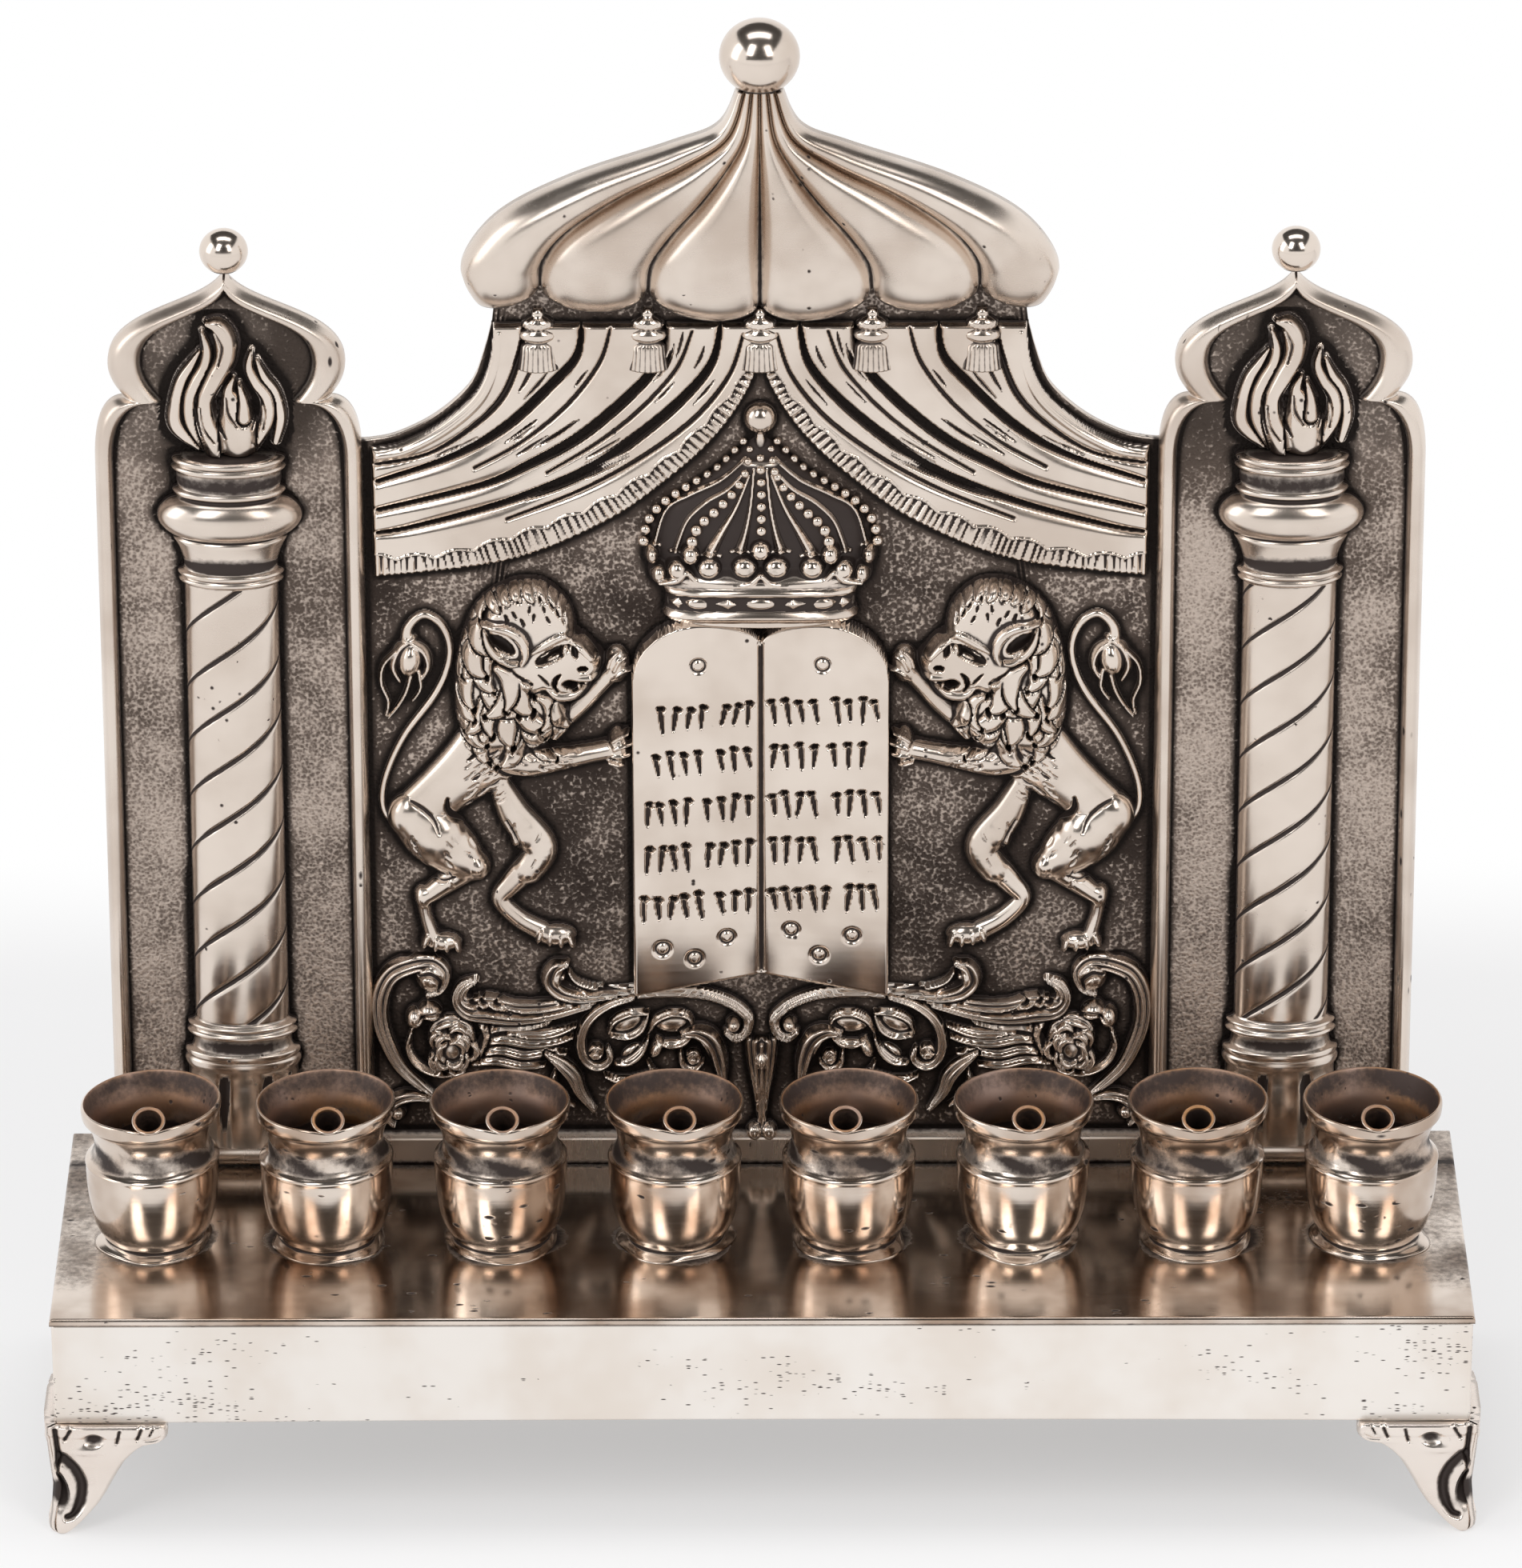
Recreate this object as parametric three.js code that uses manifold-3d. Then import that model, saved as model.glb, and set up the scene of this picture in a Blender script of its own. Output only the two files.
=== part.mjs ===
// Silver hanukkah menorah: a footed sheet-metal bench carries eight oil cups with wick tubes,
// and a tall relief plate with columns, lions, tablets, crown, curtains and a canopy behind them.
// Millimetres, +Z up, the front faces -Y, the origin is under the middle of the bench.
import * as THREE from 'three';
import { mergeVertices } from 'three/addons/utils/BufferGeometryUtils.js';
import Module from 'manifold-3d';

const wasm = await Module();
wasm.setup();

// Bench
const BENCH_WIDTH = 230;
const BENCH_DEPTH = 67;
const BENCH_HEIGHT = 19.2;
const TOP_SHEET = 1.2;
const APRON_SHEET = 1.2;
const APRON_INSET = 0.25;
const FOOT_HEIGHT = 19.8;
const FOOT_OVERHANG = 1.7;
const FOOT_SPREAD = 20.3;
const FOOT_THICKNESS = 3.4;
const FOOT_PAD = 3.2;

// Oil cups
const CUP_COUNT = 8;
const CUP_END_GAP = 15.6;
const CUP_PITCH = (BENCH_WIDTH - 2 * CUP_END_GAP) / (CUP_COUNT - 1);
const CUP_SETBACK = 28.6;
const CUP_HEIGHT = 25.3;
const CUP_RIM_RADIUS = 11.4;
const CUP_NECK_RADIUS = 9.6;
const CUP_BELLY_RADIUS = 10.95;
const CUP_FOOT_RADIUS = 8.7;
const CUP_WALL = 0.75;
const CUP_FLOOR = 1.4;
const CUP_TURN_LIMIT_DEGREES = 6;
const CUP_TURN_SHARES = [0.17, 0.83, 0.67, 1, -0.67, 0.67, -0.33, 0.33];

// Wick tubes
const TUBE_RADIUS = 2.75;
const TUBE_BORE_RADIUS = 1.95;
const TUBE_LEAN_DEGREES = 30;
const TUBE_MOUTH_OUT = 8.9;
const TUBE_MOUTH_ABOVE_RIM = 0.4;
const TUBE_FLOOR_GAP = 0.4;

// Relief plate
const PLATE_REAR_GAP = 10.75;
const PLATE_END_GAP = 8;
const PLATE_WIDTH = BENCH_WIDTH - 2 * PLATE_END_GAP;
const PLATE_RISE = 202.3;
const CENTRE_SHEET = 1.75;
const PANEL_SHEET = 1.5;
const PANEL_WIDTH = 43;
const PANEL_LAP = 3;
const BAND_WIDTH = 3.1;
const BAND_RISE = 2.2;
const STRIP_HEIGHT = 5.5;
const STRIP_RISE = 1.4;
const EDGE = 0.5;
const SEAT_GAP = 0.3;

// Relief heights of the applied castings
const CANOPY_RISE = 7;
const CANOPY_VALLEY = 1.6;
const CURTAIN_GROUND = 0.9;
const CURTAIN_FOLD = 1.5;
const TASSEL_SINK = 0.4;
const CROWN_RISE = 5.4;
const CROWN_RIB = 0.8;
const TABLET_RISE = 5;
const TABLET_SPINE = 3.2;
const LION_RISE = 4.6;
const SCROLL_RISE = 2.6;
const COLUMN_DEPTH_SHARE = 0.6;
const FLUTE_DEPTH = 0.55;
const FLAME_RISE = 3.2;

// Balls on the canopy and on the two arches
const CANOPY_BALL_RADIUS = 6.75;
const PANEL_BALL_RADIUS = 4.1;
const BALL_SQUASH_SHARE = 0.88;
const BALL_SEAT_SHARE = 0.9;

// Rear brackets with their screws and nuts
const BRACKET_OUT_SHARE = 0.625;
const BRACKET_WIDTH = 14;
const BRACKET_SHEET = 1.5;
const BRACKET_RISE = 12;
const BRACKET_FOOT = 7.5;
const SCREW_RADIUS = 1.25;
const SCREW_HEAD_RADIUS = 2.4;
const SCREW_HEAD_RISE = 1.3;
const SCREW_DOME_SHARE = 0.8;
const SCREW_TAIL = 1.2;
const NUT_RADIUS = 2.9;
const NUT_HEIGHT = 2;

// Cutting tools run past the metal by this much
const OVERRUN = 2;

// Points closer than this are one point
const EDGE_SLACK = 1e-4;

// Fineness of the facets
const CUP_SEGMENTS = 12;
const TUBE_SEGMENTS = 8;
const BALL_SEGMENTS = 10;
const BOSS_SEGMENTS = 6;
const NUT_SIDES = 6;
const STRAND_SIDES = 3;
const COLUMN_COLUMNS = 5;
const OUTLINE_STEPS = 8;
const FOOT_CURVE_STEPS = 3;
const LEAF_STEPS = 4;
const FLAME_STEPS = 5;
const STEM_STEPS = 3;

// How the plate lies in the photograph, in picture points: the row of its foot, the row of the
// top of its ball, half its width at these two rows, and the middle columns of its three parts.
// The upper rows are nearer to the lens, which the perspective share takes back out.
const PICTURE_FOOT_ROW = 1449;
const PICTURE_TOP_ROW = 22;
const PICTURE_FOOT_HALF = 805;
const PICTURE_TOP_HALF = 847;
const PICTURE_PERSPECTIVE_SHARE = 0.0513;
const PICTURE_CARVING_MIDDLE = 957;
const PICTURE_CROWN_MIDDLE = 961;
const PICTURE_FLAME_MIDDLE = 300;

// A casting's face looks lower in the picture than the sheet behind it, by this share of its rise
const PICTURE_LIFT_SHARE = 0.38;

// The shares of half the plate's width that the field between the panels and a panel take
const PICTURE_FIELD_SHARE = 0.598131;
const PICTURE_PANEL_SHARE = 0.401869;

const BENCH_TOP = FOOT_HEIGHT + BENCH_HEIGHT;
const PLATE_FRONT = BENCH_DEPTH / 2 - PLATE_REAR_GAP;
const PANEL_INNER = PLATE_WIDTH / 2 - PANEL_WIDTH;
const PANEL_MIDDLE = PLATE_WIDTH / 2 - PANEL_WIDTH / 2;
const BRACKET_OUT = PANEL_INNER * BRACKET_OUT_SHARE;

// Views of the picture: the middle column, and half the plate's width at the scale of that part
const CARVING_VIEW = { middle: PICTURE_CARVING_MIDDLE, half: PANEL_INNER / PICTURE_FIELD_SHARE };
const CROWN_VIEW = { middle: PICTURE_CROWN_MIDDLE, half: PANEL_INNER / PICTURE_FIELD_SHARE };
const PANEL_VIEW = { middle: PICTURE_FLAME_MIDDLE, half: PANEL_WIDTH / PICTURE_PANEL_SHARE };

const polished = { color: 0xd8cdc2, roughness: 0.24, metalness: 1 };
const worn = { color: 0xbfb2a6, roughness: 0.38, metalness: 1 };
const oxidised = { color: 0x4a3f38, roughness: 0.6, metalness: 0.9 };

const menorah = new THREE.Group();
const onBench = new THREE.Group();
onBench.position.z = BENCH_TOP;
const onPlate = new THREE.Group();
onPlate.position.y = PLATE_FRONT;
const onPanels = new THREE.Group();
onPanels.position.y = -PANEL_SHEET;
menorah.add(onBench);
onBench.add(onPlate);
onPlate.add(onPanels);

// A closed geometry as a solid that can be joined and cut, with its faces turned outwards
function solidOf(geometry) {
  const bare = geometry.clone();
  bare.deleteAttribute('normal');
  bare.deleteAttribute('uv');
  const merged = mergeVertices(bare);
  const vertProperties = merged.attributes.position.array;
  const triVerts = new Uint32Array(merged.index.array);
  const solid = new wasm.Manifold(new wasm.Mesh({ numProp: 3, vertProperties, triVerts }));
  if (solid.volume() > 0) return solid;
  return new wasm.Manifold(new wasm.Mesh({ numProp: 3, vertProperties, triVerts: triVerts.reverse() }));
}

function geometryOf(solid) {
  const made = solid.getMesh();
  const geometry = new THREE.BufferGeometry();
  geometry.setAttribute('position', new THREE.BufferAttribute(made.vertProperties, 3));
  geometry.setIndex(new THREE.BufferAttribute(made.triVerts, 1));
  geometry.computeVertexNormals();
  return geometry;
}

function joined(solids) {
  return solids.reduce((sum, solid) => sum.add(solid));
}

function piece(parent, name, shape, finish) {
  const geometry = shape.isBufferGeometry ? shape : geometryOf(shape);
  const mesh = new THREE.Mesh(geometry, new THREE.MeshStandardMaterial(finish));
  mesh.name = name;
  parent.add(mesh);
  return mesh;
}

// A left-hand piece and its mirrored twin, at a height
function pair(parent, name, shape, finish, height = 0) {
  const left = piece(parent, `${name}_left`, shape, finish);
  const right = piece(parent, `${name}_right`, left.geometry, finish);
  right.scale.x = -1;
  left.position.z = height;
  right.position.z = height;
}

function block(xs, ys, zs) {
  const box = new THREE.BoxGeometry(xs[1] - xs[0], ys[1] - ys[0], zs[1] - zs[0]);
  box.translate((xs[0] + xs[1]) / 2, (ys[0] + ys[1]) / 2, (zs[0] + zs[1]) / 2);
  return solidOf(box);
}

// An outline drawn in X and Z, thickened from the face at y = back towards the front
function sheetOf(shape, thickness, back) {
  const sheet = new THREE.ExtrudeGeometry(shape, { depth: thickness, bevelEnabled: false });
  sheet.rotateX(Math.PI / 2);
  sheet.translate(0, back, 0);
  return solidOf(sheet);
}

// A turned shape about the Z axis, from a profile of radius and height pairs
function turned(profile, segments) {
  const points = profile.map(([radius, height]) => new THREE.Vector2(radius, height));
  const lathe = new THREE.LatheGeometry(points, segments);
  lathe.rotateX(Math.PI / 2);
  return lathe;
}

// The share of the plate's rise, from 0 at its foot, at which a picture row lies
function rowShare(row) {
  return (PICTURE_FOOT_ROW - row) / (PICTURE_FOOT_ROW - PICTURE_TOP_ROW);
}

// The height above the bench at which a picture row lies
function heightOfRow(row) {
  const share = rowShare(row);
  const stretch = (1 + PICTURE_PERSPECTIVE_SHARE) / (1 + PICTURE_PERSPECTIVE_SHARE * share);
  return PLATE_RISE * share * stretch;
}

// A length along a picture row, on the plate
function spanInRow(points, row, view = CARVING_VIEW) {
  const half = THREE.MathUtils.lerp(PICTURE_FOOT_HALF, PICTURE_TOP_HALF, rowShare(row));
  return (points / half) * view.half;
}

function fromPicture([column, row], view) {
  return new THREE.Vector2(spanInRow(column - view.middle, row, view), heightOfRow(row));
}

function curveFromPicture(points, view) {
  return new THREE.SplineCurve(points.map((point) => fromPicture(point, view)));
}

// Reads a list of values at a share of its length
function along(values, share) {
  const place = Math.min(share, 1) * (values.length - 1);
  const before = Math.min(Math.floor(place), values.length - 2);
  return THREE.MathUtils.lerp(values[before], values[before + 1], place - before);
}

// A casting with a flat back at y = 0: place(u, v) gives x, z and the relief height there
function reliefSheet(columns, rows, place) {
  const stride = columns + 1;
  const front = [];
  for (let row = 0; row <= rows; row += 1) {
    for (let column = 0; column <= columns; column += 1) {
      front.push(place(column / columns, row / rows));
    }
  }
  const behind = front.length;
  const positions = front.flatMap(([x, z, height]) => [x, -height, z]);
  positions.push(...front.flatMap(([x, z]) => [x, 0, z]));
  const faces = [];
  const wall = (a, b) => faces.push(a, behind + a, behind + b, a, behind + b, b);
  for (let row = 0; row < rows; row += 1) {
    for (let column = 0; column < columns; column += 1) {
      const a = row * stride + column;
      const c = a + stride + 1;
      faces.push(a, a + 1, c, a, c, c - 1);
      faces.push(behind + a, behind + c, behind + a + 1);
      faces.push(behind + a, behind + c - 1, behind + c);
    }
    wall(row * stride + columns, (row + 1) * stride + columns);
    wall((row + 1) * stride, row * stride);
  }
  for (let column = 0; column < columns; column += 1) {
    wall(column, column + 1);
    wall(rows * stride + column + 1, rows * stride + column);
  }
  const geometry = new THREE.BufferGeometry();
  geometry.setAttribute('position', new THREE.Float32BufferAttribute(positions, 3));
  geometry.setIndex(faces);
  return solidOf(geometry);
}

// A body through rings of as many points each, closed on its first ring or capped at both ends
function loft(rings, closed) {
  const around = rings[0].length;
  const spans = closed ? rings.length : rings.length - 1;
  const faces = [];
  for (let span = 0; span < spans; span += 1) {
    const here = span * around;
    const ahead = ((span + 1) % rings.length) * around;
    for (let step = 0; step < around; step += 1) {
      const next = (step + 1) % around;
      faces.push(here + step, here + next, ahead + next);
      faces.push(here + step, ahead + next, ahead + step);
    }
  }
  for (let step = 1; step < around - 1 && !closed; step += 1) {
    const end = spans * around;
    faces.push(0, step + 1, step);
    faces.push(end, end + step, end + step + 1);
  }
  const geometry = new THREE.BufferGeometry();
  geometry.setAttribute('position', new THREE.Float32BufferAttribute(rings.flat(2), 3));
  geometry.setIndex(faces);
  return solidOf(geometry);
}

// A rounded rim with a flat back at y = 0, filling the space between two outlines that have as
// many points as each other
function reliefRing(outer, inner, ground, rise, sides = STRAND_SIDES) {
  const rings = outer.map((edge, index) => {
    const ring = [];
    for (let side = 0; side <= sides; side += 1) {
      const share = side / sides;
      const point = edge.clone().lerp(inner[index], share);
      ring.push([point.x, -ground - rise * Math.sin(Math.PI * share), point.y]);
    }
    return [...ring, [inner[index].x, 0, inner[index].y], [edge.x, 0, edge.y]];
  });
  return loft(rings, true);
}

// A rounded strand with a flat back along picture points of column, row and width
function strand(points, rise, steps, view = CARVING_VIEW, sides = STRAND_SIDES) {
  const curve = new THREE.SplineCurve(points.map(([column, row]) => new THREE.Vector2(column, row)));
  const widths = points.map(([, , width]) => width);
  const widest = Math.max(...widths);
  const rings = [];
  for (let step = 0; step <= steps; step += 1) {
    const centre = curve.getPoint(step / steps);
    const tangent = curve.getTangent(step / steps);
    const width = along(widths, step / steps);
    const ring = [];
    for (let side = 0; side <= sides; side += 1) {
      const angle = (side / sides - 1 / 2) * Math.PI;
      const offset = Math.sin(angle) * (width / 2);
      const height = side % sides === 0 ? 0 : rise * Math.sqrt(width / widest) * Math.cos(angle);
      const place = [centre.x - tangent.y * offset, centre.y + tangent.x * offset];
      const point = fromPicture(place, view);
      ring.push([point.x, -height, point.y]);
    }
    rings.push(ring);
  }
  return loft(rings, false);
}

// Planes the back level, which leaves it one flat face
function planed(solid) {
  const behind = block([-PLATE_WIDTH, PLATE_WIDTH], [0, PLATE_WIDTH], [-PLATE_RISE, PLATE_RISE * 2]);
  return solid.subtract(behind);
}

// Radius and height shares of a boss, from its middle at the back round to its top
const BOSS_PROFILE_SHARES = [[0, 0], [1, 0], [0.8, 0.6], [0, 1]];

// A half ellipsoid with a flat back, from picture column, row, half width and half height
function boss([column, row, halfWidth, halfHeight], rise, view = CARVING_VIEW) {
  const points = BOSS_PROFILE_SHARES.map(([radius, height]) => new THREE.Vector2(radius, height));
  const dome = new THREE.LatheGeometry(points, BOSS_SEGMENTS);
  const centre = fromPicture([column, row], view);
  const tall = (heightOfRow(row - halfHeight) - heightOfRow(row + halfHeight)) / 2;
  dome.rotateX(Math.PI);
  dome.scale(spanInRow(halfWidth, row, view), rise, tall);
  dome.translate(centre.x, 0, centre.y);
  return solidOf(dome);
}

// Bench

function benchTop() {
  const half = BENCH_WIDTH / 2;
  const deep = BENCH_DEPTH / 2;
  const top = block([-half, half], [-deep, deep], [-TOP_SHEET, 0]);
  const holes = [-BRACKET_OUT, BRACKET_OUT].map((x) => screwHole(x));
  return top.subtract(joined(holes));
}

function apron() {
  const half = BENCH_WIDTH / 2 - APRON_INSET;
  const deep = BENCH_DEPTH / 2 - APRON_INSET;
  const below = -BENCH_HEIGHT;
  const outer = block([-half, half], [-deep, deep], [below, -TOP_SHEET]);
  const innerHalf = half - APRON_SHEET;
  const innerDeep = deep - APRON_SHEET;
  const inner = block([-innerHalf, innerHalf], [-innerDeep, innerDeep],
    [below - OVERRUN, -TOP_SHEET + OVERRUN]);
  return outer.subtract(inner);
}

// One wing of a bracket foot, drawn from its outer corner inwards: leaf, scroll end and tip
const WING_SPREAD_SHARES = { scroll: 1, notch: 0.88, hollow: 0.6, ankle: 0.37, tip: 0.2, heel: 0.04 };
const WING_HEIGHT_SHARES = { scroll: 0.9, notch: 0.84, hollow: 0.66, ankle: 0.34, heel: 0.14 };

function footWing() {
  const across = (share) => FOOT_SPREAD * share;
  const up = (share) => FOOT_HEIGHT * share;
  const wide = WING_SPREAD_SHARES;
  const high = WING_HEIGHT_SHARES;
  const wing = new THREE.Shape();
  wing.moveTo(0, FOOT_HEIGHT);
  wing.quadraticCurveTo(across(wide.heel) * 2, up(high.ankle), across(wide.heel), up(high.heel));
  wing.lineTo(across(wide.heel), 0);
  wing.lineTo(across(wide.heel) + FOOT_PAD, 0);
  wing.quadraticCurveTo(across(wide.ankle), up(high.heel), across(wide.ankle), up(high.ankle));
  wing.quadraticCurveTo(across(wide.ankle), up(high.hollow), across(wide.hollow), up(high.hollow));
  wing.quadraticCurveTo(across(wide.notch), up(high.hollow), across(wide.notch), up(high.notch));
  wing.quadraticCurveTo(across(wide.scroll), up(high.notch), across(wide.scroll), up(high.scroll));
  wing.lineTo(across(wide.scroll), FOOT_HEIGHT);
  wing.closePath();
  return wing;
}

// The leaf spine on the corner of a foot: its thickness in the foot's metal, and how far it bows out
const LEAF_THICK_SHARE = 0.9;
const LEAF_BOW_SHARE = 2;

function foot() {
  const metal = { depth: FOOT_THICKNESS, bevelEnabled: false, curveSegments: FOOT_CURVE_STEPS };
  const wing = new THREE.ExtrudeGeometry(footWing(), metal);
  wing.rotateX(Math.PI / 2);
  wing.translate(0, FOOT_THICKNESS, 0);
  const acrossDiagonal = new THREE.Matrix4().set(0, 1, 0, 0, 1, 0, 0, 0, 0, 0, 1, 0, 0, 0, 0, 1);
  const sideWing = wing.clone().applyMatrix4(acrossDiagonal);
  return solidOf(wing).add(solidOf(sideWing)).add(leafSpine());
}

// A rounded rib on the corner of a foot, thick at the leaf and thin at the ankle
function leafSpine() {
  const thick = FOOT_THICKNESS * LEAF_THICK_SHARE;
  const bow = thick * LEAF_BOW_SHARE;
  const path = new THREE.QuadraticBezierCurve3(
    new THREE.Vector3(thick, thick, FOOT_HEIGHT + OVERRUN),
    new THREE.Vector3(bow, bow, FOOT_HEIGHT / 2),
    new THREE.Vector3(thick, thick, -OVERRUN),
  );
  const section = new THREE.Shape();
  section.absarc(0, 0, thick, 0, Math.PI * 2);
  const rib = new THREE.ExtrudeGeometry(section, {
    extrudePath: path, steps: LEAF_STEPS, curveSegments: FOOT_CURVE_STEPS, bevelEnabled: false,
  });
  return solidOf(rib).intersect(block([0, FOOT_SPREAD], [0, FOOT_SPREAD], [0, FOOT_HEIGHT]));
}

function addFeet() {
  const shape = geometryOf(foot());
  const half = BENCH_WIDTH / 2 + FOOT_OVERHANG;
  const deep = BENCH_DEPTH / 2 + FOOT_OVERHANG;
  const corners = [['front_left', 1, 1], ['front_right', -1, 1], ['rear_left', 1, -1],
    ['rear_right', -1, -1]];
  corners.forEach(([name, right, back]) => {
    const mesh = piece(menorah, `foot_${name}`, shape, polished);
    mesh.scale.set(right, back, 1);
    mesh.position.set(-half * right, -deep * back, 0);
  });
}

// Oil cups with their wick tubes

// Heights on a cup as shares of its own height
const CUP_HEIGHT_SHARES = { foot: 0.07, bellyLow: 0.42, bellyHigh: 0.6, insideBelly: 0.57,
  neckLow: 0.67, neckHigh: 0.82, lip: 0.96 };

function cupProfile() {
  const foot = CUP_FOOT_RADIUS;
  const belly = CUP_BELLY_RADIUS;
  const neck = CUP_NECK_RADIUS;
  const rim = CUP_RIM_RADIUS;
  const up = (place) => CUP_HEIGHT * CUP_HEIGHT_SHARES[place];
  return [
    [0, 0],
    [foot, 0],
    [foot - CUP_WALL / 2, up('foot')],
    [belly, up('bellyLow')],
    [belly, up('bellyHigh')],
    [neck, up('neckLow')],
    [neck, up('neckHigh')],
    [rim, up('lip')],
    [rim - CUP_WALL / 2, CUP_HEIGHT],
    [neck - CUP_WALL, up('neckHigh')],
    [neck - CUP_WALL, up('neckLow') - CUP_WALL],
    [belly - CUP_WALL, up('insideBelly')],
    [belly - CUP_WALL, up('bellyLow')],
    [foot - 2 * CUP_WALL, up('foot') + CUP_FLOOR],
    [0, CUP_FLOOR],
  ];
}

// A straight round bar along the wick tube's own line, from its mouth towards the cup's floor
function tubeBar(radius, pastMouth, pastTail) {
  const lean = THREE.MathUtils.degToRad(TUBE_LEAN_DEGREES);
  const mouthHeight = CUP_HEIGHT + TUBE_MOUTH_ABOVE_RIM;
  const tailHeight = CUP_FLOOR + TUBE_FLOOR_GAP + TUBE_RADIUS * Math.sin(lean);
  const length = (mouthHeight - tailHeight) / Math.cos(lean);
  const bar = new THREE.CylinderGeometry(radius, radius, length + pastMouth + pastTail,
    TUBE_SEGMENTS);
  bar.translate(0, (pastMouth - pastTail - length) / 2, 0);
  bar.rotateX(Math.PI / 2 + lean);
  bar.translate(0, -TUBE_MOUTH_OUT, mouthHeight);
  return solidOf(bar);
}

function wickTube() {
  return tubeBar(TUBE_RADIUS, 0, 0).subtract(tubeBar(TUBE_BORE_RADIUS, OVERRUN, OVERRUN));
}

function oilCup() {
  const body = solidOf(turned(cupProfile(), CUP_SEGMENTS));
  return body.subtract(tubeBar(TUBE_RADIUS + SEAT_GAP, OVERRUN, 0));
}

function addCups() {
  const cup = geometryOf(oilCup());
  const tube = geometryOf(wickTube());
  for (let index = 0; index < CUP_COUNT; index += 1) {
    const station = new THREE.Group();
    station.position.x = (index - (CUP_COUNT - 1) / 2) * CUP_PITCH;
    station.position.y = CUP_SETBACK - BENCH_DEPTH / 2;
    const turn = CUP_TURN_LIMIT_DEGREES * CUP_TURN_SHARES[index % CUP_TURN_SHARES.length];
    station.rotation.z = THREE.MathUtils.degToRad(turn);
    onBench.add(station);
    piece(station, `oil_cup_${index + 1}`, cup, worn);
    piece(station, `wick_tube_${index + 1}`, tube, worn);
  }
}

// Side panels with an ogee arch, seen as shares of half the panel's width and as picture rows
const ARCH_OUTER = { cuspShare: 0.76, lobeShare: 0.885, shoulderRow: 565, cuspRow: 489,
  lobeRow: 447, peakRow: 332 };
const ARCH_INNER = { cuspShare: 0.55, lobeShare: 0.73, shoulderRow: 565, cuspRow: 492,
  lobeRow: 443, peakRow: 356 };
const ARCH_SWEEP_SHARE = 0.6;
const ARCH_THROAT_SHARE = 0.12;
const ARCH_STEPS = 3;

function archShape(half, arch, footHeight) {
  const shoulder = heightOfRow(arch.shoulderRow);
  const cusp = heightOfRow(arch.cuspRow);
  const lobe = heightOfRow(arch.lobeRow);
  const peak = heightOfRow(arch.peakRow);
  const lobeHalf = half * arch.lobeShare;
  const cuspHalf = half * arch.cuspShare;
  const throat = half * ARCH_THROAT_SHARE;
  const swept = THREE.MathUtils.lerp(lobe, peak, ARCH_SWEEP_SHARE);
  const shape = new THREE.Shape();
  shape.moveTo(-half, footHeight);
  shape.lineTo(half, footHeight);
  shape.lineTo(half, shoulder);
  shape.quadraticCurveTo(half, cusp, cuspHalf, cusp);
  shape.quadraticCurveTo(lobeHalf, (cusp + lobe) / 2, lobeHalf, lobe);
  shape.bezierCurveTo(lobeHalf, swept, throat, swept, 0, peak);
  shape.bezierCurveTo(-throat, swept, -lobeHalf, swept, -lobeHalf, lobe);
  shape.quadraticCurveTo(-lobeHalf, (cusp + lobe) / 2, -cuspHalf, cusp);
  shape.quadraticCurveTo(-half, cusp, -half, shoulder);
  shape.closePath();
  return shape;
}

// An outline's points without the last one, which closes it on the first
function loopPoints(shape) {
  const points = shape.getPoints(ARCH_STEPS);
  const last = points.length - 1;
  return points[last].distanceTo(points[0]) < EDGE_SLACK ? points.slice(0, last) : points;
}

function sidePanel() {
  const half = PANEL_WIDTH / 2;
  const outer = archShape(half, ARCH_OUTER, 0);
  const inner = archShape(half - BAND_WIDTH, ARCH_INNER, STRIP_HEIGHT);
  const band = reliefRing(loopPoints(outer), loopPoints(inner), PANEL_SHEET, BAND_RISE);
  return sheetOf(outer, PANEL_SHEET, 0).add(band);
}

// Turned columns in half relief: picture rows with half widths, from the foot up
const COLUMN_FOOT_ROWS = [[1425, 68], [1331, 68], [1328, 72], [1310, 72], [1306, 62], [1295, 62],
  [1291, 69], [1275, 69], [1272, 60]];
const COLUMN_HEAD_ROWS = [[732, 60], [729, 65.5], [716, 65.5], [710, 62], [690, 64], [675, 71.5],
  [670, 84], [660, 91], [634, 91], [624, 84], [620, 70], [610, 69], [592, 69], [589, 72],
  [576, 72]];
const SHAFT_FOOT_ROW = 1274;
const SHAFT_HEAD_ROW = 730;
const SHAFT_HALF = 58.5;
const FLUTE_COUNT = 8;
const FLUTE_RISE_SHARE = 1.9;
const FLUTE_STEPS = 3;

// A turned moulding whose depth is a share of its half width
function halfTurned(rows) {
  return reliefSheet(COLUMN_COLUMNS, rows.length - 1, (u, v) => {
    const [row, half] = rows[Math.round(v * (rows.length - 1))];
    const angle = (u - 1 / 2) * Math.PI;
    const radius = spanInRow(half, row, PANEL_VIEW);
    const height = EDGE + radius * COLUMN_DEPTH_SHARE * Math.cos(angle);
    return [radius * Math.sin(angle), heightOfRow(row), height];
  });
}

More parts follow.
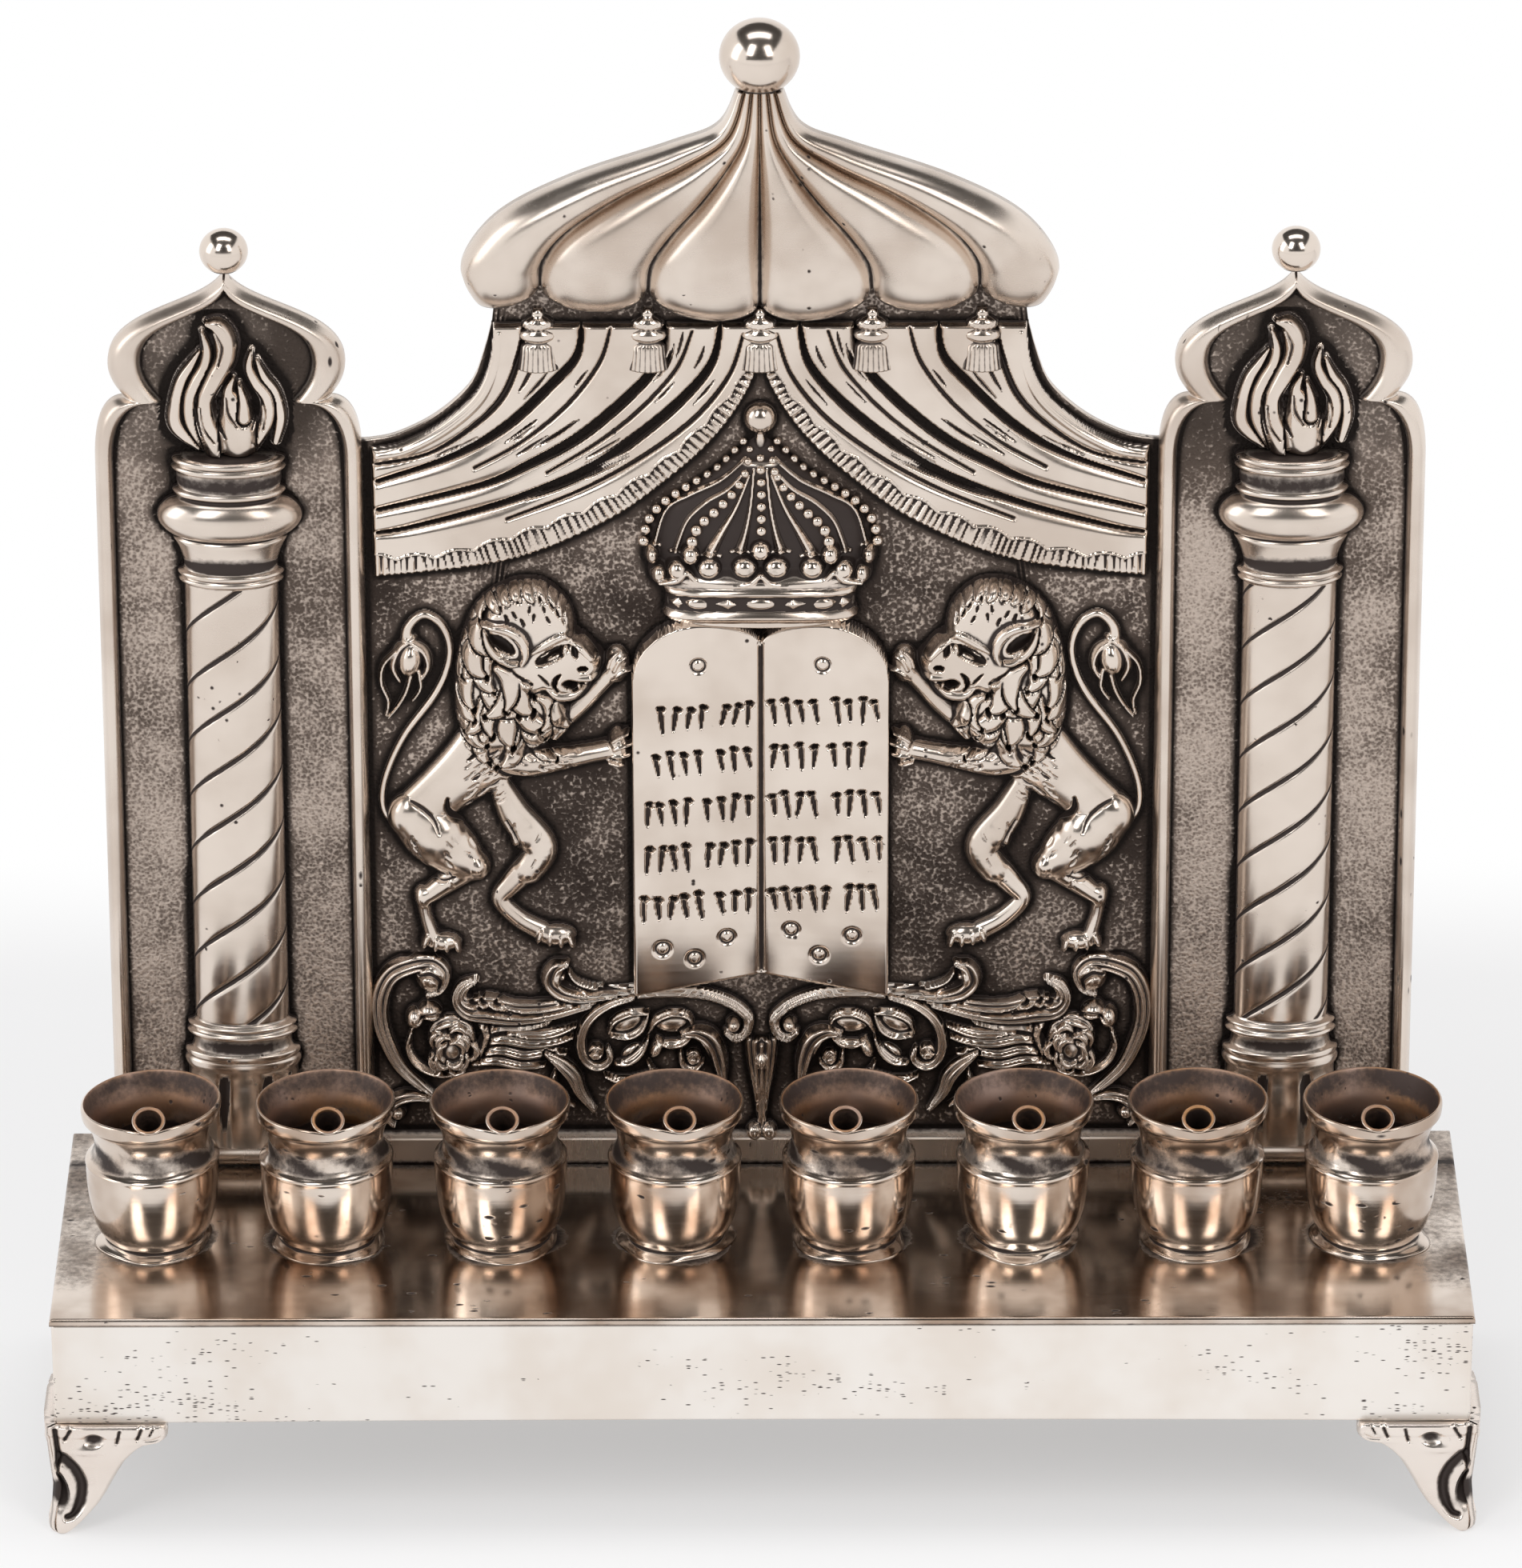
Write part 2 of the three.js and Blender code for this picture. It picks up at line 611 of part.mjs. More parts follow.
// The shaft with its spiral flutes: rows climb to the right, then the ends are cut level
function flutedShaft() {
  const foot = heightOfRow(SHAFT_FOOT_ROW);
  const head = heightOfRow(SHAFT_HEAD_ROW);
  const radius = spanInRow(SHAFT_HALF, SHAFT_HEAD_ROW, PANEL_VIEW);
  const pitch = (head - foot) / FLUTE_COUNT;
  const climb = pitch * FLUTE_RISE_SHARE;
  const start = foot - climb;
  const turns = Math.ceil((head + climb - start) / pitch);
  const rows = turns * FLUTE_STEPS;
  const sheet = reliefSheet(COLUMN_COLUMNS, rows, (u, v) => {
    const angle = (u - 1 / 2) * Math.PI;
    const step = Math.round(v * rows);
    const groove = step % FLUTE_STEPS === 0 ? FLUTE_DEPTH : 0;
    const height = EDGE + (radius * COLUMN_DEPTH_SHARE - groove) * Math.cos(angle);
    const lift = climb * (angle / Math.PI + 1 / 2);
    return [radius * Math.sin(angle), start + fluteRow(step) * pitch + lift, height];
  });
  const cut = block([-radius * 2, radius * 2], [-radius * 2, 0], [foot, head]);
  return sheet.intersect(cut);
}

// Where a row of the shaft lies, counted in flutes: each groove row has a close row either side
const GROOVE_SIDE_SHARE = 0.1;

function fluteRow(step) {
  const flute = Math.floor(step / FLUTE_STEPS);
  const within = step % FLUTE_STEPS;
  if (within === 0) return flute;
  return within === 1 ? flute + GROOVE_SIDE_SHARE : flute + 1 - GROOVE_SIDE_SHARE;
}

function column() {
  return planed(joined([flutedShaft(), halfTurned(COLUMN_FOOT_ROWS), halfTurned(COLUMN_HEAD_ROWS)]));
}

// Flames, as picture points of column, row and width about the column's middle
const FLAME_FOOT_ROW = 572;
const FLAME_BOWL = [300, 545, 62, 24];
const FLAME_TONGUES = [
  [[300, 560, 44], [272, 520, 36], [276, 470, 28], [301, 435, 16], [296, 402, 5]],
  [[322, 556, 32], [346, 515, 26], [337, 480, 15], [333, 452, 5]],
  [[274, 560, 28], [244, 530, 22], [233, 500, 14], [242, 466, 5]],
  [[336, 560, 24], [361, 530, 18], [366, 505, 11], [356, 478, 5]],
];

function flame() {
  const tongues = FLAME_TONGUES.map((points) => strand(points, FLAME_RISE, FLAME_STEPS,
    PANEL_VIEW));
  const bowl = boss(FLAME_BOWL, FLAME_RISE, PANEL_VIEW);
  const floor = heightOfRow(FLAME_FOOT_ROW);
  const above = block([-PANEL_WIDTH, PANEL_WIDTH], [-PANEL_WIDTH, 0], [floor, PLATE_RISE]);
  return joined([bowl, ...tongues]).intersect(above);
}

// A ball that is a little flattened and cut level where it sits
function ball(radius) {
  const upright = radius * BALL_SQUASH_SHARE;
  const sphere = new THREE.SphereGeometry(radius, BALL_SEGMENTS, BALL_SEGMENTS / 2);
  sphere.rotateX(Math.PI / 2);
  sphere.scale(1, 1, BALL_SQUASH_SHARE);
  sphere.translate(0, 0, upright * BALL_SEAT_SHARE);
  const above = block([-radius * 2, radius * 2], [-radius * 2, radius * 2], [0, radius * 3]);
  return solidOf(sphere).intersect(above);
}

function addSidePanels() {
  const panel = geometryOf(sidePanel());
  const columnShape = geometryOf(column());
  const flameShape = geometryOf(flame());
  const ballShape = geometryOf(ball(PANEL_BALL_RADIUS));
  const peak = heightOfRow(ARCH_OUTER.peakRow);
  const shaft = spanInRow(SHAFT_HALF, SHAFT_HEAD_ROW, PANEL_VIEW) * COLUMN_DEPTH_SHARE;
  onPanels.position.z = (PANEL_SHEET + shaft) * PICTURE_LIFT_SHARE;
  [['left', -1], ['right', 1]].forEach(([side, sign]) => {
    const x = sign * PANEL_MIDDLE;
    piece(onPlate, `column_panel_${side}`, panel, worn).position.x = x;
    piece(onPanels, `column_${side}`, columnShape, worn).position.x = x;
    piece(onPanels, `flame_${side}`, flameShape, worn).position.x = x;
    piece(onPlate, `panel_ball_${side}`, ballShape, polished).position.set(x, -PANEL_SHEET / 2, peak);
  });
}

// Centre panel: its hollow shoulders, in picture points from the canopy to the side panels
const SHOULDER_PICTURE = [[616, 402], [611, 441], [594, 480], [551, 518], [502, 542], [466, 549]];
const PANEL_HEAD_PICTURE = [[940, 135], [905, 165], [850, 190], [735, 232], [650, 280],
  [610, 337], [622, 380]];

function centrePanel() {
  const lap = PANEL_INNER + PANEL_LAP;
  const shoulder = curveFromPicture(SHOULDER_PICTURE, CARVING_VIEW)
    .getPoints(OUTLINE_STEPS);
  const head = curveFromPicture(PANEL_HEAD_PICTURE, CROWN_VIEW)
    .getPoints(OUTLINE_STEPS);
  const left = [...head, ...shoulder];
  const lastHeight = left[left.length - 1].y;
  left.push(new THREE.Vector2(-lap, lastHeight));
  left.push(new THREE.Vector2(-lap, 0));
  const right = left.map((point) => new THREE.Vector2(-point.x, point.y)).reverse();
  const outline = new THREE.Shape([...left, ...right]);
  const sheet = sheetOf(outline, CENTRE_SHEET, CENTRE_SHEET);
  const stripHalf = PANEL_INNER - SEAT_GAP;
  const strip = block([-stripHalf, stripHalf], [-STRIP_RISE, CENTRE_SHEET / 2], [0, STRIP_HEIGHT]);
  const [column, row, halfWidth] = DROP_LOBES[DROP_LOBES.length - 1];
  const slotHalf = spanInRow(column + halfWidth - PICTURE_CARVING_MIDDLE, row) + SEAT_GAP;
  const slot = block([-slotHalf, slotHalf], [-STRIP_RISE - OVERRUN, 0],
    [heightOfRow(DROP_FOOT_ROW) - SEAT_GAP, STRIP_HEIGHT + OVERRUN]);
  return sheet.add(strip.subtract(slot));
}

// Canopy: the edges of its left three gores, in picture points from the neck to the hem
const GORE_EDGES = [
  [[932, 106], [908, 151], [847, 175], [725, 215], [633, 262], [588, 322], [604, 366]],
  [[942, 106], [921, 162], [870, 196], [790, 234], [722, 277], [690, 315], [686, 350]],
  [[951, 106], [943, 162], [922, 201], [889, 244], [850, 286], [826, 320], [821, 355]],
  [[961, 106], [961, 162], [961, 201], [961, 244], [961, 286], [961, 329], [961, 371]],
];
const GORE_DROP = [12, 28, 24];
const GORE_COLUMNS = 4;
const GORE_ROWS = 8;
const GORE_DROP_POWER = 5;
const GORE_SHOULDER_SHARE = 0.72;
const GORE_NECK_SHARE = 0.35;

function canopy() {
  const edges = GORE_EDGES.map((points) => curveFromPicture(points, CROWN_VIEW));
  const gores = GORE_DROP.length;
  return planed(reliefSheet(gores * 2 * GORE_COLUMNS, GORE_ROWS, (u, v) => {
    const side = u < 1 / 2 ? -1 : 1;
    const place = gores * (1 - Math.abs(2 * u - 1));
    const gore = Math.min(Math.floor(place + EDGE_SLACK), gores - 1);
    const within = place - gore;
    const outer = edges[gore].getPoint(v);
    const inner = edges[gore + 1].getPoint(v);
    const arc = Math.sqrt(Math.max(0, 1 - (2 * within - 1) ** 2));
    const drop = spanInRow(GORE_DROP[gore], PICTURE_TOP_ROW, CROWN_VIEW) * arc * v ** GORE_DROP_POWER;
    const x = THREE.MathUtils.lerp(outer.x, inner.x, within);
    const z = THREE.MathUtils.lerp(outer.y, inner.y, within) - drop;
    return [side === -1 ? x : -x, z, goreHeight(arc, v)];
  }));
}

// The gore swells from the neck to its shoulder and rounds off at the hem
function goreHeight(arc, v) {
  const past = Math.max(0, (v - GORE_SHOULDER_SHARE) / (1 - GORE_SHOULDER_SHARE));
  const round = Math.sqrt(Math.max(0, 1 - past * past));
  const swell = THREE.MathUtils.lerp(GORE_NECK_SHARE, 1, Math.min(1, v / GORE_SHOULDER_SHARE));
  const valley = CANOPY_VALLEY * round;
  return EDGE + valley + (CANOPY_RISE - CANOPY_VALLEY - EDGE) * arc * swell * round;
}

// Curtain: its upper and outer edge, and its fringe edge, in picture points
const CURTAIN_OUTER = [[624, 404], [619, 447], [600, 487], [557, 524], [508, 549], [472, 556]];
const CURTAIN_FRINGE = [[955, 408], [948, 470], [904, 539], [838, 599], [758, 652], [639, 698],
  [474, 718]];
const CURTAIN_FOLDS = 6;
const FOLD_COLUMNS = 3;
const CURTAIN_ROWS = 6;

function curtain() {
  const outer = curveFromPicture(CURTAIN_OUTER, CARVING_VIEW);
  const fringe = curveFromPicture(CURTAIN_FRINGE, CARVING_VIEW);
  const sheet = reliefSheet(CURTAIN_FOLDS * FOLD_COLUMNS, CURTAIN_ROWS, (u, v) => {
    const from = outer.getPoint(v);
    const to = fringe.getPoint(v);
    const fold = Math.abs(Math.sin(u * CURTAIN_FOLDS * Math.PI));
    const height = CURTAIN_GROUND + CURTAIN_FOLD * fold;
    return [
      THREE.MathUtils.lerp(from.x, to.x, u),
      THREE.MathUtils.lerp(from.y, to.y, u),
      height,
    ];
  });
  const pockets = TASSEL_MIDDLES.map((middle) => tassel(SEAT_GAP)
    .translate([spanInRow(middle - PICTURE_CROWN_MIDDLE, TASSEL_FOOT_ROW), 0, tasselLift()]));
  return planed(sheet.subtract(joined(pockets)));
}

// Tassels: the middles of the left ones in the picture, and rows with half widths
const TASSEL_MIDDLES = [684, 821, 961];
const TASSEL_FOOT_ROW = 462;
const TASSEL_ROWS = [[462, 26], [434, 22], [430, 16], [420, 24], [405, 20], [398, 8], [388, 6]];
const TASSEL_SIDES = 4;

function tassel(margin) {
  const rows = TASSEL_ROWS;
  return planed(reliefSheet(TASSEL_SIDES, rows.length - 1, (u, v) => {
    const index = Math.round(v * (rows.length - 1));
    const [row, half] = rows[index];
    const angle = (u - 1 / 2) * Math.PI;
    const radius = spanInRow(half, row) + margin;
    const end = index === 0 ? -margin : 0;
    const past = index === rows.length - 1 ? margin : 0;
    return [radius * Math.sin(angle), heightOfRow(row) + end + past,
      EDGE + margin + radius * (1 - TASSEL_SINK) * Math.cos(angle) + CURTAIN_GROUND];
  }));
}

function tasselLift() {
  return (CURTAIN_GROUND + CURTAIN_FOLD) * PICTURE_LIFT_SHARE;
}

function addTassels() {
  const shape = geometryOf(tassel(0));
  const lefts = TASSEL_MIDDLES.map((middle) => spanInRow(middle - PICTURE_CROWN_MIDDLE,
    TASSEL_FOOT_ROW));
  const rights = lefts.slice(0, -1).map((x) => -x).reverse();
  [...lefts, ...rights].forEach((x, index) => {
    piece(onPlate, `tassel_${index + 1}`, shape, polished).position.set(x, 0, tasselLift());
  });
}

// Crown: picture rows with half widths from the foot up, and how far its two beads swell there
const CROWN_ROWS = [[777, 118], [770, 122], [762, 118], [747, 118], [740, 123], [733, 122],
  [716, 142], [693, 153], [664, 151], [628, 114], [594, 62], [548, 15]];
const CROWN_SWELL_SHARES = [0.4, 1, 0.2, 0.2, 1, 0.3];
const CROWN_BEAD = 0.9;
const CROWN_BALL = [961, 533, 21, 20];
const CROWN_ARCH_COUNT = 5;
const CROWN_ARCH_COLUMNS = 4;
const CROWN_BALL_RISE_SHARE = 1.4;
const CROWN_BAND_COUNT = 6;

function crown() {
  const count = CROWN_ROWS.length - 1;
  const body = reliefSheet(CROWN_ARCH_COUNT * CROWN_ARCH_COLUMNS, count, (u, v) => {
    const index = Math.round(v * count);
    const [row, half] = CROWN_ROWS[index];
    const swell = CROWN_SWELL_SHARES[index] ?? 0;
    const angle = (u - 1 / 2) * Math.PI;
    const radius = spanInRow(half, row);
    const ribbed = index >= CROWN_BAND_COUNT ? Math.max(0, Math.cos(2 * CROWN_ARCH_COUNT * angle)) : 0;
    const depth = Math.min(CROWN_RISE, radius) * Math.cos(angle);
    return [radius * Math.sin(angle), heightOfRow(row),
      EDGE + depth + CROWN_BEAD * swell + CROWN_RIB * ribbed];
  });
  const ballRise = spanInRow(CROWN_BALL[2], CROWN_BALL[1]) * CROWN_BALL_RISE_SHARE;
  return planed(body.add(boss(CROWN_BALL, ballRise, CROWN_VIEW)));
}

// Tablets like an open book: outer edge, round heads and a notch between them
const TABLET_PICTURE = { outerColumn: 802, headRow: 845, peakColumn: 886, peakRow: 783,
  notchRow: 809, cornerRow: 1242, spineFootRow: 1219 };
const TABLET_HOLLOW_SHARE = 0.5;

function tablets() {
  const places = TABLET_PICTURE;
  const half = -spanInRow(places.outerColumn - PICTURE_CROWN_MIDDLE, places.headRow);
  const peakAcross = -spanInRow(places.peakColumn - PICTURE_CROWN_MIDDLE, places.peakRow);
  const corner = heightOfRow(places.cornerRow);
  const head = heightOfRow(places.headRow);
  const peak = heightOfRow(places.peakRow);
  const notch = heightOfRow(places.notchRow);
  const spineFoot = heightOfRow(places.spineFootRow);
  const shape = new THREE.Shape();
  shape.moveTo(0, spineFoot);
  shape.lineTo(half, corner);
  shape.lineTo(half, head);
  shape.quadraticCurveTo(half, peak, peakAcross, peak);
  shape.quadraticCurveTo(peakAcross * TABLET_HOLLOW_SHARE, peak, 0, notch);
  shape.quadraticCurveTo(-peakAcross * TABLET_HOLLOW_SHARE, peak, -peakAcross, peak);
  shape.quadraticCurveTo(-half, peak, -half, head);
  shape.lineTo(-half, corner);
  shape.closePath();
  const slab = sheetOf(shape, TABLET_RISE, 0);
  const gutter = new THREE.Shape();
  gutter.moveTo(0, -TABLET_SPINE);
  gutter.lineTo(half, -TABLET_RISE);
  gutter.lineTo(half, -TABLET_RISE - OVERRUN);
  gutter.lineTo(-half, -TABLET_RISE - OVERRUN);
  gutter.lineTo(-half, -TABLET_RISE);
  gutter.closePath();
  const valley = new THREE.ExtrudeGeometry(gutter, { depth: PLATE_RISE, bevelEnabled: false });
  return slab.subtract(solidOf(valley));
}

// Left lion, in picture points of column, row and width, and bosses with half sizes
const LION = {
  tail: [[512, 1046, 12], [487, 1022, 9], [487, 984, 9], [511, 929, 9], [553, 872, 10],
    [569, 826, 10], [560, 792, 11], [536, 777, 11], [516, 795, 14], [518, 822, 22]],
  tuft: [[519, 822, 40], [515, 850, 34], [503, 882, 16], [488, 904, 6]],
  torso: [[625, 935, 92], [594, 965, 84], [553, 1000, 66], [525, 1028, 70]],
  thigh: [[516, 1030, 56], [545, 1052, 72], [580, 1078, 60], [602, 1092, 34]],
  shin: [[598, 1088, 34], [566, 1108, 30], [534, 1130, 24]],
  hock: [[534, 1126, 22], [538, 1152, 17], [546, 1178, 20]],
  farThigh: [[622, 978, 40], [652, 1024, 46], [680, 1068, 46], [668, 1094, 38]],
  farShin: [[672, 1086, 38], [646, 1112, 32], [632, 1132, 26], [654, 1156, 24], [684, 1172, 24]],
  foreleg: [[628, 950, 46], [664, 960, 40], [706, 956, 31], [745, 949, 26], [770, 944, 26]],
  raisedLeg: [[694, 916, 30], [742, 884, 24], [764, 862, 22], [778, 844, 28]],
};
const LION_HIDE_SHARES = { tail: 0.3, tuft: 0.5, torso: 0.75, thigh: 0.9, shin: 0.6, hock: 0.45,
  farThigh: 0.6, farShin: 0.45, foreleg: 0.8, raisedLeg: 0.45 };
const LION_STEPS = { tail: 9, tuft: 3, torso: 3, thigh: 3, shin: 2, hock: 2, farThigh: 3,
  farShin: 4, foreleg: 3, raisedLeg: 3 };
const LION_BOSSES = {
  mane: [640, 850, 66, 96],
  chest: [655, 905, 62, 48],
  brow: [690, 795, 52, 52],
  muzzle: [729, 832, 27, 24],
  ear: [637, 795, 17, 21],
  frontPaw: [779, 938, 14, 23],
  raisedPaw: [777, 838, 17, 24],
  nearFoot: [560, 1184, 24, 12],
  farFoot: [700, 1176, 27, 14],
};
const LION_BOSS_SHARES = { mane: 0.95, chest: 0.9, brow: 1.12, muzzle: 1.1, ear: 1.15,
  frontPaw: 0.75, raisedPaw: 0.55, nearFoot: 0.5, farFoot: 0.5 };

function lion() {
  const limbs = Object.keys(LION).map((name) => strand(LION[name],
    LION_RISE * LION_HIDE_SHARES[name], LION_STEPS[name]));
  const bosses = Object.keys(LION_BOSSES).map((name) => boss(LION_BOSSES[name],
    LION_RISE * LION_BOSS_SHARES[name]));
  return planed(joined([...limbs, ...bosses]));
}

// Left half of the scrollwork under the lions, in picture points of column, row and width
const SCROLLS = [
  [[548, 1226, 30], [528, 1206, 24], [504, 1209, 22], [489, 1234, 22], [487, 1272, 20],
    [498, 1315, 17], [522, 1350, 13], [552, 1376, 8]],
  [[588, 1232, 14], [578, 1246, 20], [597, 1264, 26], [640, 1271, 27], [686, 1269, 24],
    [732, 1256, 19], [780, 1249, 14], [840, 1250, 13], [890, 1252, 12], [926, 1262, 12],
    [939, 1281, 12], [929, 1297, 13], [914, 1291, 15]],
  [[776, 1250, 12], [741, 1276, 12], [729, 1304, 12], [738, 1328, 12], [758, 1328, 12],
    [764, 1313, 12], [750, 1309, 13]],
  [[704, 1212, 20], [697, 1230, 22], [720, 1246, 16], [752, 1250, 9]],
  [[600, 1268, 12], [618, 1290, 16], [652, 1304, 18], [690, 1302, 9]],
  [[520, 1348, 12], [546, 1338, 14], [570, 1330, 16]],
  [[586, 1330, 14], [630, 1330, 16], [672, 1322, 16], [735, 1312, 10]],
  [[694, 1323, 16], [716, 1344, 20], [722, 1370, 16], [748, 1396, 8]],
  [[852, 1252, 9], [846, 1276, 10], [858, 1296, 14], [886, 1300, 22], [903, 1322, 22],
    [908, 1350, 9]],
  [[544, 1371, 10], [520, 1366, 15], [500, 1376, 14], [494, 1394, 10]],
];
const SCROLL_STEPS = [7, 12, 6, 3, 3, 2, 3, 3, 5, 3];
const SCROLL_BOSS_SHARE = 1.3;
const SCROLL_BOSSES = [[545, 1228, 21, 22], [570, 1312, 27, 24], [592, 1296, 16, 13],
  [753, 1315, 10, 9], [916, 1290, 9, 9], [500, 1388, 13, 12]];
const BUD_BOSS = [543, 1268, 20, 14];
const BUD_STEM = [[545, 1272, 12], [562, 1284, 14], [580, 1296, 14]];

function scrollwork() {
  const strands = SCROLLS.map((points, index) => strand(points, SCROLL_RISE, SCROLL_STEPS[index]));
  const bosses = [...SCROLL_BOSSES, BUD_BOSS].map((place) => boss(place,
    SCROLL_RISE * SCROLL_BOSS_SHARE));
  const stem = strand(BUD_STEM, SCROLL_RISE, STEM_STEPS);
  return planed(joined([...strands, stem, ...bosses]));
}

// Drop under the middle of the scrollwork
const DROP_FOOT_ROW = 1428;
const DROP_STEM = [[957, 1318, 30], [957, 1345, 24], [957, 1380, 12], [957, 1412, 10]];
const DROP_LOBES = [[948, 1414, 12, 12], [966, 1414, 12, 12]];

function drop() {
  const stem = strand(DROP_STEM, SCROLL_RISE, STEM_STEPS);
  return planed(joined([stem, ...DROP_LOBES.map((place) => boss(place, SCROLL_RISE))]));
}

// Rear brackets, each screwed through the bench

function screwPlace() {
  return PLATE_FRONT + CENTRE_SHEET + BRACKET_SHEET + (BRACKET_FOOT - BRACKET_SHEET) / 2;
}

function upright(radius, low, high, segments, x, y) {
  const bar = new THREE.CylinderGeometry(radius, radius, high - low, segments);
  bar.rotateX(Math.PI / 2);
  bar.translate(x, y, (low + high) / 2);
  return solidOf(bar);
}

function screwHole(x) {
  return upright(SCREW_RADIUS + SEAT_GAP, -TOP_SHEET - NUT_HEIGHT - OVERRUN,
    BRACKET_SHEET + OVERRUN, TUBE_SEGMENTS, x, screwPlace());
}

function bracket() {
  const back = PLATE_FRONT + CENTRE_SHEET;
  const half = BRACKET_WIDTH / 2;
  const wall = block([-half, half], [back, back + BRACKET_SHEET], [0, BRACKET_RISE]);
  const sole = block([-half, half], [back, back + BRACKET_FOOT], [0, BRACKET_SHEET]);
  return wall.add(sole).subtract(screwHole(0));
}

function screw() {
  const profile = [[0, BRACKET_SHEET], [SCREW_HEAD_RADIUS, BRACKET_SHEET],
    [SCREW_HEAD_RADIUS * SCREW_DOME_SHARE, BRACKET_SHEET + SCREW_HEAD_RISE * SCREW_DOME_SHARE],
    [0, BRACKET_SHEET + SCREW_HEAD_RISE]];
  const head = solidOf(turned(profile, TUBE_SEGMENTS).translate(0, screwPlace(), 0));
  const tail = -TOP_SHEET - NUT_HEIGHT - SCREW_TAIL;
  return head.add(upright(SCREW_RADIUS, tail, BRACKET_SHEET + SCREW_HEAD_RISE / 2,
    TUBE_SEGMENTS, 0, screwPlace()));
}

function nut() {
  const body = upright(NUT_RADIUS, -TOP_SHEET - NUT_HEIGHT, -TOP_SHEET, NUT_SIDES, 0,
    screwPlace());
  return body.subtract(screwHole(0));
}

function addBrackets() {
  const shapes = { bracket: geometryOf(bracket()), bracket_screw: geometryOf(screw()),
    bracket_nut: geometryOf(nut()) };
  [['left', -1], ['right', 1]].forEach(([side, sign]) => {
    Object.entries(shapes).forEach(([name, shape]) => {
      piece(onBench, `${name}_${side}`, shape, worn).position.x = sign * BRACKET_OUT;
    });
  });
}

function addCentre() {
  piece(onPlate, 'centre_panel', centrePanel(), oxidised);
  piece(onPlate, 'canopy', canopy(), polished);
  const neck = heightOfRow(GORE_EDGES[0][0][1]);
  piece(onPlate, 'canopy_ball', ball(CANOPY_BALL_RADIUS), polished).position.set(0, -EDGE, neck);
  pair(onPlate, 'curtain', curtain(), worn);
  addTassels();
  const lift = (rise) => rise * PICTURE_LIFT_SHARE;
  piece(onPlate, 'crown', crown(), polished).position.z = lift(TABLET_RISE);
  piece(onPlate, 'tablets', tablets(), polished).position.z = lift(TABLET_RISE);
  pair(onPlate, 'lion', lion(), polished, lift(LION_RISE));
  pair(onPlate, 'scrollwork', scrollwork(), worn, lift(SCROLL_RISE));
  piece(onPlate, 'scrollwork_drop', drop(), worn).position.z = lift(SCROLL_RISE);
}

piece(onBench, 'bench_top', benchTop(), worn);
piece(onBench, 'bench_apron', apron(), polished);
addFeet();
addCups();
addSidePanels();
addCentre();
addBrackets();

export default menorah;
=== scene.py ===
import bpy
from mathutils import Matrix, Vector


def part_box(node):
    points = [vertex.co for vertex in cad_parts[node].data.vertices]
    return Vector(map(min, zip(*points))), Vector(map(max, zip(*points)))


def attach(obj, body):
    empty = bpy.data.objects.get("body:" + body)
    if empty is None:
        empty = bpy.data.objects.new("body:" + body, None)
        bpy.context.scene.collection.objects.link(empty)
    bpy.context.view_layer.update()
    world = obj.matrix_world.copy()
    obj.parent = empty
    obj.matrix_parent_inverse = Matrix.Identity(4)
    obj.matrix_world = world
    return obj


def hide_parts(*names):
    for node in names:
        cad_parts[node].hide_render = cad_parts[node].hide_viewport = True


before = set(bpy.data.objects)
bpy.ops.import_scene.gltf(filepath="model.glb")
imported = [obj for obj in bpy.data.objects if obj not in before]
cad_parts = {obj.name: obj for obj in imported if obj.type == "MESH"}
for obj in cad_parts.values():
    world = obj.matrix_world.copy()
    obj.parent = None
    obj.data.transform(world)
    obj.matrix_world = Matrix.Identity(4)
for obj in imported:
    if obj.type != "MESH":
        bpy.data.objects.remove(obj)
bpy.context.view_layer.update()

import math

import bpy
import numpy as np
from mathutils import Matrix, Vector

MM = 0.001

# Camera
LENS = 238.78
SENSOR = 36
CAMERA_PLACE = (0.0, -1.51689, 0.82586)
CAMERA_PITCH_DEGREES = 25.0
CAMERA_ROLL_DEGREES = -0.12

# The plate as the picture shows it, in picture points: the rows of its foot and top, its half
# width at each, and the middle columns of the left panel, the carvings and the crown
FOOT_ROW = 1449
TOP_ROW = 22
FOOT_HALF = 805
TOP_HALF = 847
PERSPECTIVE = 0.0513
PANEL_MIDDLE_COLUMN = 300
CARVING_MIDDLE = 957
CROWN_MIDDLE = 961

# The plate's own sizes in millimetres
PLATE_HALF = 107.0
PLATE_RISE = 202.3
PANEL_SHEET = 1.5

BENCH_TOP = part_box("bench_top")[1].z
PLATE_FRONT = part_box("lion_left")[1].y
PANEL_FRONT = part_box("column_left")[1].y
PANEL_MIDDLE = (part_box("column_panel_right")[0].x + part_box("column_panel_right")[1].x) / 2 / MM

# How deep a casting sinks into the sheet behind it
SINK = 0.25

# A casting's face looks lower in the picture than the sheet behind it, by this share of its rise
PICTURE_LIFT = 0.38

# Millimetres that one picture point spans on the plate, near enough for slopes
POINT = 0.13

# A relief's height where nothing is carved, and how steeply a form falls off past its edge
EMPTY = -9.0
WALL_SLOPE = 3

# Farther than any picture point is from a curve, and the least half width of a curve
FAR = 999.0
NARROWEST = 0.5


def row_share(row):
    """How far up the plate a picture row is: 0 at its foot, 1 at its top."""
    return (FOOT_ROW - row) / (FOOT_ROW - TOP_ROW)


def height_of(row):
    """Millimetres above the bench at a picture row."""
    share = row_share(row)
    return PLATE_RISE * share * (1 + PERSPECTIVE) / (1 + PERSPECTIVE * share)


def span(points, row):
    """Millimetres that a number of picture points span on the plate at a row."""
    return points / (FOOT_HALF + (TOP_HALF - FOOT_HALF) * row_share(row)) * PLATE_HALF


